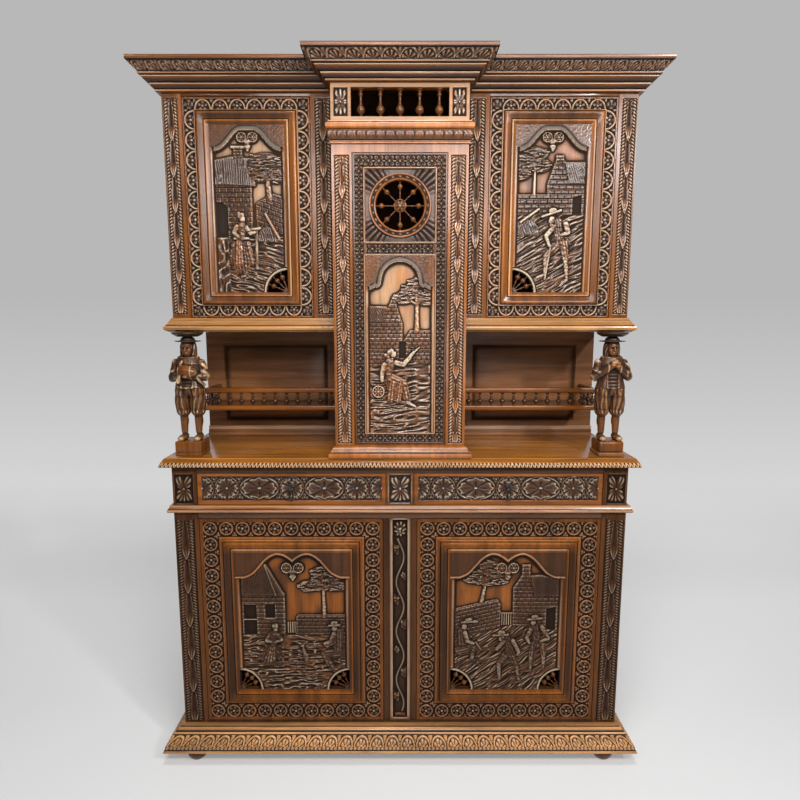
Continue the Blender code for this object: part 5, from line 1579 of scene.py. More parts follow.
def farm_left(relief, field_x, field_z):
    """Cottage, tree, garden wall and two seated people with a goose."""
    scene = Picture(relief, field_x, field_z, warm=0.24)
    sky(scene)
    scene.wall([(0.006, 0.185), (0.180, 0.185), (0.180, 0.257), (0.014, 0.257), (0.006, 0.245)], 0.0115, 0.0014)
    scene.wall(corners((-0.180, -0.026), (0.180, 0.330)), 0.0125, 0.0026)
    scene.opening(corners((-0.158, -0.116), (0.188, 0.290)))
    scene.frame_line([(-0.158, 0.240), (-0.116, 0.240)])
    scene.opening(corners((-0.090, -0.058), (0.245, 0.292)))
    scene.frame_line([(-0.092, 0.243), (-0.056, 0.243)])
    scene.thatch([(-0.180, 0.322), (-0.024, 0.320), (-0.084, 0.428), (-0.102, 0.424), (-0.180, 0.366)], -0.25)
    scene.frame_line([(-0.088, 0.424), (-0.054, 0.322)], 0.0016, 0.0062)
    scene.tree((0.098, 0.250), (0.096, 0.338), [
        (0.105, 0.375, 0.050, 0.026), (0.060, 0.352, 0.040, 0.020), (0.138, 0.350, 0.034, 0.018),
        (0.090, 0.400, 0.034, 0.016)], 31)
    scene.ground(corners((-0.200, 0.200), (-0.020, 0.188)), 41)
    scene.pickets(-0.018, 0.195, 0.230)
    scene.people(
        (-70, 150, -84, 106, 17, 27, 1.5, 5, 0.38), (-82, 140, -106, 112, 13, 12, 1.5, 3, 0.3),
        (-60, 142, -46, 112, 15, 14, 1.5, 3, 0.3),
        (-68, 148, -76, 108, 10, 18, 4, 4, 0.7), (-100, 90, -46, 88, 9, 9, 1, 0, 0.2),
        (-50, 82, -42, 81, 5, 3.5, 2, 0, 0.2),
        (-64, 190, -66, 160, 14, 11, 4, 0, 0.2), (-78, 189, -52, 189, 6, 6, 5.5, 0, 0.35),
        (-79, 187, -87, 170, 7, 6.5, 5, 0, 0.3),
        (-87, 169, -68, 166, 6, 4.5, 6.5, 0, 0.4), (-50, 187, -41, 174, 7, 6.5, 5, 0, 0.3),
        (-41, 173, -60, 165, 6, 4.5, 6.5, 0, 0.4),
        (-60, 202, -61, 196, 5, 6, 5, 0, 0.4), (-58, 212, -58, 209, 8.5, 7.5, 6, 0, 0.45),
        (-61, 219, -56, 220, 8, 7, 6, 0, 0.4))
    scene.people(
        (148, 118, 150, 74, 4, 4, 1, 0, 0.25), (138, 128, 98, 124, 15, 12, 4, 3, 0.35),
        (136, 120, 104, 110, 13, 11, 2, 3, 0.3),
        (96, 122, 108, 88, 8, 6, 4, 0, 0.3), (108, 84, 97, 82, 6, 4, 3, 0, 0.2), (106, 108, 122, 78, 8, 6, 3, 0, 0.3),
        (122, 74, 112, 72, 6, 4, 3, 0, 0.2), (140, 190, 138, 140, 17, 16, 4, 4, 0.2),
        (150, 150, 154, 112, 10, 9, 2, 3, 0.2),
        (128, 192, 118, 168, 8, 7, 6.5, 0, 0.3), (118, 167, 98, 158, 6.5, 5, 6.5, 0, 0.4),
        (130, 165, 104, 150, 6, 5, 5.5, 0, 0.3),
        (130, 211, 129, 208, 8.5, 8, 6, 0, 0.45), (113, 221, 147, 223, 3.2, 3.2, 8, 0, 0.35),
        (125, 228, 134, 228, 7, 7, 6, 0, 0.3))
    scene.people(
        (40, 100, 36, 116, 8, 9, 3, 0, 0.35), (34, 120, 28, 146, 5.5, 3.5, 4, 0, 0.35),
        (28, 151, 22, 149, 4.2, 2, 5, 0, 0.35),
        (-12, 96, 8, 92, 9, 8, 2, 0, 0.3), (-14, 102, -18, 100, 5, 3, 3, 0, 0.3))
    twin_head(scene)


def farm_right(relief, field_x, field_z):
    """Tree, garden wall, gabled house and three men at work."""
    scene = Picture(relief, field_x, field_z, warm=0.2)
    sky(scene)
    scene.wall(
        [(0.018, 0.195), (0.190, 0.195), (0.190, 0.345), (0.073, 0.388), (0.073, 0.424), (0.046, 0.424),
        (0.044, 0.388), (0.018, 0.345)], 0.0125, 0.0026)
    scene.thatch([(0.073, 0.388), (0.106, 0.390), (0.190, 0.372), (0.190, 0.316), (0.086, 0.320)], 0.22)
    scene.opening([(0.126, 0.110), (0.156, 0.110), (0.156, 0.284), (0.126, 0.276)])
    scene.wall(
        [(-0.200, 0.158), (-0.018, 0.212), (-0.018, 0.290), (-0.028, 0.308), (-0.044, 0.306), (-0.200, 0.268)],
        0.0120, 0.0016, 0.24)
    scene.tree((-0.080, 0.298), (-0.070, 0.352), [
        (-0.085, 0.405, 0.040, 0.020), (-0.045, 0.395, 0.046, 0.026), (-0.095, 0.372, 0.036, 0.016),
        (-0.040, 0.368, 0.040, 0.016),
        (-0.060, 0.424, 0.034, 0.012)], 37)
    scene.pickets(-0.014, 0.222, 0.258)
    scene.frame_line([(-0.018, 0.262), (0.050, 0.262)])
    scene.ground(
        [(-0.200, -0.020), (0.200, -0.020), (0.200, 0.198), (0.020, 0.222), (-0.200, 0.160)], 47, 0.036, 0.0056, 0.70)
    scene.people(
        (-142, 200, -140, 160, 13, 15, 4, 3, 0.2), (-132, 196, -124, 168, 8, 7, 6.5, 0, 0.55),
        (-124, 167, -104, 160, 6, 5, 7, 0, 0.4),
        (-150, 134, -104, 146, 13, 11, 4, 3, 0.35), (-146, 126, -112, 130, 11, 10, 2.5, 3, 0.3),
        (-104, 142, -108, 108, 8, 6.5, 4, 0, 0.4),
        (-108, 104, -98, 101, 5.5, 4, 3, 0, 0.2), (-134, 217, -134, 214, 8.5, 8, 6, 0, 0.4),
        (-143, 232, -92, 235, 3.2, 3.2, 7.5, 0, 0.35),
        (-124, 239, -114, 240, 7, 6.5, 6, 0, 0.35), (-96, 162, -80, 138, 3, 3, 5, 0, 0.35),
        (-80, 140, -30, 138, 7, 8, 3, 3, 0.3),
        (-104, 98, -80, 80, 4, 6, 2, 2, 0.2), (-90, 104, -70, 92, 4, 5, 2, 2, 0.2))
    scene.people(
        (6, 170, 16, 128, 14, 15, 4, 4, 0.25), (22, 168, 42, 130, 7.5, 6, 6.5, 0, 0.4),
        (42, 130, 38, 122, 5.5, 4.5, 6, 0, 0.4),
        (-8, 166, -28, 140, 7, 5.5, 6, 0, 0.3), (16, 128, 22, 116, 16, 14, 3.5, 3, 0.25),
        (-2, 114, -22, 88, 11, 8, 4, 2, 0.35),
        (-22, 88, -18, 40, 7.5, 5, 4, 0, 0.5), (-18, 36, -38, 32, 5.5, 4, 3, 0, 0.3),
        (24, 114, 37, 78, 12, 8.5, 3.5, 2, 0.4),
        (37, 78, 44, 34, 7.5, 5, 3.5, 0, 0.5), (48, 28, 28, 22, 5.5, 4, 3, 0, 0.3),
        (-14, 180, -16, 176, 8.5, 8, 6, 0, 0.4),
        (-42, 187, 6, 190, 3.2, 3.2, 7.5, 0, 0.35), (-20, 195, -10, 196, 7.5, 7, 6, 0, 0.35),
        (2, 182, -4, 176, 6, 6, 4, 0, 0.3))
    scene.people(
        (90, 216, 98, 172, 15, 13, 4, 4, 0.2), (114, 214, 134, 178, 7.5, 6.5, 5, 0, 0.3),
        (134, 176, 110, 166, 6, 4.5, 6, 0, 0.4),
        (78, 206, 66, 180, 7.5, 6.5, 5.5, 0, 0.3), (66, 180, 74, 162, 6, 4.5, 6.5, 0, 0.4),
        (98, 172, 100, 158, 14, 15, 3.5, 3, 0.25),
        (86, 156, 82, 112, 10, 8, 3.5, 2, 0.4), (82, 112, 80, 72, 7, 5, 3.5, 0, 0.45),
        (80, 66, 64, 62, 5.5, 4, 3, 0, 0.25),
        (118, 156, 122, 112, 10, 8, 3.5, 2, 0.45), (122, 112, 122, 78, 7, 5, 3.5, 0, 0.5),
        (122, 72, 108, 68, 5.5, 4, 3, 0, 0.25),
        (86, 232, 85, 229, 8.5, 8, 6, 0, 0.4), (66, 241, 112, 246, 3.2, 3.2, 7.5, 0, 0.35),
        (86, 249, 94, 250, 7.5, 7, 6, 0, 0.35))
    twin_head(scene)


def croft_left(relief, field_x, field_z):
    """Thatched house, big tree, garden wall and a woman at her work table."""
    scene = Picture(relief, field_x, field_z, warm=0.8)
    # Silvery sky: painted reflection
    sky(scene, 1.6, 0.25)
    scene.wall(
        [(0.020, 0.170), (0.125, 0.170), (0.125, 0.275), (0.072, 0.292), (0.020, 0.265)], 0.0140, 0.0012, -0.35)
    scene.wall(corners((-0.125, 0.010), (0.150, 0.325)), 0.0140, 0.0022)
    scene.opening([(-0.108, 0.150), (-0.064, 0.150), (-0.064, 0.250), (-0.078, 0.266), (-0.108, 0.268)])
    scene.thatch([(-0.125, 0.316), (0.022, 0.312), (0.014, 0.392), (-0.050, 0.398), (-0.125, 0.382)], 0.05)
    scene.wall([(-0.043, 0.390), (-0.014, 0.392), (-0.014, 0.424), (-0.043, 0.424)], 0.0085, 0.0024)
    scene.limb((-0.047, 0.424), (-0.010, 0.424), 0.004, 0.004, 0.002, 0.9, 0.2)
    scene.tree((0.062, 0.275), (0.058, 0.325), [
        (0.050, 0.370, 0.056, 0.040), (0.082, 0.345, 0.034, 0.024), (0.036, 0.342, 0.034, 0.020)], 53, 0.0085)
    scene.ground([(-0.130, -0.020), (0.130, -0.020), (0.130, 0.180), (-0.130, 0.160)], 59, 0.030, 0.0062, -0.25)
    scene.ground(
        [(-0.130, 0.0), (-0.062, 0.0), (-0.066, 0.150), (-0.085, 0.165), (-0.130, 0.160)], 61, 0.012, 0.024, 0.4,
        0.001)
    scene.haystack((0.052, 0.150), 0.030, 0.046)
    scene.limb((0.048, 0.232), (0.088, 0.160), 0.004, 0.004, 0.004, 0.9, 0.6)
    scene.people(
        (18, 72, 20, 186, 4.5, 5, 3, 0, 0.25), (4, 186, 30, 190, 4, 4, 5, 0, 0.35),
        (-26, 156, -26, 84, 17, 31, 1.5, 7, 0.35),
        (-34, 150, -36, 92, 11, 17, 4.5, 4, 0.75), (-50, 148, -54, 96, 8, 10, 3, 2, 0.3),
        (-8, 146, 2, 90, 9, 11, 3, 2, 0.4),
        (-22, 62, -20, 50, 5, 4, 2.5, 0, 0.3), (-20, 49, -30, 47, 4.5, 3, 3, 0, 0.25),
        (-40, 62, -46, 54, 4.5, 3.5, 2, 0, 0.25),
        (-24, 196, -26, 162, 13, 10, 4, 0, 0.25), (-38, 194, -47, 178, 8, 7.5, 5.5, 0, 0.55),
        (-47, 177, -34, 164, 6.5, 5, 6.5, 0, 0.5),
        (-10, 192, 2, 176, 7.5, 6.5, 5.5, 0, 0.35), (2, 176, 14, 178, 5.5, 4.5, 6.5, 0, 0.5),
        (-22, 208, -23, 202, 5, 6, 5, 0, 0.4),
        (-21, 218, -21, 215, 8.5, 8, 6, 0, 0.45), (-28, 226, -22, 228, 8, 7, 5.5, 0, 0.6),
        (-32, 233, -28, 231, 5, 5, 5, 0, 0.6),
        (-46, 160, -6, 160, 4, 4, 6, 0, 0.2))
    ogee_head(scene)


def croft_right(relief, field_x, field_z):
    """Tree, stone house and a man walking with a stick past a hayrick."""
    scene = Picture(relief, field_x, field_z, warm=0.62)
    # Brown sky, with less painted reflection than the left door's
    sky(scene, 0.95, 0.35)
    scene.wall(
        [(-0.012, 0.228), (0.125, 0.228), (0.125, 0.325), (0.083, 0.325), (0.033, 0.394), (0.012, 0.394),
        (-0.014, 0.318)], 0.0138, 0.0022)
    scene.thatch([(0.036, 0.382), (0.125, 0.382), (0.125, 0.318), (0.050, 0.318)], 0.30)
    scene.wall(corners((0.010, 0.035), (0.378, 0.402)), 0.0085, 0.0030)
    scene.opening([(0.064, 0.215), (0.092, 0.215), (0.092, 0.288), (0.064, 0.280)])
    scene.wall(corners((-0.125, -0.008), (0.225, 0.290)), 0.0138, 0.0014)
    scene.tree((-0.051, 0.288), (-0.050, 0.372), [
        (-0.055, 0.405, 0.046, 0.022), (-0.080, 0.378, 0.030, 0.026), (-0.034, 0.372, 0.032, 0.022),
        (-0.085, 0.345, 0.022, 0.014)], 67, 0.0050)
    scene.ground([(-0.130, -0.020), (0.130, -0.020), (0.130, 0.232), (-0.130, 0.228)], 71, 0.032, 0.0066, 0.55)
    scene.haystack((-0.066, 0.168), 0.034, 0.048)
    scene.limb((-0.090, 0.208), (-0.036, 0.246), 0.0034, 0.0034, 0.005, 0.9, 0.4)
    scene.people(
        (22, 206, 28, 160, 15, 13, 4, 4, 0.22), (12, 196, -12, 168, 7.5, 6.5, 5.5, 0, 0.3),
        (-12, 167, -2, 138, 6, 4.5, 6.5, 0, 0.4),
        (46, 202, 54, 178, 8.5, 7.5, 5.5, 0, 0.5), (54, 177, 34, 170, 6.5, 5, 6.5, 0, 0.4),
        (50, 160, 60, 146, 9, 6, 3, 2, 0.25),
        (30, 156, 34, 142, 15, 15, 3.5, 3, 0.25), (18, 136, -10, 108, 12, 9.5, 4.5, 2, 0.4),
        (-11, 106, -12, 58, 8, 5, 4.5, 0, 0.55),
        (-14, 52, -36, 44, 5.5, 3.5, 4, 0, 0.35), (42, 146, 50, 100, 13, 10, 4, 2, 0.6),
        (50, 96, 55, 44, 8, 5, 4, 0, 0.55),
        (54, 38, 36, 20, 5.5, 3.5, 3.5, 0, 0.35), (4, 216, 2, 210, 9, 8, 6, 0, 0.35),
        (2, 204, 4, 198, 6, 7, 5, 0, 0.3),
        (-26, 224, 30, 242, 3.5, 3.5, 7.5, 0, 0.35), (2, 240, 10, 242, 8.5, 8, 6, 0, 0.5),
        (3, 140, -12, 40, 2.6, 2.6, 6.5, 0, 0.45))
    ogee_head(scene)


def orchard(relief, field_x, field_z):
    """Tree over garden walls and a seated woman beside a cask."""
    scene = Picture(relief, field_x, field_z, warm=0.66)
    # A tone of 1.6 lightens the sky with painted sheen
    sky(scene, 1.6, 0.25)
    scene.wall([(0.006, 0.190), (0.110, 0.190), (0.110, 0.310), (0.030, 0.310), (0.006, 0.270)], 0.0110, 0.0012)
    scene.wall(
        [(-0.110, 0.160), (0.008, 0.160), (0.008, 0.328), (-0.008, 0.376), (-0.018, 0.416), (-0.036, 0.376),
        (-0.110, 0.376)], 0.0110, 0.0022)
    scene.thatch([(-0.110, 0.332), (-0.048, 0.332), (-0.038, 0.378), (-0.110, 0.380)], 0.35, 0.0034)
    scene.opening(corners((-0.004, 0.018), (0.225, 0.276)))
    scene.tree((0.050, 0.308), (0.050, 0.385), [
        (0.045, 0.420, 0.044, 0.024), (0.010, 0.402, 0.030, 0.020), (0.074, 0.400, 0.026, 0.022),
        (0.050, 0.446, 0.030, 0.014)], 83, 0.0068)
    scene.ground(
        [(-0.120, -0.020), (0.120, -0.020), (0.120, 0.205), (0.030, 0.215), (-0.120, 0.195)], 89, 0.034, 0.0066, 0.12)
    relief.stamp(*scene.at((-0.065, 0.125)), 0.020, lambda u, v: roundel(u, v, 0.0185, 8, 0.0046), 0.004, tone=0.35)
    scene.people(
        (-36, 178, -18, 120, 16, 25, 1.5, 6, 0.3), (-30, 170, 10, 150, 13, 12, 4, 3, 0.65),
        (10, 150, 18, 112, 12, 15, 3, 3, 0.35),
        (-20, 150, -26, 108, 12, 14, 4.5, 3, 0.55), (0, 146, -8, 104, 11, 12, 4.5, 3, 0.6),
        (-40, 96, 26, 94, 8, 8, 1, 0, 0.25),
        (22, 92, 46, 80, 5.5, 3.5, 3.5, 0, 0.3), (-30, 214, -34, 182, 14, 12, 4, 0, 0.22),
        (-46, 204, -53, 180, 9, 7, 5.5, 0, 0.5),
        (-53, 178, -54, 158, 6, 4.5, 6.5, 0, 0.5), (-12, 212, 10, 206, 8, 7, 5.5, 0, 0.3),
        (10, 207, 28, 226, 7, 6, 6, 0, 0.4),
        (28, 228, 40, 242, 5, 4.5, 6.5, 0, 0.5), (34, 236, 58, 258, 2.6, 2.2, 7, 0, 0.4),
        (-20, 238, -20, 235, 9, 8, 6, 0, 0.5),
        (-30, 242, -26, 246, 8.5, 8, 5.5, 0, 0.4), (-42, 234, -36, 230, 6, 6, 5, 0, 0.35),
        (-24, 224, -26, 218, 5, 6, 5, 0, 0.4),
        (-76, 66, -66, 62, 7, 6, 2, 0, 0.4), (-76, 44, -68, 42, 7, 6, 2, 0, 0.4), (-76, 22, -66, 20, 7, 6, 2, 0, 0.4))
    arched(scene, mirrored_curve(ROUND_ARCH), 0.012, 0.0125, head=0.20)


def rimmed(relief, x, z, ground, tone, rim, rim_tone):
    """Sinks a whole board to one level inside a flat rim."""
    relief.rise[:], relief.tone[:] = ground, tone
    edge = inwards(relief.x, relief.z, corners(x, z)) < rim
    relief.rise[edge], relief.tone[edge] = 0.0, rim_tone


def make_lower_doors():
    """Two lower doors with roundel borders and farm scenes."""
    sizes = carving()

    def border(relief, x, z, outer_x, outer_z):
        rimmed(relief, x, z, -sizes.depth * 0.55, 0.35, 0.0095, 0.42)
        frame_band(relief, outer_x, outer_z, 0.0085, 0.60)
        relief.tone[(relief.z > outer_z[1]) & (relief.tone == 0.60)] = 1.0
        roundel_border(relief, x, z, sizes.roundels_across, sizes.roundels_down, 0.0218, 0.0312)

    for (side, _), picture in zip(SIDES, (farm_left, farm_right)):
        # The last four numbers paint light and shade on the moulding's left, top, right and bottom run
        panel_door(
            f"lower_door_{side}", 0.066, 0.042, 0.0010, (1, -1), border, picture, ("low", "low_panels"),
            0.95, (-0.20, 0.62, -0.10, 0.25))


def frame_band(relief, x, z, width, tone):
    """Polished flat band just outside a rectangle."""
    side = from_sides(relief.x, relief.z, x, z)
    band = (side <= 1e-6) & (side > -width)
    relief.rise[band] = 0.0
    relief.tone[band] = tone


def make_upper_doors():
    """Two upper doors with lunette borders and croft scenes."""
    sizes = carving()

    def border(relief, x, z, outer_x, outer_z):
        rimmed(relief, x, z, -sizes.depth * 0.9, 0.05, 0.0038, 0.45)
        lunette_border(relief, x, z, sizes.lunettes_across, sizes.lunettes_down, outer_x[0] - x[0], 0.0035)

    # Each door's four numbers paint light and shade on its moulding's left, top, right and bottom run, and 1.6 raises
    # the moulding's tones into a painted sheen
    for (side, sign), picture, run_light in zip(
            SIDES, (croft_left, croft_right), ((0.05, -0.20, 0.45, 0.0), (0.45, -0.10, 0.20, 0.0))):
        panel_door(
            f"upper_door_{side}", 0.035, 0.041, 0.0, (sign,), border, picture, ("upright", "panels"), 1.6, run_light)


def petal_band(relief, x, z, pitch):
    """Row or column of veined four-petalled flowers that fill a band."""
    depth = carving().depth
    ground = -depth * 0.9
    across, up = x[1] - x[0], z[1] - z[0]
    long_way, run, tall = across >= up, max(across, up), min(across, up)
    count = max(1, round(run / pitch))
    size = run / count
    relief.sunk(x, z, depth * 0.9, 0.0012)
    half = (size / 2, tall / 2) if long_way else (tall / 2, size / 2)

    def flower(u, v):
        s, t = u / half[0], v / half[1]
        far, angle = np.hypot(s, t), np.arctan2(t, s)
        lobe = np.abs(np.sin(2 * angle))
        leaf = np.clip(1 - (far / (0.72 + 0.50 * lobe)) ** 6, 0, 1) * lobe ** 1.2 * (0.35 + 0.65 * far)
        vein = 0.5 * np.exp(-((1 - lobe) / 0.10) ** 2) * smooth((0.95 - far) / 0.3)
        spike = 0.9 * dome(t, 0.16) * (np.abs(s) > 0.70) + 0.9 * dome(s, 0.16) * (np.abs(t) > 0.70)
        return depth * 1.35 * np.maximum(np.maximum(leaf - vein, 0.7 * spike), dome(far, 0.24))

    for i in range(count):
        at = (x[0] + size * (i + 0.5), sum(z) / 2) if long_way else (sum(x) / 2, z[0] + size * (i + 0.5))
        relief.stamp(*at, half, flower, ground, tone=0.06)


def make_centre_door():
    """Column door with a flowered border, an open wheel and a tall picture."""
    low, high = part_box("centre_door_frame")
    x, z = (low.x, high.x), (low.z, high.z)
    wheel_low, wheel_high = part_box("centre_door_wheel")
    panel_low, panel_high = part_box("centre_door_panel")
    panel_x, panel_tall = (panel_low.x, panel_high.x), (panel_low.z, panel_high.z)
    field_x, panel_z = shrunk(panel_x, -SEAT), shrunk(panel_tall, -SEAT)
    wheel_z = shrunk((wheel_low.z, wheel_high.z), -SEAT)
    relief = Relief(x, z, grid_step(0.95), field_x, (*wheel_z, *panel_z))
    relief.tone[:] = 0.15
    rim = 0.005
    for band_x, band_z in (
        (shrunk((x[0], field_x[0]), rim), shrunk(z, rim)),
        (shrunk((field_x[1], x[1]), rim), shrunk(z, rim)),
        (shrunk(field_x, -rim), shrunk((z[0], panel_z[0]), rim)),
        (shrunk(field_x, -rim), shrunk((wheel_z[1], z[1]), rim)),
        (shrunk(field_x, 0.004), shrunk((panel_z[1], wheel_z[0]), rim * 1.4)),
    ):
        petal_band(relief, band_x, band_z, 0.030)
    for band in (wheel_z, panel_z):
        frame_band(relief, field_x, band, rim, 0.7)
        inside = inwards(relief.x, relief.z, corners(field_x, band))
        bead = 0.0020 * dome(inside + rim / 2, rim / 2)
        relief.rise = np.where((inside <= 1e-6) & (inside > -rim), np.maximum(relief.rise, bead), relief.rise)
    wheel_hole, panel_hole = rectangle_gone(field_x, wheel_z), rectangle_gone(field_x, panel_z)
    board = carved_board(
        "border", relief, FRONT, FRONT + FRAME_DEPTH, lambda u, v: wheel_hole(u, v) | panel_hole(u, v))
    hand_over(board, "centre_door_frame", oak("upright"))

    relief = Relief(panel_x, panel_tall, grid_step(0.95))
    orchard(relief, panel_x, panel_tall)
    piece = carved_board("orchard", relief, panel_low.y, panel_high.y)
    hand_over(piece, "centre_door_panel", oak("column"))
    make_wheel(wheel_low, wheel_high)


def make_wheel(low, high):
    """Open wheel of turned spokes in a ringed square."""
    (x, half), z = centred((low.x, high.x)), (low.z + high.z) / 2
    face, rear = low.y + 0.006, high.y
    opening, ring = 0.0700, 0.0910
    count = 192
    angle = np.linspace(0, 2 * math.pi, count + 1)
    way = np.stack((np.cos(angle), np.sin(angle)), -1)
    square = way / np.abs(way).max(1, keepdims=True)
    rows, tones, lifts = [], [], []
    flat = np.zeros(count + 1)

    def row(spots, depth, tone, lift):
        rows.append(np.column_stack((x + spots[:, 0], face + depth + flat, z + spots[:, 1])))
        tones.append(flat + tone)
        lifts.append(flat + lift)

    ticks = np.abs(np.cos(angle * 12)) ** 6
    section = (
        (opening, rear - face, 0.1, 0), (opening, 0.0, 0.3, 0), (opening, -0.0040, 0.8, 0),
        (opening + 0.0015, -0.0062, 0.95, 0),
        (opening + 0.0045, -0.0066, 0.9, 0), (opening + 0.0062, -0.0050, 0.4, 0), (opening + 0.0066, -0.0030, 0.1, 0),
        (opening + 0.0095, -0.0030, 0.2, 1), (opening + 0.0118, -0.0030, 0.2, 1), (opening + 0.0138, -0.0032, 0.1, 0),
        (opening + 0.0145, -0.0050, 0.5, 0), (opening + 0.0170, -0.0064, 0.95, 0),
        (opening + 0.0198, -0.0058, 0.9, 0),
        (ring - 0.0002, -0.0020, 0.3, 0), (ring, 0.0016, 0.05, 0),
    )
    for radius, depth, tone, tick in section:
        # Rows of low tone get a carve mark below zero, painted shade in the ring's hollows; the notched band is
        # painted light on its ticks and shade between them
        lift = ticks - 0.4 if tick else -0.3 * (tone < 0.15)
        row(radius * way, depth - 0.0030 * ticks * tick, tone, lift)
    veins = np.abs(np.cos(angle * 24))
    corner = smooth((np.linalg.norm(half * square - ring * way, axis=1) - 0.012) / 0.02)
    for share in np.linspace(0.08, 1.0, 16):
        rim = share > 0.97
        leaf = corner * 0.0030 * veins * np.sin(math.pi * min(1.0, share * 0.98)) ** 0.6
        # Between the corner leaves' veins the carve mark goes below zero: painted shade
        row(ring * way * (1 - share) + half * square * share, (0.0006 if rim else 0.0016) - leaf,
            0.7 if rim else 0.08, 0.0 if rim else np.clip(corner * (veins * 1.1 - 1.0), -1, 1))
    row(half * square, rear - face, 0.1, 0.0)
    row(opening * way, rear - face, 0.1, 0.0)
    shells = [face_out(laid_grid("wheel", np.stack(rows), np.stack(tones), np.stack(lifts)))]
    hub = Vector((x, face + 0.004, z))
    for turn in np.arange(8) * math.pi / 4:
        out = Vector((math.cos(turn), 0, math.sin(turn)))
        shells.append(spindle("spoke", hub + out * 0.016, hub + out * (opening + 0.003), 0.0155, SPOKE, 16, 0.45))
    facing = Matrix.Translation(hub) @ Matrix.Rotation(math.pi / 2, 4, "X")
    boss = [(0.0, -0.005), (0.0185, -0.005), (0.0190, 0.001), (0.0180, 0.0045), (0.0160, 0.0052), (0.0148, 0.0030),
            (0.0100, 0.0040), (0.0050, 0.0058), (0.0, 0.0064)]
    piece = turned("hub", boss, 48, facing, 0.45)
    spots = places(piece)
    u, v = spots[:, 0] - x, spots[:, 2] - z
    far = np.hypot(u, v)
    lift = np.where((far < 0.0145) & (spots[:, 1] < hub.y), rosette(u, v, 0.0140, 6, 0.0030), 0)
    spots[:, 1] -= lift
    set_places(piece, spots)
    # Painted highlight on the hub's petals and painted shade between them, through the carve mark
    mark(piece, "carve", np.where(far < 0.0148, lift / 0.0015 - 0.8, 0.2))
    shells.append(piece)
    hand_over(joined("wheel", shells), "centre_door_wheel", oak("upright"))


def make_drawers():
    """Two drawers with a carved front, a box and a drop pull."""
    low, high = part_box("drawer_left")
    relief = Relief((low.x, high.x), (low.z, high.z), grid_step())
    relief.tone[:] = 0.80
    depth = carving().depth * 0.78
    x, z = shrunk((low.x, high.x), 0.0125), (low.z + 0.0135, high.z - 0.0085)
    relief.sunk(x, z, depth * 1.25, 0.002, tone=0.20)
    middle_z, half = centred(z)
    ground = -depth * 1.25
    oval = (x[1] - x[0] - 8 * half) / 4
    rim = 0.0024

    def flower(half_u):
        petals = 6 if half_u == half else 4

        def form(u, v):
            s = u * half / half_u
            far, angle = np.hypot(s, v), np.arctan2(v, s)
            ring = depth * 1.15 * dome(far - half + rim, rim)
            lobe = np.abs(np.cos(petals * angle / 2))
            edge = (half - 1.6 * rim) * (0.80 + 0.14 * lobe ** 0.5 + 0.05 * np.cos(3 * petals * angle))
            bowl = (0.30 + 0.70 * (far / edge) ** 1.6) * (0.25 + 0.75 * smooth(lobe / 0.55))
            vein = 0.30 * np.exp(-((1 - lobe) / 0.05) ** 2) * smooth((0.8 - far / edge) / 0.3)
            petal = depth * 1.75 * np.where(far < edge, bowl - vein, 0.0)
            boss = np.maximum(depth * 1.7 * dome(far, half * 0.11), depth * 0.28 * (far < half))
            return np.maximum(np.maximum(ring, petal), boss)
        return form

    at = x[0]
    for half_u in (half, half, oval, half, oval, half, half):
        ends = at == x[0] or at + half_u > x[1] - 1e-6
        middle = at if at == x[0] else (x[1] if ends else at + half_u)
        part, u, v = relief.window((max(x[0], middle - half_u), min(x[1], middle + half_u)), z)
        made = flower(half_u)(u - middle, v - middle_z)
        relief.rise[part] = np.where(made > 0, np.maximum(relief.rise[part], ground + made), relief.rise[part])
        relief.tone[part] = np.where(made > 0, 0.10, relief.tone[part])
        at += half_u if ends else 2 * half_u
        for sign in (-1, 1):
            if at < x[1] - 0.01:
                relief.stamp(
                    at, middle_z + sign * half * 0.74, 0.0125,
                    lambda u, v: rosette(u, v, 0.0120, 3, depth * 1.5, -sign * 1.57), ground, tone=0.10)
    shells = [carved_board("drawer_front", relief, low.y, low.y + 0.020)]
    left, right = shrunk((low.x, high.x), 0.002)
    box_low, box_high = 0.8553, high.z - 0.014
    front, rear = low.y + 0.0195, low.y + 0.32
    for a, b in (
        ((left, front, box_low), (left + 0.010, rear, box_high)),
        ((right - 0.010, front, box_low), (right, rear, box_high)),
        ((left + 0.010, rear - 0.010, box_low + 0.008), (right - 0.010, rear, box_high)),
        ((left + 0.009, front, box_low + 0.001), (right - 0.009, rear - 0.001, box_low + 0.008)),
    ):
        shells.append(planed("drawer_board", a, b, 0.25))
    both_sides(joined("drawer", shells), "drawer", oak("lengthwise"))
    make_pulls()


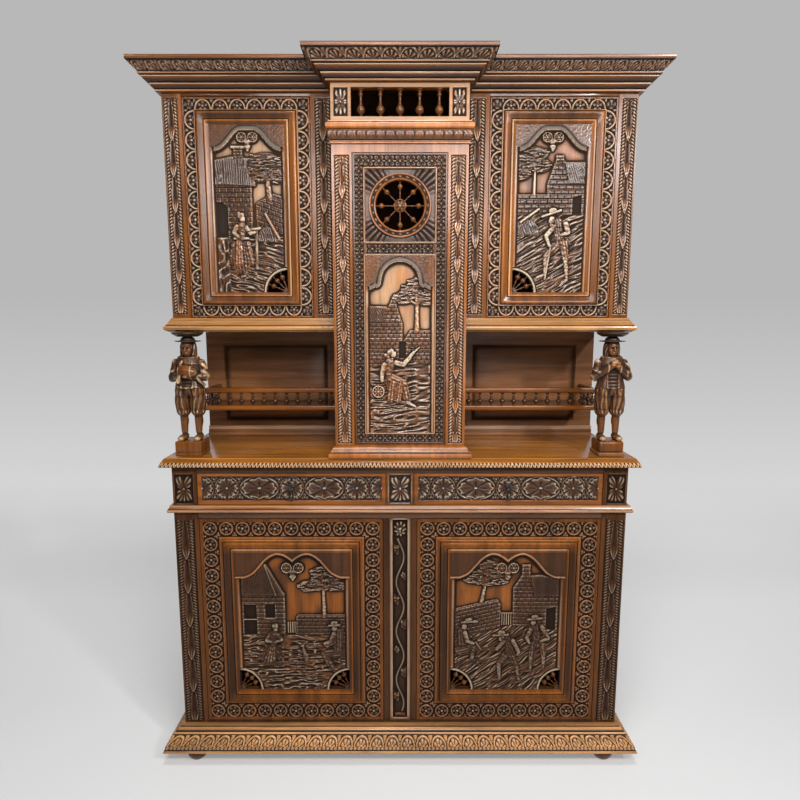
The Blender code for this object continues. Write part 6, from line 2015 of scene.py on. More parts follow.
def make_pulls():
    """Turned drop pulls on a lobed plate."""
    for side, _ in SIDES:
        node = f"drawer_{side}_pull_plate"
        low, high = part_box(node)
        x, z = (low.x + high.x) / 2, (low.z + high.z) / 2
        face = high.y
        facing = Matrix.Translation((x, face, z)) @ Matrix.Rotation(math.pi / 2, 4, "X")
        rosace = turned("plate", [(0.0, 0.0), (0.0102, 0.0), (0.0108, 0.0012), (0.0098, 0.0022), (0.0080, 0.0022),
                                  (0.0070, 0.0030), (0.0040, 0.0040), (0.0, 0.0044)], 40, facing)
        spots = places(rosace)
        u, v = spots[:, 0] - x, spots[:, 2] - z
        far, angle = np.hypot(u, v), np.arctan2(v, u)
        scale = 1 + 0.07 * np.cos(angle * 8) * (far > 0.0075)
        spots[:, 0], spots[:, 2] = x + u * scale, z + v * scale
        set_places(rosace, spots)
        eye = planed("eye", (x - 0.0018, low.y, z - 0.0045), (x + 0.0018, face - 0.003, z + 0.0045), bevel=0.0008)
        hand_over(joined("plate", [rosace, eye]), node, forged_iron())
        node = f"drawer_{side}_pull_drop"
        low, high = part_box(node)
        top, y = high.z, (low.y + high.y) / 2
        pivot = (x, y, z)
        shells = [turned("pin", [(0.0, -0.0063), (0.0015, -0.0063), (0.0016, 0.0063), (0.0, 0.0063)], 16,
                         Matrix.Translation(pivot) @ Matrix.Rotation(math.pi / 2, 4, "Y"))]
        for way in (-1, 1):
            near, far = x + way * 0.0024, x + way * 0.0066
            shells.append(
                planed("cheek", (near, y - 0.0025, pivot[2] - 0.0125), (far, y + 0.0025, top), bevel=0.0009))
        shells.append(planed(
            "bridge", (x - 0.0066, y - 0.0026, pivot[2] - 0.0150), (x + 0.0066, y + 0.0026, pivot[2] - 0.0095),
            bevel=0.001))
        reach = pivot[2] - 0.010 - low.z
        shape = ((0.0, 1.0), (0.20, 1.0), (0.42, 0.97), (0.78, 0.90), (0.98, 0.80), (1.0, 0.76), (0.90, 0.66),
                 (0.62, 0.52),
                 (0.38, 0.38), (0.28, 0.24), (0.30, 0.17), (0.48, 0.13), (0.50, 0.09), (0.36, 0.05), (0.40, 0.0),
                 (0.0, 0.0))
        profile = [(share * 0.0075, -0.010 - down * reach) for share, down in shape]
        shells.append(turned("drop", profile, 28, Matrix.Translation(pivot)))
        hand_over(joined("drop", shells), node, forged_iron())


# Upper stage


def make_niche():
    """Panelled back of the upper stage with a stepped foot and boards behind."""
    low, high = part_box("upper_back")
    middle = BACK - 0.012
    panel_z, panel_x = (1.058, 1.336), [sorted((sign * 0.262, sign * 0.638)) for _, sign in SIDES]
    steps = (-0.026, -0.010, -0.006, 0.0, 0.006, 0.010, 0.026)
    marks_x, marks_z = [[edge + d for edge in edges for d in steps] for edges in (sum(panel_x, []), panel_z)]
    relief = Relief((low.x, high.x), (low.z, high.z), 0.06, marks_x, marks_z)
    # Painted shade: the back darkens towards the ledge above it and is darker still above the ledge; below, the
    # grooves round each panel are dark
    shade = 0.55 - 0.35 * smooth((relief.z - 1.20) / 0.15)
    relief.tone[:] = np.where(relief.z > LEDGE_HIGH, -0.45, shade)
    for x in panel_x:
        side = from_sides(relief.x, relief.z, x, panel_z)
        made = np.interp(side, [0.0, 0.006, 0.010, 0.026], [0.0, -0.008, -0.008, -0.002])
        relief.rise = np.where(side > 0, made, relief.rise)
        slope = (side > 0.010) & (side < 0.0255)
        relief.tone = np.where(np.abs(side - 0.006) < 0.0045, -0.5, np.where(slope, 0.30, relief.tone))
    shells = [carved_board("niche", relief, NICHE + SEAT, middle - 0.0002)]
    shells.append(planks("boards", (low.x, middle, low.z), (high.x, BACK, high.z), 8, 0.3, 2))
    # The treads are toned light and dark in turn: painted highlight on the front steps, painted shade on the set-back
    # ones
    treads = (
        (0.020, 0.009, 0.9), (0.013, 0.0125, -0.9), (0.016, 0.022, 0.25), (0.009, 0.0262, -0.9), (0.012, 0.034, 1.5))
    for _, sign in SIDES:
        near, far = sign * (COLUMN + 0.0203), sign * (HALF - SEAT)
        for out, tall, tone in treads:
            start, end = (near, NICHE + SEAT - out, low.z), (far, NICHE + 0.004, low.z + tall)
            shells.append(planed("foot", start, end, tone, 0.0008))
    hand_over(joined("niche", shells), "upper_back", oak("niche"), 30)


def make_galleries():
    """Small spindle-fenced shelves in the niche."""
    low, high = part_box("gallery_left")
    inner, outer, front, rear = high.x, low.x, low.y, high.y
    shelf, rail = (low.z, low.z + 0.017), (high.z - 0.0165, high.z)
    # The nose of each edge is toned lightest: painted highlight
    shape = (
        (0.25, 0.0, 0.4), (0.6, 0.12, 0.6), (0.85, 0.35, 1.0), (1.0, 0.6, 1.1), (0.9, 0.85, 1.0), (0.4, 1.0, 0.5))
    out = 0.004
    shells = [
        edged_slab(name, (outer, inner), (front, end), scaled(shape, out, *z, -out), ("left", "front"))
        for name, end, z in (("shelf", rear, shelf), ("rail", front + 0.016, rail))]
    shells.append(planed("end_rail", (outer, front + 0.012, rail[0]), (outer + 0.016, rear, rail[1]), 0.3, 0.003))
    centre_y, centre_x = front + 0.008, outer + 0.008
    count = round((inner - centre_x) / 0.040)
    pitch = (inner - centre_x) / count
    spots = [(centre_x + pitch * i, centre_y) for i in range(count)]
    returns = round((rear - centre_y) / 0.040)
    spots += [(centre_x, centre_y + (rear - centre_y) / returns * i) for i in range(1, returns)]
    first = spindle("baluster", (0, 0, shelf[1] - 0.001), (0, 0, rail[0] + 0.001), 0.0185, BALUSTER, 14, 0.10)
    shells += [copied(first, Matrix.Translation((x, y, 0))) for x, y in spots]
    bpy.data.objects.remove(first)
    both_sides(joined("gallery", shells), "gallery", oak("lengthwise"))


def make_upper_case():
    """Moulded ledges, carved outer stiles and framed sides of the upper cupboards."""
    low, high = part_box("upper_outer_stile_left")
    inner = high.x - 0.011
    stile = leaf_stile(
        "stile", (low.x, high.x), (low.z, high.z), (low.x + 0.004, inner), (inner, high.x), low.y, high.y)
    both_sides(stile, "upper_outer_stile", oak("upright"))
    side = fielded("side", *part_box("upper_side_left"), (-1, 0, 0), 0.055)
    both_sides(side, "upper_side", oak("upright"), 30)
    # Tones of -1.0 paint shade in the groove and the round nose is toned lightest, painted highlight; all tones are
    # scaled by 0.60
    shape = (
        (0.30, 0.0, 0.2), (0.55, 0.03, 0.5), (0.62, 0.08, 0.4), (0.80, 0.11, 0.7), (0.95, 0.16, 1.0),
        (1.0, 0.24, 1.0), (1.0, 0.32, 1.0),
        (0.95, 0.40, 1.0), (0.86, 0.43, 0.6), (0.76, 0.44, -1.0), (0.76, 0.47, -1.0), (0.76, 0.50, 0.4),
        (0.66, 0.56, 0.5), (0.54, 0.64, 0.6), (0.46, 0.74, 0.7),
        (0.42, 0.80, 0.9), (0.34, 0.82, 0.5), (0.30, 0.84, 0.5), (0.24, 0.94, 0.8), (0.16, 1.0, 0.8),
    )
    levels = scaled(shape, 0.023, LEDGE_LOW, LEDGE_HIGH, glow=0.60)
    ledge = edged_slab("ledge", (-HALF, -COLUMN - SEAT), (UPPER, NICHE), levels, ("left", "front"))
    both_sides(ledge, "upper_ledge", oak("waxed"), 35)


def make_column():
    """Column sides with carved inner stiles, and the carved face frame with base, frieze and torus."""
    low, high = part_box("column_side_left")
    inner = low.x + 0.012
    shells = [leaf_stile(
        "inner_stile", (low.x, -COLUMN), (LEDGE_HIGH + SEAT, high.z), (inner, -COLUMN - 0.008), (low.x, inner),
        UPPER, UPPER + FRAME_DEPTH)]
    wall_low = (-COLUMN, FRONT + FRAME_DEPTH + SEAT, low.z)
    shells.append(planed("wall", wall_low, (high.x, NICHE, high.z), 0.3))
    both_sides(joined("column_side", shells), "column_side", oak("upright"))
    make_column_face()


def frieze_carving(along, rise, pitch):
    """Overlapping leaves round a cushion frieze."""
    low, high = FRIEZE
    up = (rise - low) / (high - low)
    band = smooth((up - 0.16) / 0.10) * smooth((0.88 - up) / 0.10)
    cell = np.abs(along % 1.0 - 0.5) * 2
    veins = np.abs(((along * 3 + up * 0.9 * np.sign(along % 1.0 - 0.5)) % 1.0) - 0.5) * 2
    return 0.0022 * band * (0.5 * dome(cell, 0.95) + 0.6 * veins - 0.5)


FRIEZE = (1.9206, 1.9521)
# Tones below zero paint shade under the fillet and tones above 1.05 a sheen on its face
FILLET = ((0.0, 0.0, 0.3), (0.3, 0.0, -0.8), (1.0, 0.35, 0.8), (1.0, 0.75, 1.2), (0.5, 1.0, 0.6), (0.0, 1.0, 0.3))


def make_column_face():
    """Face frame of the column."""
    low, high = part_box("column_face_frame")
    door_low, door_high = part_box("centre_door_frame")
    hole_x = shrunk((door_low.x, door_high.x), -0.002)
    hole_z = shrunk((door_low.z, door_high.z), -0.002)
    relief = Relief((-COLUMN, COLUMN), (low.z, high.z), grid_step(), hole_x, hole_z)
    relief.tone[:] = 0.52
    span = (hole_z[0] + 0.004, hole_z[1] - 0.008)
    for sign in (-1, 1):
        chain = sorted((sign * (abs(hole_x[1]) + 0.0075), sign * (COLUMN - 0.0075)))
        leaf_chain(relief, chain, span, widths=SLIM_LEAF, tone=0.34)
    shells = [carved_board("face", relief, FRONT, FRONT + FRAME_DEPTH, rectangle_gone(hole_x, hole_z))]
    path = around(COLUMN, FRONT, UPPER - SEAT)
    # In these sections tones of -1.0 paint shade in the grooves and tones above 1.05 paint sheen on the fillets
    base = ((0.0, 0.0, 0.3), (1.0, 0.0, 0.6), (1.0, 0.30, 0.9), (0.94, 0.40, 0.9), (0.80, 0.44, 0.5),
            (0.76, 0.45, -1.0), (0.76, 0.49, -1.0), (0.76, 0.52, 0.4), (0.60, 0.60, 0.6),
            (0.44, 0.72, 0.7), (0.38, 0.84, 0.6), (0.34, 0.88, 0.95), (0.26, 0.96, 0.95), (0.16, 1.0, 0.5),
            (0.0, 1.0, 0.3))
    torus = ((0.0, 0.0, 0.3), (0.50, 0.0, 0.6), (0.72, 0.05, 0.6), (0.90, 0.16, 0.85), (1.0, 0.32, 1.05),
             (1.0, 0.52, 1.10),
             (0.90, 0.68, 0.95), (0.70, 0.78, 0.5), (0.60, 0.79, -1.0), (0.60, 0.84, -1.0), (0.60, 0.88, 1.5),
             (0.46, 1.0, 1.5), (0.0, 1.0, 0.3))
    cushion = ((0.0, 0.0, 0.3), (0.40, 0.0, 0.5), (0.42, 0.07, 0.8), (0.20, 0.09, -1.0), (0.24, 0.13, -1.0),
               (0.48, 0.22, 0.15), (0.82, 0.38, 0.15), (1.0, 0.56, 0.2),
               (1.0, 0.74, 0.25), (0.86, 0.88, 0.25), (0.60, 0.90, -1.0), (0.60, 0.94, -1.0), (0.60, 1.0, 0.8),
               (0.0, 1.0, 0.3))
    torus_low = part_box("spindle_frieze")[0].z - 0.0246
    for shape, bottom, tall, out in (
        (base, TABLE_HIGH + SEAT, 0.034, 0.020), (torus, torus_low, 0.0243, 0.014),
        (FILLET, FRIEZE[0] - 0.0064, 0.006, 0.004),
    ):
        section = scaled(shape, out - SEAT, bottom, bottom + tall, SEAT)
        shells.append(swept("band", path, section, in_plan))
    shells.append(swept(
        "frieze", path, scaled(cushion, 0.0105, *FRIEZE, SEAT), in_plan, step=grid_step(), pitch=0.026,
        carved=frieze_carving, fine=grid_step(), band=FRIEZE))
    hand_over(joined("face", shells), "column_face_frame", oak("column"))


def make_attic():
    """Open attic frame with five spindles and two paterae."""
    low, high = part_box("spindle_frieze")
    half, opening_z = 0.139, (low.z + 0.012, high.z - 0.0117)
    relief = Relief((low.x, high.x), (low.z, high.z), grid_step(), (-half, half), opening_z)
    # The attic frame is toned into the silvery colour: painted sheen
    relief.tone[:] = 1.48
    middle = sum(opening_z) / 2
    for _, sign in SIDES:
        x = sign * (half + COLUMN) / 2
        spot = (x - 0.0195, x + 0.0195), (middle - 0.0385, middle + 0.0385)
        sunk_block(relief, *spot, patera, 0.0028, 0.0058, 0.15)
    shells = [carved_board("attic", relief, low.y, high.y, rectangle_gone((-half, half), opening_z))]
    shape = ((0.0, 0.0), (0.36, 0.0), (0.30, 0.06), (0.28, 0.11), (0.54, 0.14), (0.86, 0.19), (1.0, 0.27),
             (0.86, 0.35), (0.54, 0.41),
             (0.36, 0.47), (0.30, 0.58), (0.30, 0.74), (0.52, 0.78), (0.52, 0.81), (0.30, 0.85), (0.34, 0.90),
             (0.76, 0.93), (0.76, 0.97),
             (0.50, 1.0), (0.0, 1.0))
    y = (low.y + high.y) / 2
    for i in range(5):
        x = -half + 2 * half * (i + 0.5) / 5
        ends = [(x, y, level) for level in shrunk(opening_z, -0.001)]
        shells.append(spindle("attic_spindle", *ends, 0.0245, shape, 20, 0.30))
    hand_over(joined("attic", shells), "spindle_frieze", oak("lengthwise"))


CORNICE_BAND = (2.1200, 2.1415)


def cornice_carving(along, rise, pitch):
    """Fans of leaves side by side, an arch round each."""
    low, high = CORNICE_BAND
    up = (rise - low) / (high - low)
    band = smooth((up - 0.02) / 0.08) * smooth((1.0 - up) / 0.08)
    cell = (along % 1.0 - 0.5) * 2
    far, angle = np.hypot(cell * 0.95, up), np.arctan2(up + 1e-6, cell)
    rays = np.abs(np.cos(angle * 4.5)) ** 0.7 * smooth((0.92 - far) / 0.15) * (0.4 + 0.6 * far)
    arch = dome(far - 0.98, 0.13)
    dart = dome(1 - abs(cell), 0.24) * smooth((up - 0.25) / 0.2)
    made = np.maximum(np.maximum(rays, 0.9 * arch), 0.85 * dart)
    return band * (0.0056 * made - 0.0024)


def make_cornice():
    """Cornice with a carved leaf band, its dust board and head rails."""
    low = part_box("cornice")[0].z
    bottom = low + 0.009
    left = [(-HALF, BACK), (-HALF, UPPER), (-COLUMN, UPPER), (-COLUMN, FRONT)]
    path = left + [(-x, y) for x, y in left[::-1]]
    # Tones below zero paint shade in the grooves, the coves and under the top fascia; tones of 1.55 and more paint
    # sheen on the fillets
    steps = (
        (0.0118, 0.0, 0.4), (0.0125, 0.0004, 1.0), (0.0125, 0.0050, 1.6), (0.0110, 0.0052, -1.0),
        (0.0110, 0.0072, -1.0), (0.0150, 0.0074, -0.25),
        (0.0185, 0.0094, -0.15), (0.0205, 0.0122, 0.05), (0.0215, 0.0150, 0.5), (0.0235, 0.0152, 1.0),
        (0.0240, 0.0158, 1.55), (0.0240, 0.0186, 1.55),
        (0.0222, 0.0188, -1.0), (0.0222, 0.0208, -1.0), (0.0270, 0.0210, -0.25), (0.0320, 0.0229, -0.15),
        (0.0352, 0.0260, 0.05), (0.0368, 0.0298, 0.5),
        (0.0390, 0.0300, 1.0), (0.0396, 0.0306, 1.6), (0.0396, 0.0334, 1.6), (0.0376, 0.0336, -1.0),
        (0.0376, 0.0352, -1.0), (0.0440, 0.0354, 0.1),
        (0.0468, 0.0360, 0.7), (0.0476, 0.0370, 1.6), (0.0476, 0.0388, 1.6), (0.0462, 0.0396, 0.6),
        (0.0440, 0.0398, -1.0), (0.0440, 0.0410, -1.0),
    )
    section = [(-0.020, bottom, 0.2)] + [(out, bottom + rise, tone) for out, rise, tone in steps] + [
        (0.0448, CORNICE_BAND[0], -0.1), (0.0470, 2.1245, 0.10), (0.0515, 2.1300, 0.35), (0.0575, 2.1350, 0.35),
        (0.0630, 2.1390, 0.12),
        (0.0655, CORNICE_BAND[1], -0.3), (0.0680, CORNICE_BAND[1] + 0.0004, -0.8),
        (0.0700, CORNICE_BAND[1] + 0.0020, -0.6),
        (0.0705, CORNICE_BAND[1] + 0.0026, 0.55), (0.0705, CORNICE_TOP - 0.001, 0.55), (0.0695, CORNICE_TOP, 0.5),
        (-0.020, CORNICE_TOP, 0.2),
    ]
    shells = [swept(
        "cornice", path, section, in_plan, step=grid_step(1.1), pitch=carving().cornice_leaf, carved=cornice_carving,
        fine=grid_step(), band=CORNICE_BAND)]
    for name, half, y, z in (
        ("dust_board", HALF - 0.01, (UPPER + 0.01, BACK - 0.014), (2.0853, 2.0993)),
        ("dust_board", COLUMN - 0.01, (FRONT + 0.01, UPPER + 0.02), (2.0855, 2.0991)),
        ("back_rail", HALF - 0.012, (BACK - 0.022, BACK - 0.0005), (bottom + SEAT, 2.0990)),
    ):
        shells.append(planed(name, (-half, y[0], z[0]), (half, y[1], z[1])))
    for _, sign in SIDES:
        near, far = sign * 0.2643, sign * 0.6427
        shells.append(planed("head_rail", (near, UPPER, low), (far, UPPER + FRAME_DEPTH, 2.0923), 0.3))
    hand_over(joined("cornice", shells), "cornice", oak("lengthwise"), 40)


# Figures


def ball(name, centre, radii, turn=(0, 0, 0)):
    """Rounded lump of a figure."""
    put_down()
    bpy.ops.mesh.primitive_uv_sphere_add(segments=28, ring_count=18, radius=1.0, calc_uvs=False)
    piece = bpy.context.object
    piece.name = piece.data.name = name
    place = Matrix.Translation(centre)
    for angle, axis in zip(turn[::-1], "ZYX"):
        place = place @ Matrix.Rotation(angle, 4, axis)
    piece.data.transform(place @ Matrix.Diagonal((*radii, 1.0)))
    return piece


def limb_of(start, end, thick, thin):
    """Rounded limb of a figure."""
    length = (Vector(end) - Vector(start)).length
    profile = [
        (0.0, -thick * 0.7), (thick * 0.6, -thick * 0.55), (thick, 0.0), ((thick + thin) / 2 * 1.04, length / 2),
        (thin, length), (thin * 0.6, length + thin * 0.55), (0.0, length + thin * 0.7)]
    return turned("limb", profile, 20, between(start, end), count=22)


# Parts of a figure: across and forward in metres, rise as a share of its height, then three half sizes
TRUNK = (
    ("head", 0, 0.004, 0.890, (0.0175, 0.0200, 0.0262)), ("jaw", 0, 0.010, 0.850, (0.0125, 0.0130, 0.0140)),
    ("nose", 0, 0.0250, 0.880, (0.0030, 0.0042, 0.0072), (0.25, 0, 0)),
    ("nose_tip", 0, 0.0268, 0.868, (0.0038, 0.0036, 0.0032)), ("brow", 0, 0.0195, 0.906, (0.0130, 0.0050, 0.0032)),
    ("lip", 0, 0.0212, 0.848, (0.0056, 0.0030, 0.0016)), ("lip_low", 0, 0.0206, 0.841, (0.0048, 0.0030, 0.0018)),
    ("chest", 0, 0.0, 0.700, (0.0400, 0.0270, 0.0400)), ("waist", 0, 0.002, 0.610, (0.0350, 0.0255, 0.0450)),
    ("hips", 0, 0, 0.515, (0.0400, 0.0300, 0.0330)),
)
PAIRED = (
    ("cheek", 0.0085, 0.0158, 0.868, (0.0060, 0.0056, 0.0066)),
    ("eye", 0.0070, 0.0192, 0.891, (0.0032, 0.0024, 0.0022)),
    ("hair", 0.0170, -0.003, 0.858, (0.0070, 0.0140, 0.0310)),
    ("hair_back", 0.009, -0.013, 0.860, (0.0130, 0.0090, 0.0340)),
    ("seat", 0.0210, -0.001, 0.470, (0.0235, 0.0290, 0.0400)),
    ("breech", 0.0225, 0.0, 0.380, (0.0240, 0.0275, 0.0520)),
    ("knee", 0.0225, 0.0, 0.300, (0.0215, 0.0245, 0.0250)), ("band", 0.0225, 0.0005, 0.256, (0.0155, 0.0165, 0.0075)),
    ("calf", 0.0226, -0.0035, 0.190, (0.0122, 0.0122, 0.0260)),
    ("shoe", 0.0240, 0.012, 0.030, (0.0120, 0.0260, 0.0098)),
    ("heel", 0.0230, -0.004, 0.036, (0.0108, 0.0130, 0.0120)),
    ("toe", 0.0250, 0.028, 0.026, (0.0105, 0.0110, 0.0082)),
)
# Shoulder, elbow and wrist of each arm
ARMS_WITH_BAG = (
    ((-0.036, 0.0, 0.757), (-0.051, 0.004, 0.600), (-0.008, 0.038, 0.655)),
    ((0.036, 0.0, 0.757), (0.052, 0.006, 0.612), (0.004, 0.040, 0.630)),
)
ARMS_RAISED = (
    ((-0.036, 0.0, 0.757), (-0.052, 0.004, 0.605), (-0.004, 0.034, 0.735)),
    ((0.036, 0.0, 0.757), (0.053, 0.004, 0.610), (0.006, 0.034, 0.725)),
)
# Turned profiles: radius in metres, rise as a share of the height
COAT = (
    (0.0, 0.505), (0.0400, 0.505), (0.0445, 0.512), (0.0425, 0.54), (0.0375, 0.60), (0.0370, 0.67), (0.0400, 0.745),
    (0.0300, 0.805), (0.0, 0.815),
)
HAT = (
    (0.0, 0.945), (0.0215, 0.945), (0.0330, 0.948), (0.0385, 0.953), (0.0390, 0.960), (0.0330, 0.957),
    (0.0235, 0.958),
    (0.0215, 0.966), (0.0200, 0.980), (0.0150, 0.994), (0.0, 1.001),
)
CAPITAL = ((0.0, -0.001), (0.030, -0.001), (0.036, 0.002), (0.043, 0.0060), (0.046, 0.0085))


def make_figure(side, sign):
    """Standing country man in hat, jacket and baggy breeches, on a block and under a small capital."""
    x, y = sign * (HALF - 0.052), FRONT + 0.046
    ground, crown = TABLE_HIGH + 0.0453, LEDGE_LOW - 0.0123
    tall = crown - ground
    lumps = []

    def at(across, forward, rise):
        return (x + across, y - forward, ground + rise * tall)

    def lump(label, across, forward, rise, radii, turn=(0, 0, 0)):
        lumps.append(ball(label, at(across, forward, rise), radii, turn))

    def limb(start, end, thick, thin):
        lumps.append(limb_of(at(*start), at(*end), thick, thin))

    for row in TRUNK:
        lump(*row)
        if row[0] == "lip_low":
            limb((0, -0.002, 0.76), (0, 0, 0.84), 0.0155, 0.0125)
    limb((-0.026, 0, 0.772), (0.026, 0, 0.772), 0.0140, 0.0140)
    for hand in (-1, 1):
        for label, across, forward, rise, radii in PAIRED:
            if label == "calf":
                limb((hand * 0.0222, 0.001, 0.075), (hand * 0.0222, 0.0, 0.245), 0.0092, 0.0118)
            lump(label, hand * across, forward, rise, radii)
    if sign < 0:
        arms = ARMS_WITH_BAG
        lump("bag", 0.006, 0.036, 0.672, (0.0300, 0.0150, 0.0190), (0, 0.22, 0))
        limb((-0.012, 0.044, 0.650), (-0.016, 0.050, 0.575), 0.0040, 0.0056)
        limb((-0.016, 0.040, 0.690), (-0.008, 0.034, 0.770), 0.0034, 0.0030)
        limb((0.030, 0.030, 0.620), (0.052, 0.020, 0.540), 0.0040, 0.0056)
    else:
        arms = ARMS_RAISED
        lump("grip", 0.001, 0.036, 0.745, (0.0105, 0.0085, 0.0125))
    for shoulder, elbow, wrist in arms:
        limb(shoulder, elbow, 0.0128, 0.0118)
        limb(elbow, wrist, 0.0118, 0.0086)
        lump("hand", wrist[0], wrist[1] + 0.003, wrist[2] + 0.012, (0.0085, 0.0075, 0.0088))
        lump("cuff", *wrist, (0.0112, 0.0112, 0.0070))
    stand = Matrix.Translation((x, y, ground))
    jacket = turned("jacket", [(r, h * tall) for r, h in COAT], 40, stand @ Matrix.Diagonal((1.0, 0.72, 1.0, 1.0)))
    hat = turned("hat", [(r, h * tall) for r, h in HAT], 44, stand)
    body = joined("figure", [jacket, hat] + lumps)
    fuse = body.modifiers.new("Fuse", "REMESH")
    fuse.mode, fuse.voxel_size = "VOXEL", 0.00135
    take_up(body)
    bpy.ops.object.modifier_apply(modifier=fuse.name)
    soften = body.modifiers.new("Soften", "SMOOTH")
    soften.iterations, soften.factor = 3, 0.5
    bpy.ops.object.modifier_apply(modifier=soften.name)
    fold_clothes(body, x, y, ground, tall, sign)

    block, bottom = ground + 0.001, TABLE_HIGH + SEAT
    shells = [body]
    for name, half, low, high, tone, bevel in (
        (("block", 0.040, bottom, bottom + 0.0120, 0.55, 0.0015),
        ("block", 0.040, bottom + 0.0125, block, 0.50, 0.0025))
        if sign < 0 else
        (("slab", 0.040, bottom, bottom + 0.0110, 1.2, 0.0015), ("block", 0.038, bottom + 0.0108, block, 0.65, 0.006))
    ):
        shells.append(planed(name, (x - half, y - half, low), (x + half, y + half, high), tone, bevel))
    cap_high = LEDGE_LOW - SEAT
    cap = [(r, crown + h) for r, h in CAPITAL] + [(0.046, cap_high), (0.0, cap_high)]
    shells.append(turned("capital", cap, 48, Matrix.Translation((x, y, 0)), -0.18))
    hand_over(joined("figure", shells), f"figure_{side}", oak("figures"))


def crevices(body, normals, rounds):
    """How far each point of a mesh stands out of a softened copy of it."""
    spots = places(body)
    ends = np.empty(len(body.data.edges) * 2, np.int32)
    body.data.edges.foreach_get("vertices", ends)
    start, end = ends.reshape(-1, 2).T
    count = np.bincount(ends, minlength=len(spots))
    soft = spots.astype(float)
    for _ in range(rounds):
        sums = [np.bincount(a, soft[b, k], len(spots)) for k in range(3) for a, b in ((start, end), (end, start))]
        soft = np.stack([(sums[2 * k] + sums[2 * k + 1]) / count for k in range(3)], -1)
    return ((spots - soft) * normals).sum(1) - 0.0003


def within(value, low, low_soft, high, high_soft):
    """1 between two levels, easing in above the first and out below the second."""
    return smooth((value - low) / low_soft) * smooth((high - value) / high_soft)


def fold_clothes(body, x, y, ground, tall, sign):
    """Cuts pleats, cloth edges, hair and face hollows into a figure."""
    spots = places(body)
    normals = np.empty(len(spots) * 3, np.float32)
    body.data.vertex_normals.foreach_get("vector", normals)
    normals = normals.reshape(-1, 3)
    across, forward, rise = spots[:, 0] - x, y - spots[:, 1], (spots[:, 2] - ground) / tall
    aside, round_body = np.abs(across), np.arctan2(forward, across)
    leg = np.sign(across + 1e-9)
    angle = np.arctan2(forward, across - leg * 0.0222)
    span = within(rise, 0.262, 0.02, 0.510, 0.012)
    swirl = angle * 10 + leg * (rise - 0.26) * 16 + 6.0 * mottled(across, rise, (0.016, 0.07), 9)
    move = 0.0008 * span * np.sin(swirl)
    gather = np.exp(-((rise - 0.275) / 0.022) ** 2) + np.exp(-((rise - 0.495) / 0.022) ** 2)
    move += 0.0007 * gather * np.sin(angle * 15)
    hair = within(rise, 0.797, 0.02, 0.945, 0.01) * smooth((aside - 0.0125) / 0.004 + (forward < 0.0))
    move += 0.0012 * hair * np.sin(round_body * 16 + rise * 60)
    front = smooth((forward - 0.012) / 0.006)
    vest = front * smooth((0.034 - forward) / 0.004) * smooth((0.0165 - aside) / 0.004)
    vest = vest * within(rise, 0.512, 0.01, 0.71, 0.02)
    move += vest * (0.0006 * np.sin(rise * 2 * math.pi * 30) - 0.0012)
    edge = front * np.exp(-((aside - 0.0185) / 0.0022) ** 2) * within(rise, 0.512, 0.01, 0.77, 0.02)
    move += 0.0012 * edge
    belt = np.exp(-((rise - 0.522) / 0.012) ** 2) * smooth((0.04 - aside) / 0.004)
    move += 0.0012 * belt * (sign < 0)
    sleeve = smooth((aside - 0.036) / 0.008) * within(rise, 0.58, 0.02, 0.80, 0.02)
    move += sleeve * 0.0046 * (mottled(across * 0.8 + spots[:, 2] * 0.6, spots[:, 2], (0.009, 0.011), 15) - 0.5)
    cloth = within(rise, 0.51, 0.01, 0.64, 0.04) * smooth((aside - 0.017) / 0.003)
    move += cloth * 0.0007 * np.sin(round_body * 11)
    stocking = within(rise, 0.07, 0.01, 0.25, 0.01)
    move += stocking * 0.0003 * np.sin(angle * 12)
    for hand in (-1, 1):
        away = ((across - hand * 0.0070) / 0.0048) ** 2 + ((rise - 0.894) / 0.016) ** 2
        move -= 0.0012 * np.exp(-away) * (forward > 0.012)
    set_places(body, spots + normals * move[:, None])
    # The carve mark paints shade into the crevices between arms and body and into the folds, and a highlight on the
    # folds' ridges
    deep = (0.7 - 0.35 * (rise > 0.82)) * crevices(body, normals, 30) / 0.0016
    mark(body, "carve", np.clip(0.5 * move / 0.0026 + deep, -1, 1))
    shade = 0.10 + 0.18 * stocking + 0.16 * span + 0.12 * (rise < 0.07)
    shade = shade + 0.20 * mottled(across, spots[:, 2], (0.03, 0.04), 7)
    face = front * smooth((0.016 - aside) / 0.004) * within(rise, 0.82, 0.01, 0.945, 0.01)
    hands = smooth((forward - 0.034) / 0.006) * within(rise, 0.62, 0.02, 0.79, 0.02)
    mark(body, "tone", shade - 0.30 * (rise > 0.945) + 0.35 * face + (0.20 if sign < 0 else 0.25) * hands)


def make_figures():
    """The two figures under the ledge."""
    for side, sign in SIDES:
        make_figure(side, sign)


def dress_inside():
    """Finishes of the plain boards and pins that stay as they are."""
    set_material("base_board", oak("upright"))
    for node in ("lower_shelf", "upper_shelf_left", "upper_shelf_right"):
        set_material(node, oak("inside"))
    for node in frame["nodes"]:
        if "_pin_" in node:
            set_material(node, forged_iron())


def set_material(node, material):
    """Gives a kept piece its finish."""
    mesh = frame["nodes"][node].data
    mesh.materials.clear()
    mesh.materials.append(material)


# Stage


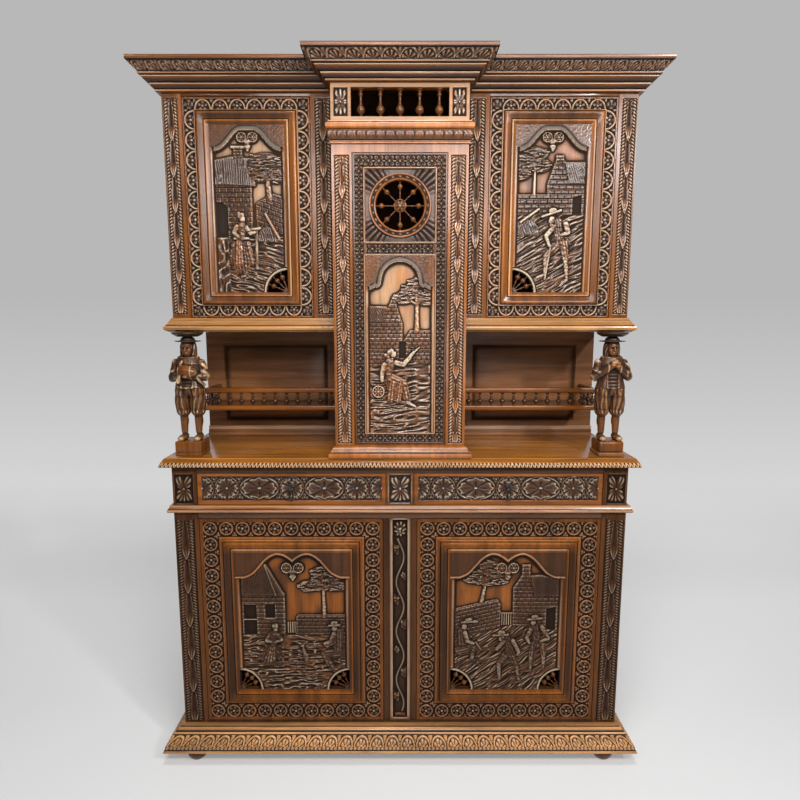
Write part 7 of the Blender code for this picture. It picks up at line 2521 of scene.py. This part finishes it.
def plain_finish(name, shades, rough):
    """Paper of the stage: lit and shaded on the floor, shown at set shades going up the wall."""
    material, tree, shader, place = new_finish(name)
    shader.inputs["Base Color"].default_value = (0.85, 0.85, 0.85, 1.0)
    shader.inputs["Roughness"].default_value = rough
    shader.inputs["Specular IOR Level"].default_value = 0.1
    apart = add_node(tree, "ShaderNodeSeparateXYZ", {"Vector": place}).outputs
    height = apart["Z"]
    # Painted light: the glow darkens towards the front of the floor and going up the wall
    colour = blend(tree, spread(tree, apart["Y"], 0.1, 0.9), (0.615,) * 3, (shades[0][1],) * 3)
    for (low, _), (high, shade) in zip(shades, shades[1:]):
        colour = blend(tree, spread(tree, height, low, high), colour, (shade,) * 3)
    painted_glow = add_node(tree, "ShaderNodeEmission", {"Color": colour, "Strength": 1.0}).outputs[0]
    seen = add_node(tree, "ShaderNodeLightPath").outputs
    seen = [seen[f"Is {kind} Ray"] for kind in ("Camera", "Glossy", "Transmission")]
    for other in seen[1:]:
        seen[0] = sum_of(tree, seen[0], other, "MAXIMUM")
    share = sum_of(tree, seen[0], spread(tree, height, 0.0, 0.30, 0.42, 1.0), "MULTIPLY")
    mixed = add_node(tree, "ShaderNodeMixShader", {0: share, 1: shader.outputs[0], 2: painted_glow})
    tree.links.new(mixed.outputs[0], tree.nodes["Material Output"].inputs["Surface"])
    return material


def lamp(name, place, aim, size, power):
    """Soft oblong lamp."""
    data = bpy.data.lights.new(name, "AREA")
    data.shape, data.size, data.size_y, data.energy = "RECTANGLE", *size, power
    item = bpy.data.objects.new(name, data)
    bpy.context.scene.collection.objects.link(item)
    item.location = place
    item.rotation_euler = (Vector(aim) - Vector(place)).to_track_quat("-Z", "Y").to_euler()


# Painted glow of the paper at each height, lamps as (name, place, aim, size, watts), and the camera
PAPER_GLOW = ((0.0, 0.83), (0.10, 0.73), (0.27, 0.668), (0.86, 0.578), (1.6, 0.479))
LAMPS = (
    ("Key", (0.2, -1.95, 2.25), (0.0, 0.0, 1.25), (1.8, 0.5), 42.0),
    ("Left", (-1.7, -2.3, 2.6), (0.0, 0.0, 1.1), (0.2, 0.2), 6.0),
    ("Right", (1.7, -2.3, 2.6), (0.0, 0.0, 1.1), (0.2, 0.2), 44.0),
    ("Low", (0.2, -2.8, 1.2), (0.0, 0.0, 1.1), (0.5, 0.5), 8.0),
    ("Top", (0.0, -1.3, 4.0), (0.0, 0.1, 1.0), (0.8, 0.8), 60.0),
)
CAMERA_PLACE, CAMERA_TILT, CAMERA_LENS, CAMERA_SENSOR = (0.0, -1.832, 1.408), 90.0 - 7.7, 25.2, 36.0
ROOM_LIGHT = 0.05


def make_stage():
    """Pale sweep of paper, soft lamps and the camera."""
    scene = bpy.context.scene
    turn, rear, front, half, top = 0.9, 2.2, -5.0, 7.0, 6.0
    arc = [(rear - turn + turn * math.sin(t), turn - turn * math.cos(t)) for t in np.linspace(0, math.pi / 2, 24)]
    line = [(front, 0.0), *arc, (rear, top)]
    paper = laid_grid("paper_sweep", np.array([[(x, y, z) for x in (-half, half)] for y, z in line]))
    take_up(paper)
    bpy.ops.object.shade_smooth()
    paper.data.materials.append(plain_finish("pale_paper", PAPER_GLOW, 0.9))
    scene.world = bpy.data.worlds.new("Soft room")
    scene.world.use_nodes = True
    room = scene.world.node_tree.nodes["Background"].inputs
    room["Color"].default_value, room["Strength"].default_value = (1.0, 1.0, 1.0, 1.0), ROOM_LIGHT
    for row in LAMPS:
        lamp(*row)
    camera = bpy.data.cameras.new("Camera")
    camera.sensor_width, camera.lens = CAMERA_SENSOR, CAMERA_LENS
    item = bpy.data.objects.new("Camera", camera)
    scene.collection.objects.link(item)
    item.location = CAMERA_PLACE
    item.rotation_euler = (math.radians(CAMERA_TILT), 0.0, 0.0)
    scene.camera = item
    scene.view_settings.view_transform = "Standard"


JOBS = (
    ("feet", "Feet", make_feet), ("plinth", "Plinth", make_plinth), ("lower_case", "Lower case", make_lower_case),
    ("drawer_frame", "Drawer frame", make_drawer_frame), ("table", "Table top", make_table),
    ("niche", "Niche back", make_niche),
    ("galleries", "Galleries", make_galleries), ("upper_case", "Upper case", make_upper_case),
    ("column", "Column", make_column),
    ("attic", "Attic frame", make_attic), ("cornice", "Cornice", make_cornice), ("figures", "Figures", make_figures),
    ("lower_doors", "Lower doors", make_lower_doors), ("upper_doors", "Upper doors", make_upper_doors),
    ("centre_door", "Column door", make_centre_door), ("drawers", "Drawers", make_drawers),
    ("inside", "Inside finishes", dress_inside),
    ("stage", "Stage", make_stage),
)


def job_operator(key, label, work):
    """Operator that makes one group of pieces."""
    def execute(self, context):
        work()
        return {"FINISHED"}
    return type(f"BUFFET_OT_{key}", (bpy.types.Operator,), {
        "__doc__": work.__doc__, "bl_idname": f"buffet.{key}", "bl_label": label, "execute": execute})


OPERATORS = [job_operator(*job) for job in JOBS]


class BUFFET_PT_pieces(bpy.types.Panel):
    """Sizes, colours and makers of the buffet's pieces."""

    bl_label = "Carved Oak Buffet"
    bl_space_type = "VIEW_3D"
    bl_region_type = "UI"
    bl_category = "Buffet"

    def draw(self, context):
        for group in (context.scene.buffet_carving, context.scene.buffet_finish):
            for name in group.__annotations__:
                self.layout.prop(group, name)
        for key, label, _ in JOBS:
            self.layout.operator(f"buffet.{key}", text=label)


CLASSES = (BuffetFinish, BuffetCarving, *OPERATORS, BUFFET_PT_pieces)


def register():
    """Adds the classes and the scene's settings."""
    for item in CLASSES:
        bpy.utils.register_class(item)
    bpy.types.Scene.buffet_finish = PointerProperty(type=BuffetFinish)
    bpy.types.Scene.buffet_carving = PointerProperty(type=BuffetCarving)


def unregister():
    """Takes them away again."""
    del bpy.types.Scene.buffet_carving
    del bpy.types.Scene.buffet_finish
    for item in reversed(CLASSES):
        bpy.utils.unregister_class(item)


def main():
    """Makes every piece in order and notes both boxes."""
    register()
    put_down()
    for key, _, _ in JOBS:
        getattr(bpy.ops.buffet, key)()


if __name__ == "__main__":
    main()
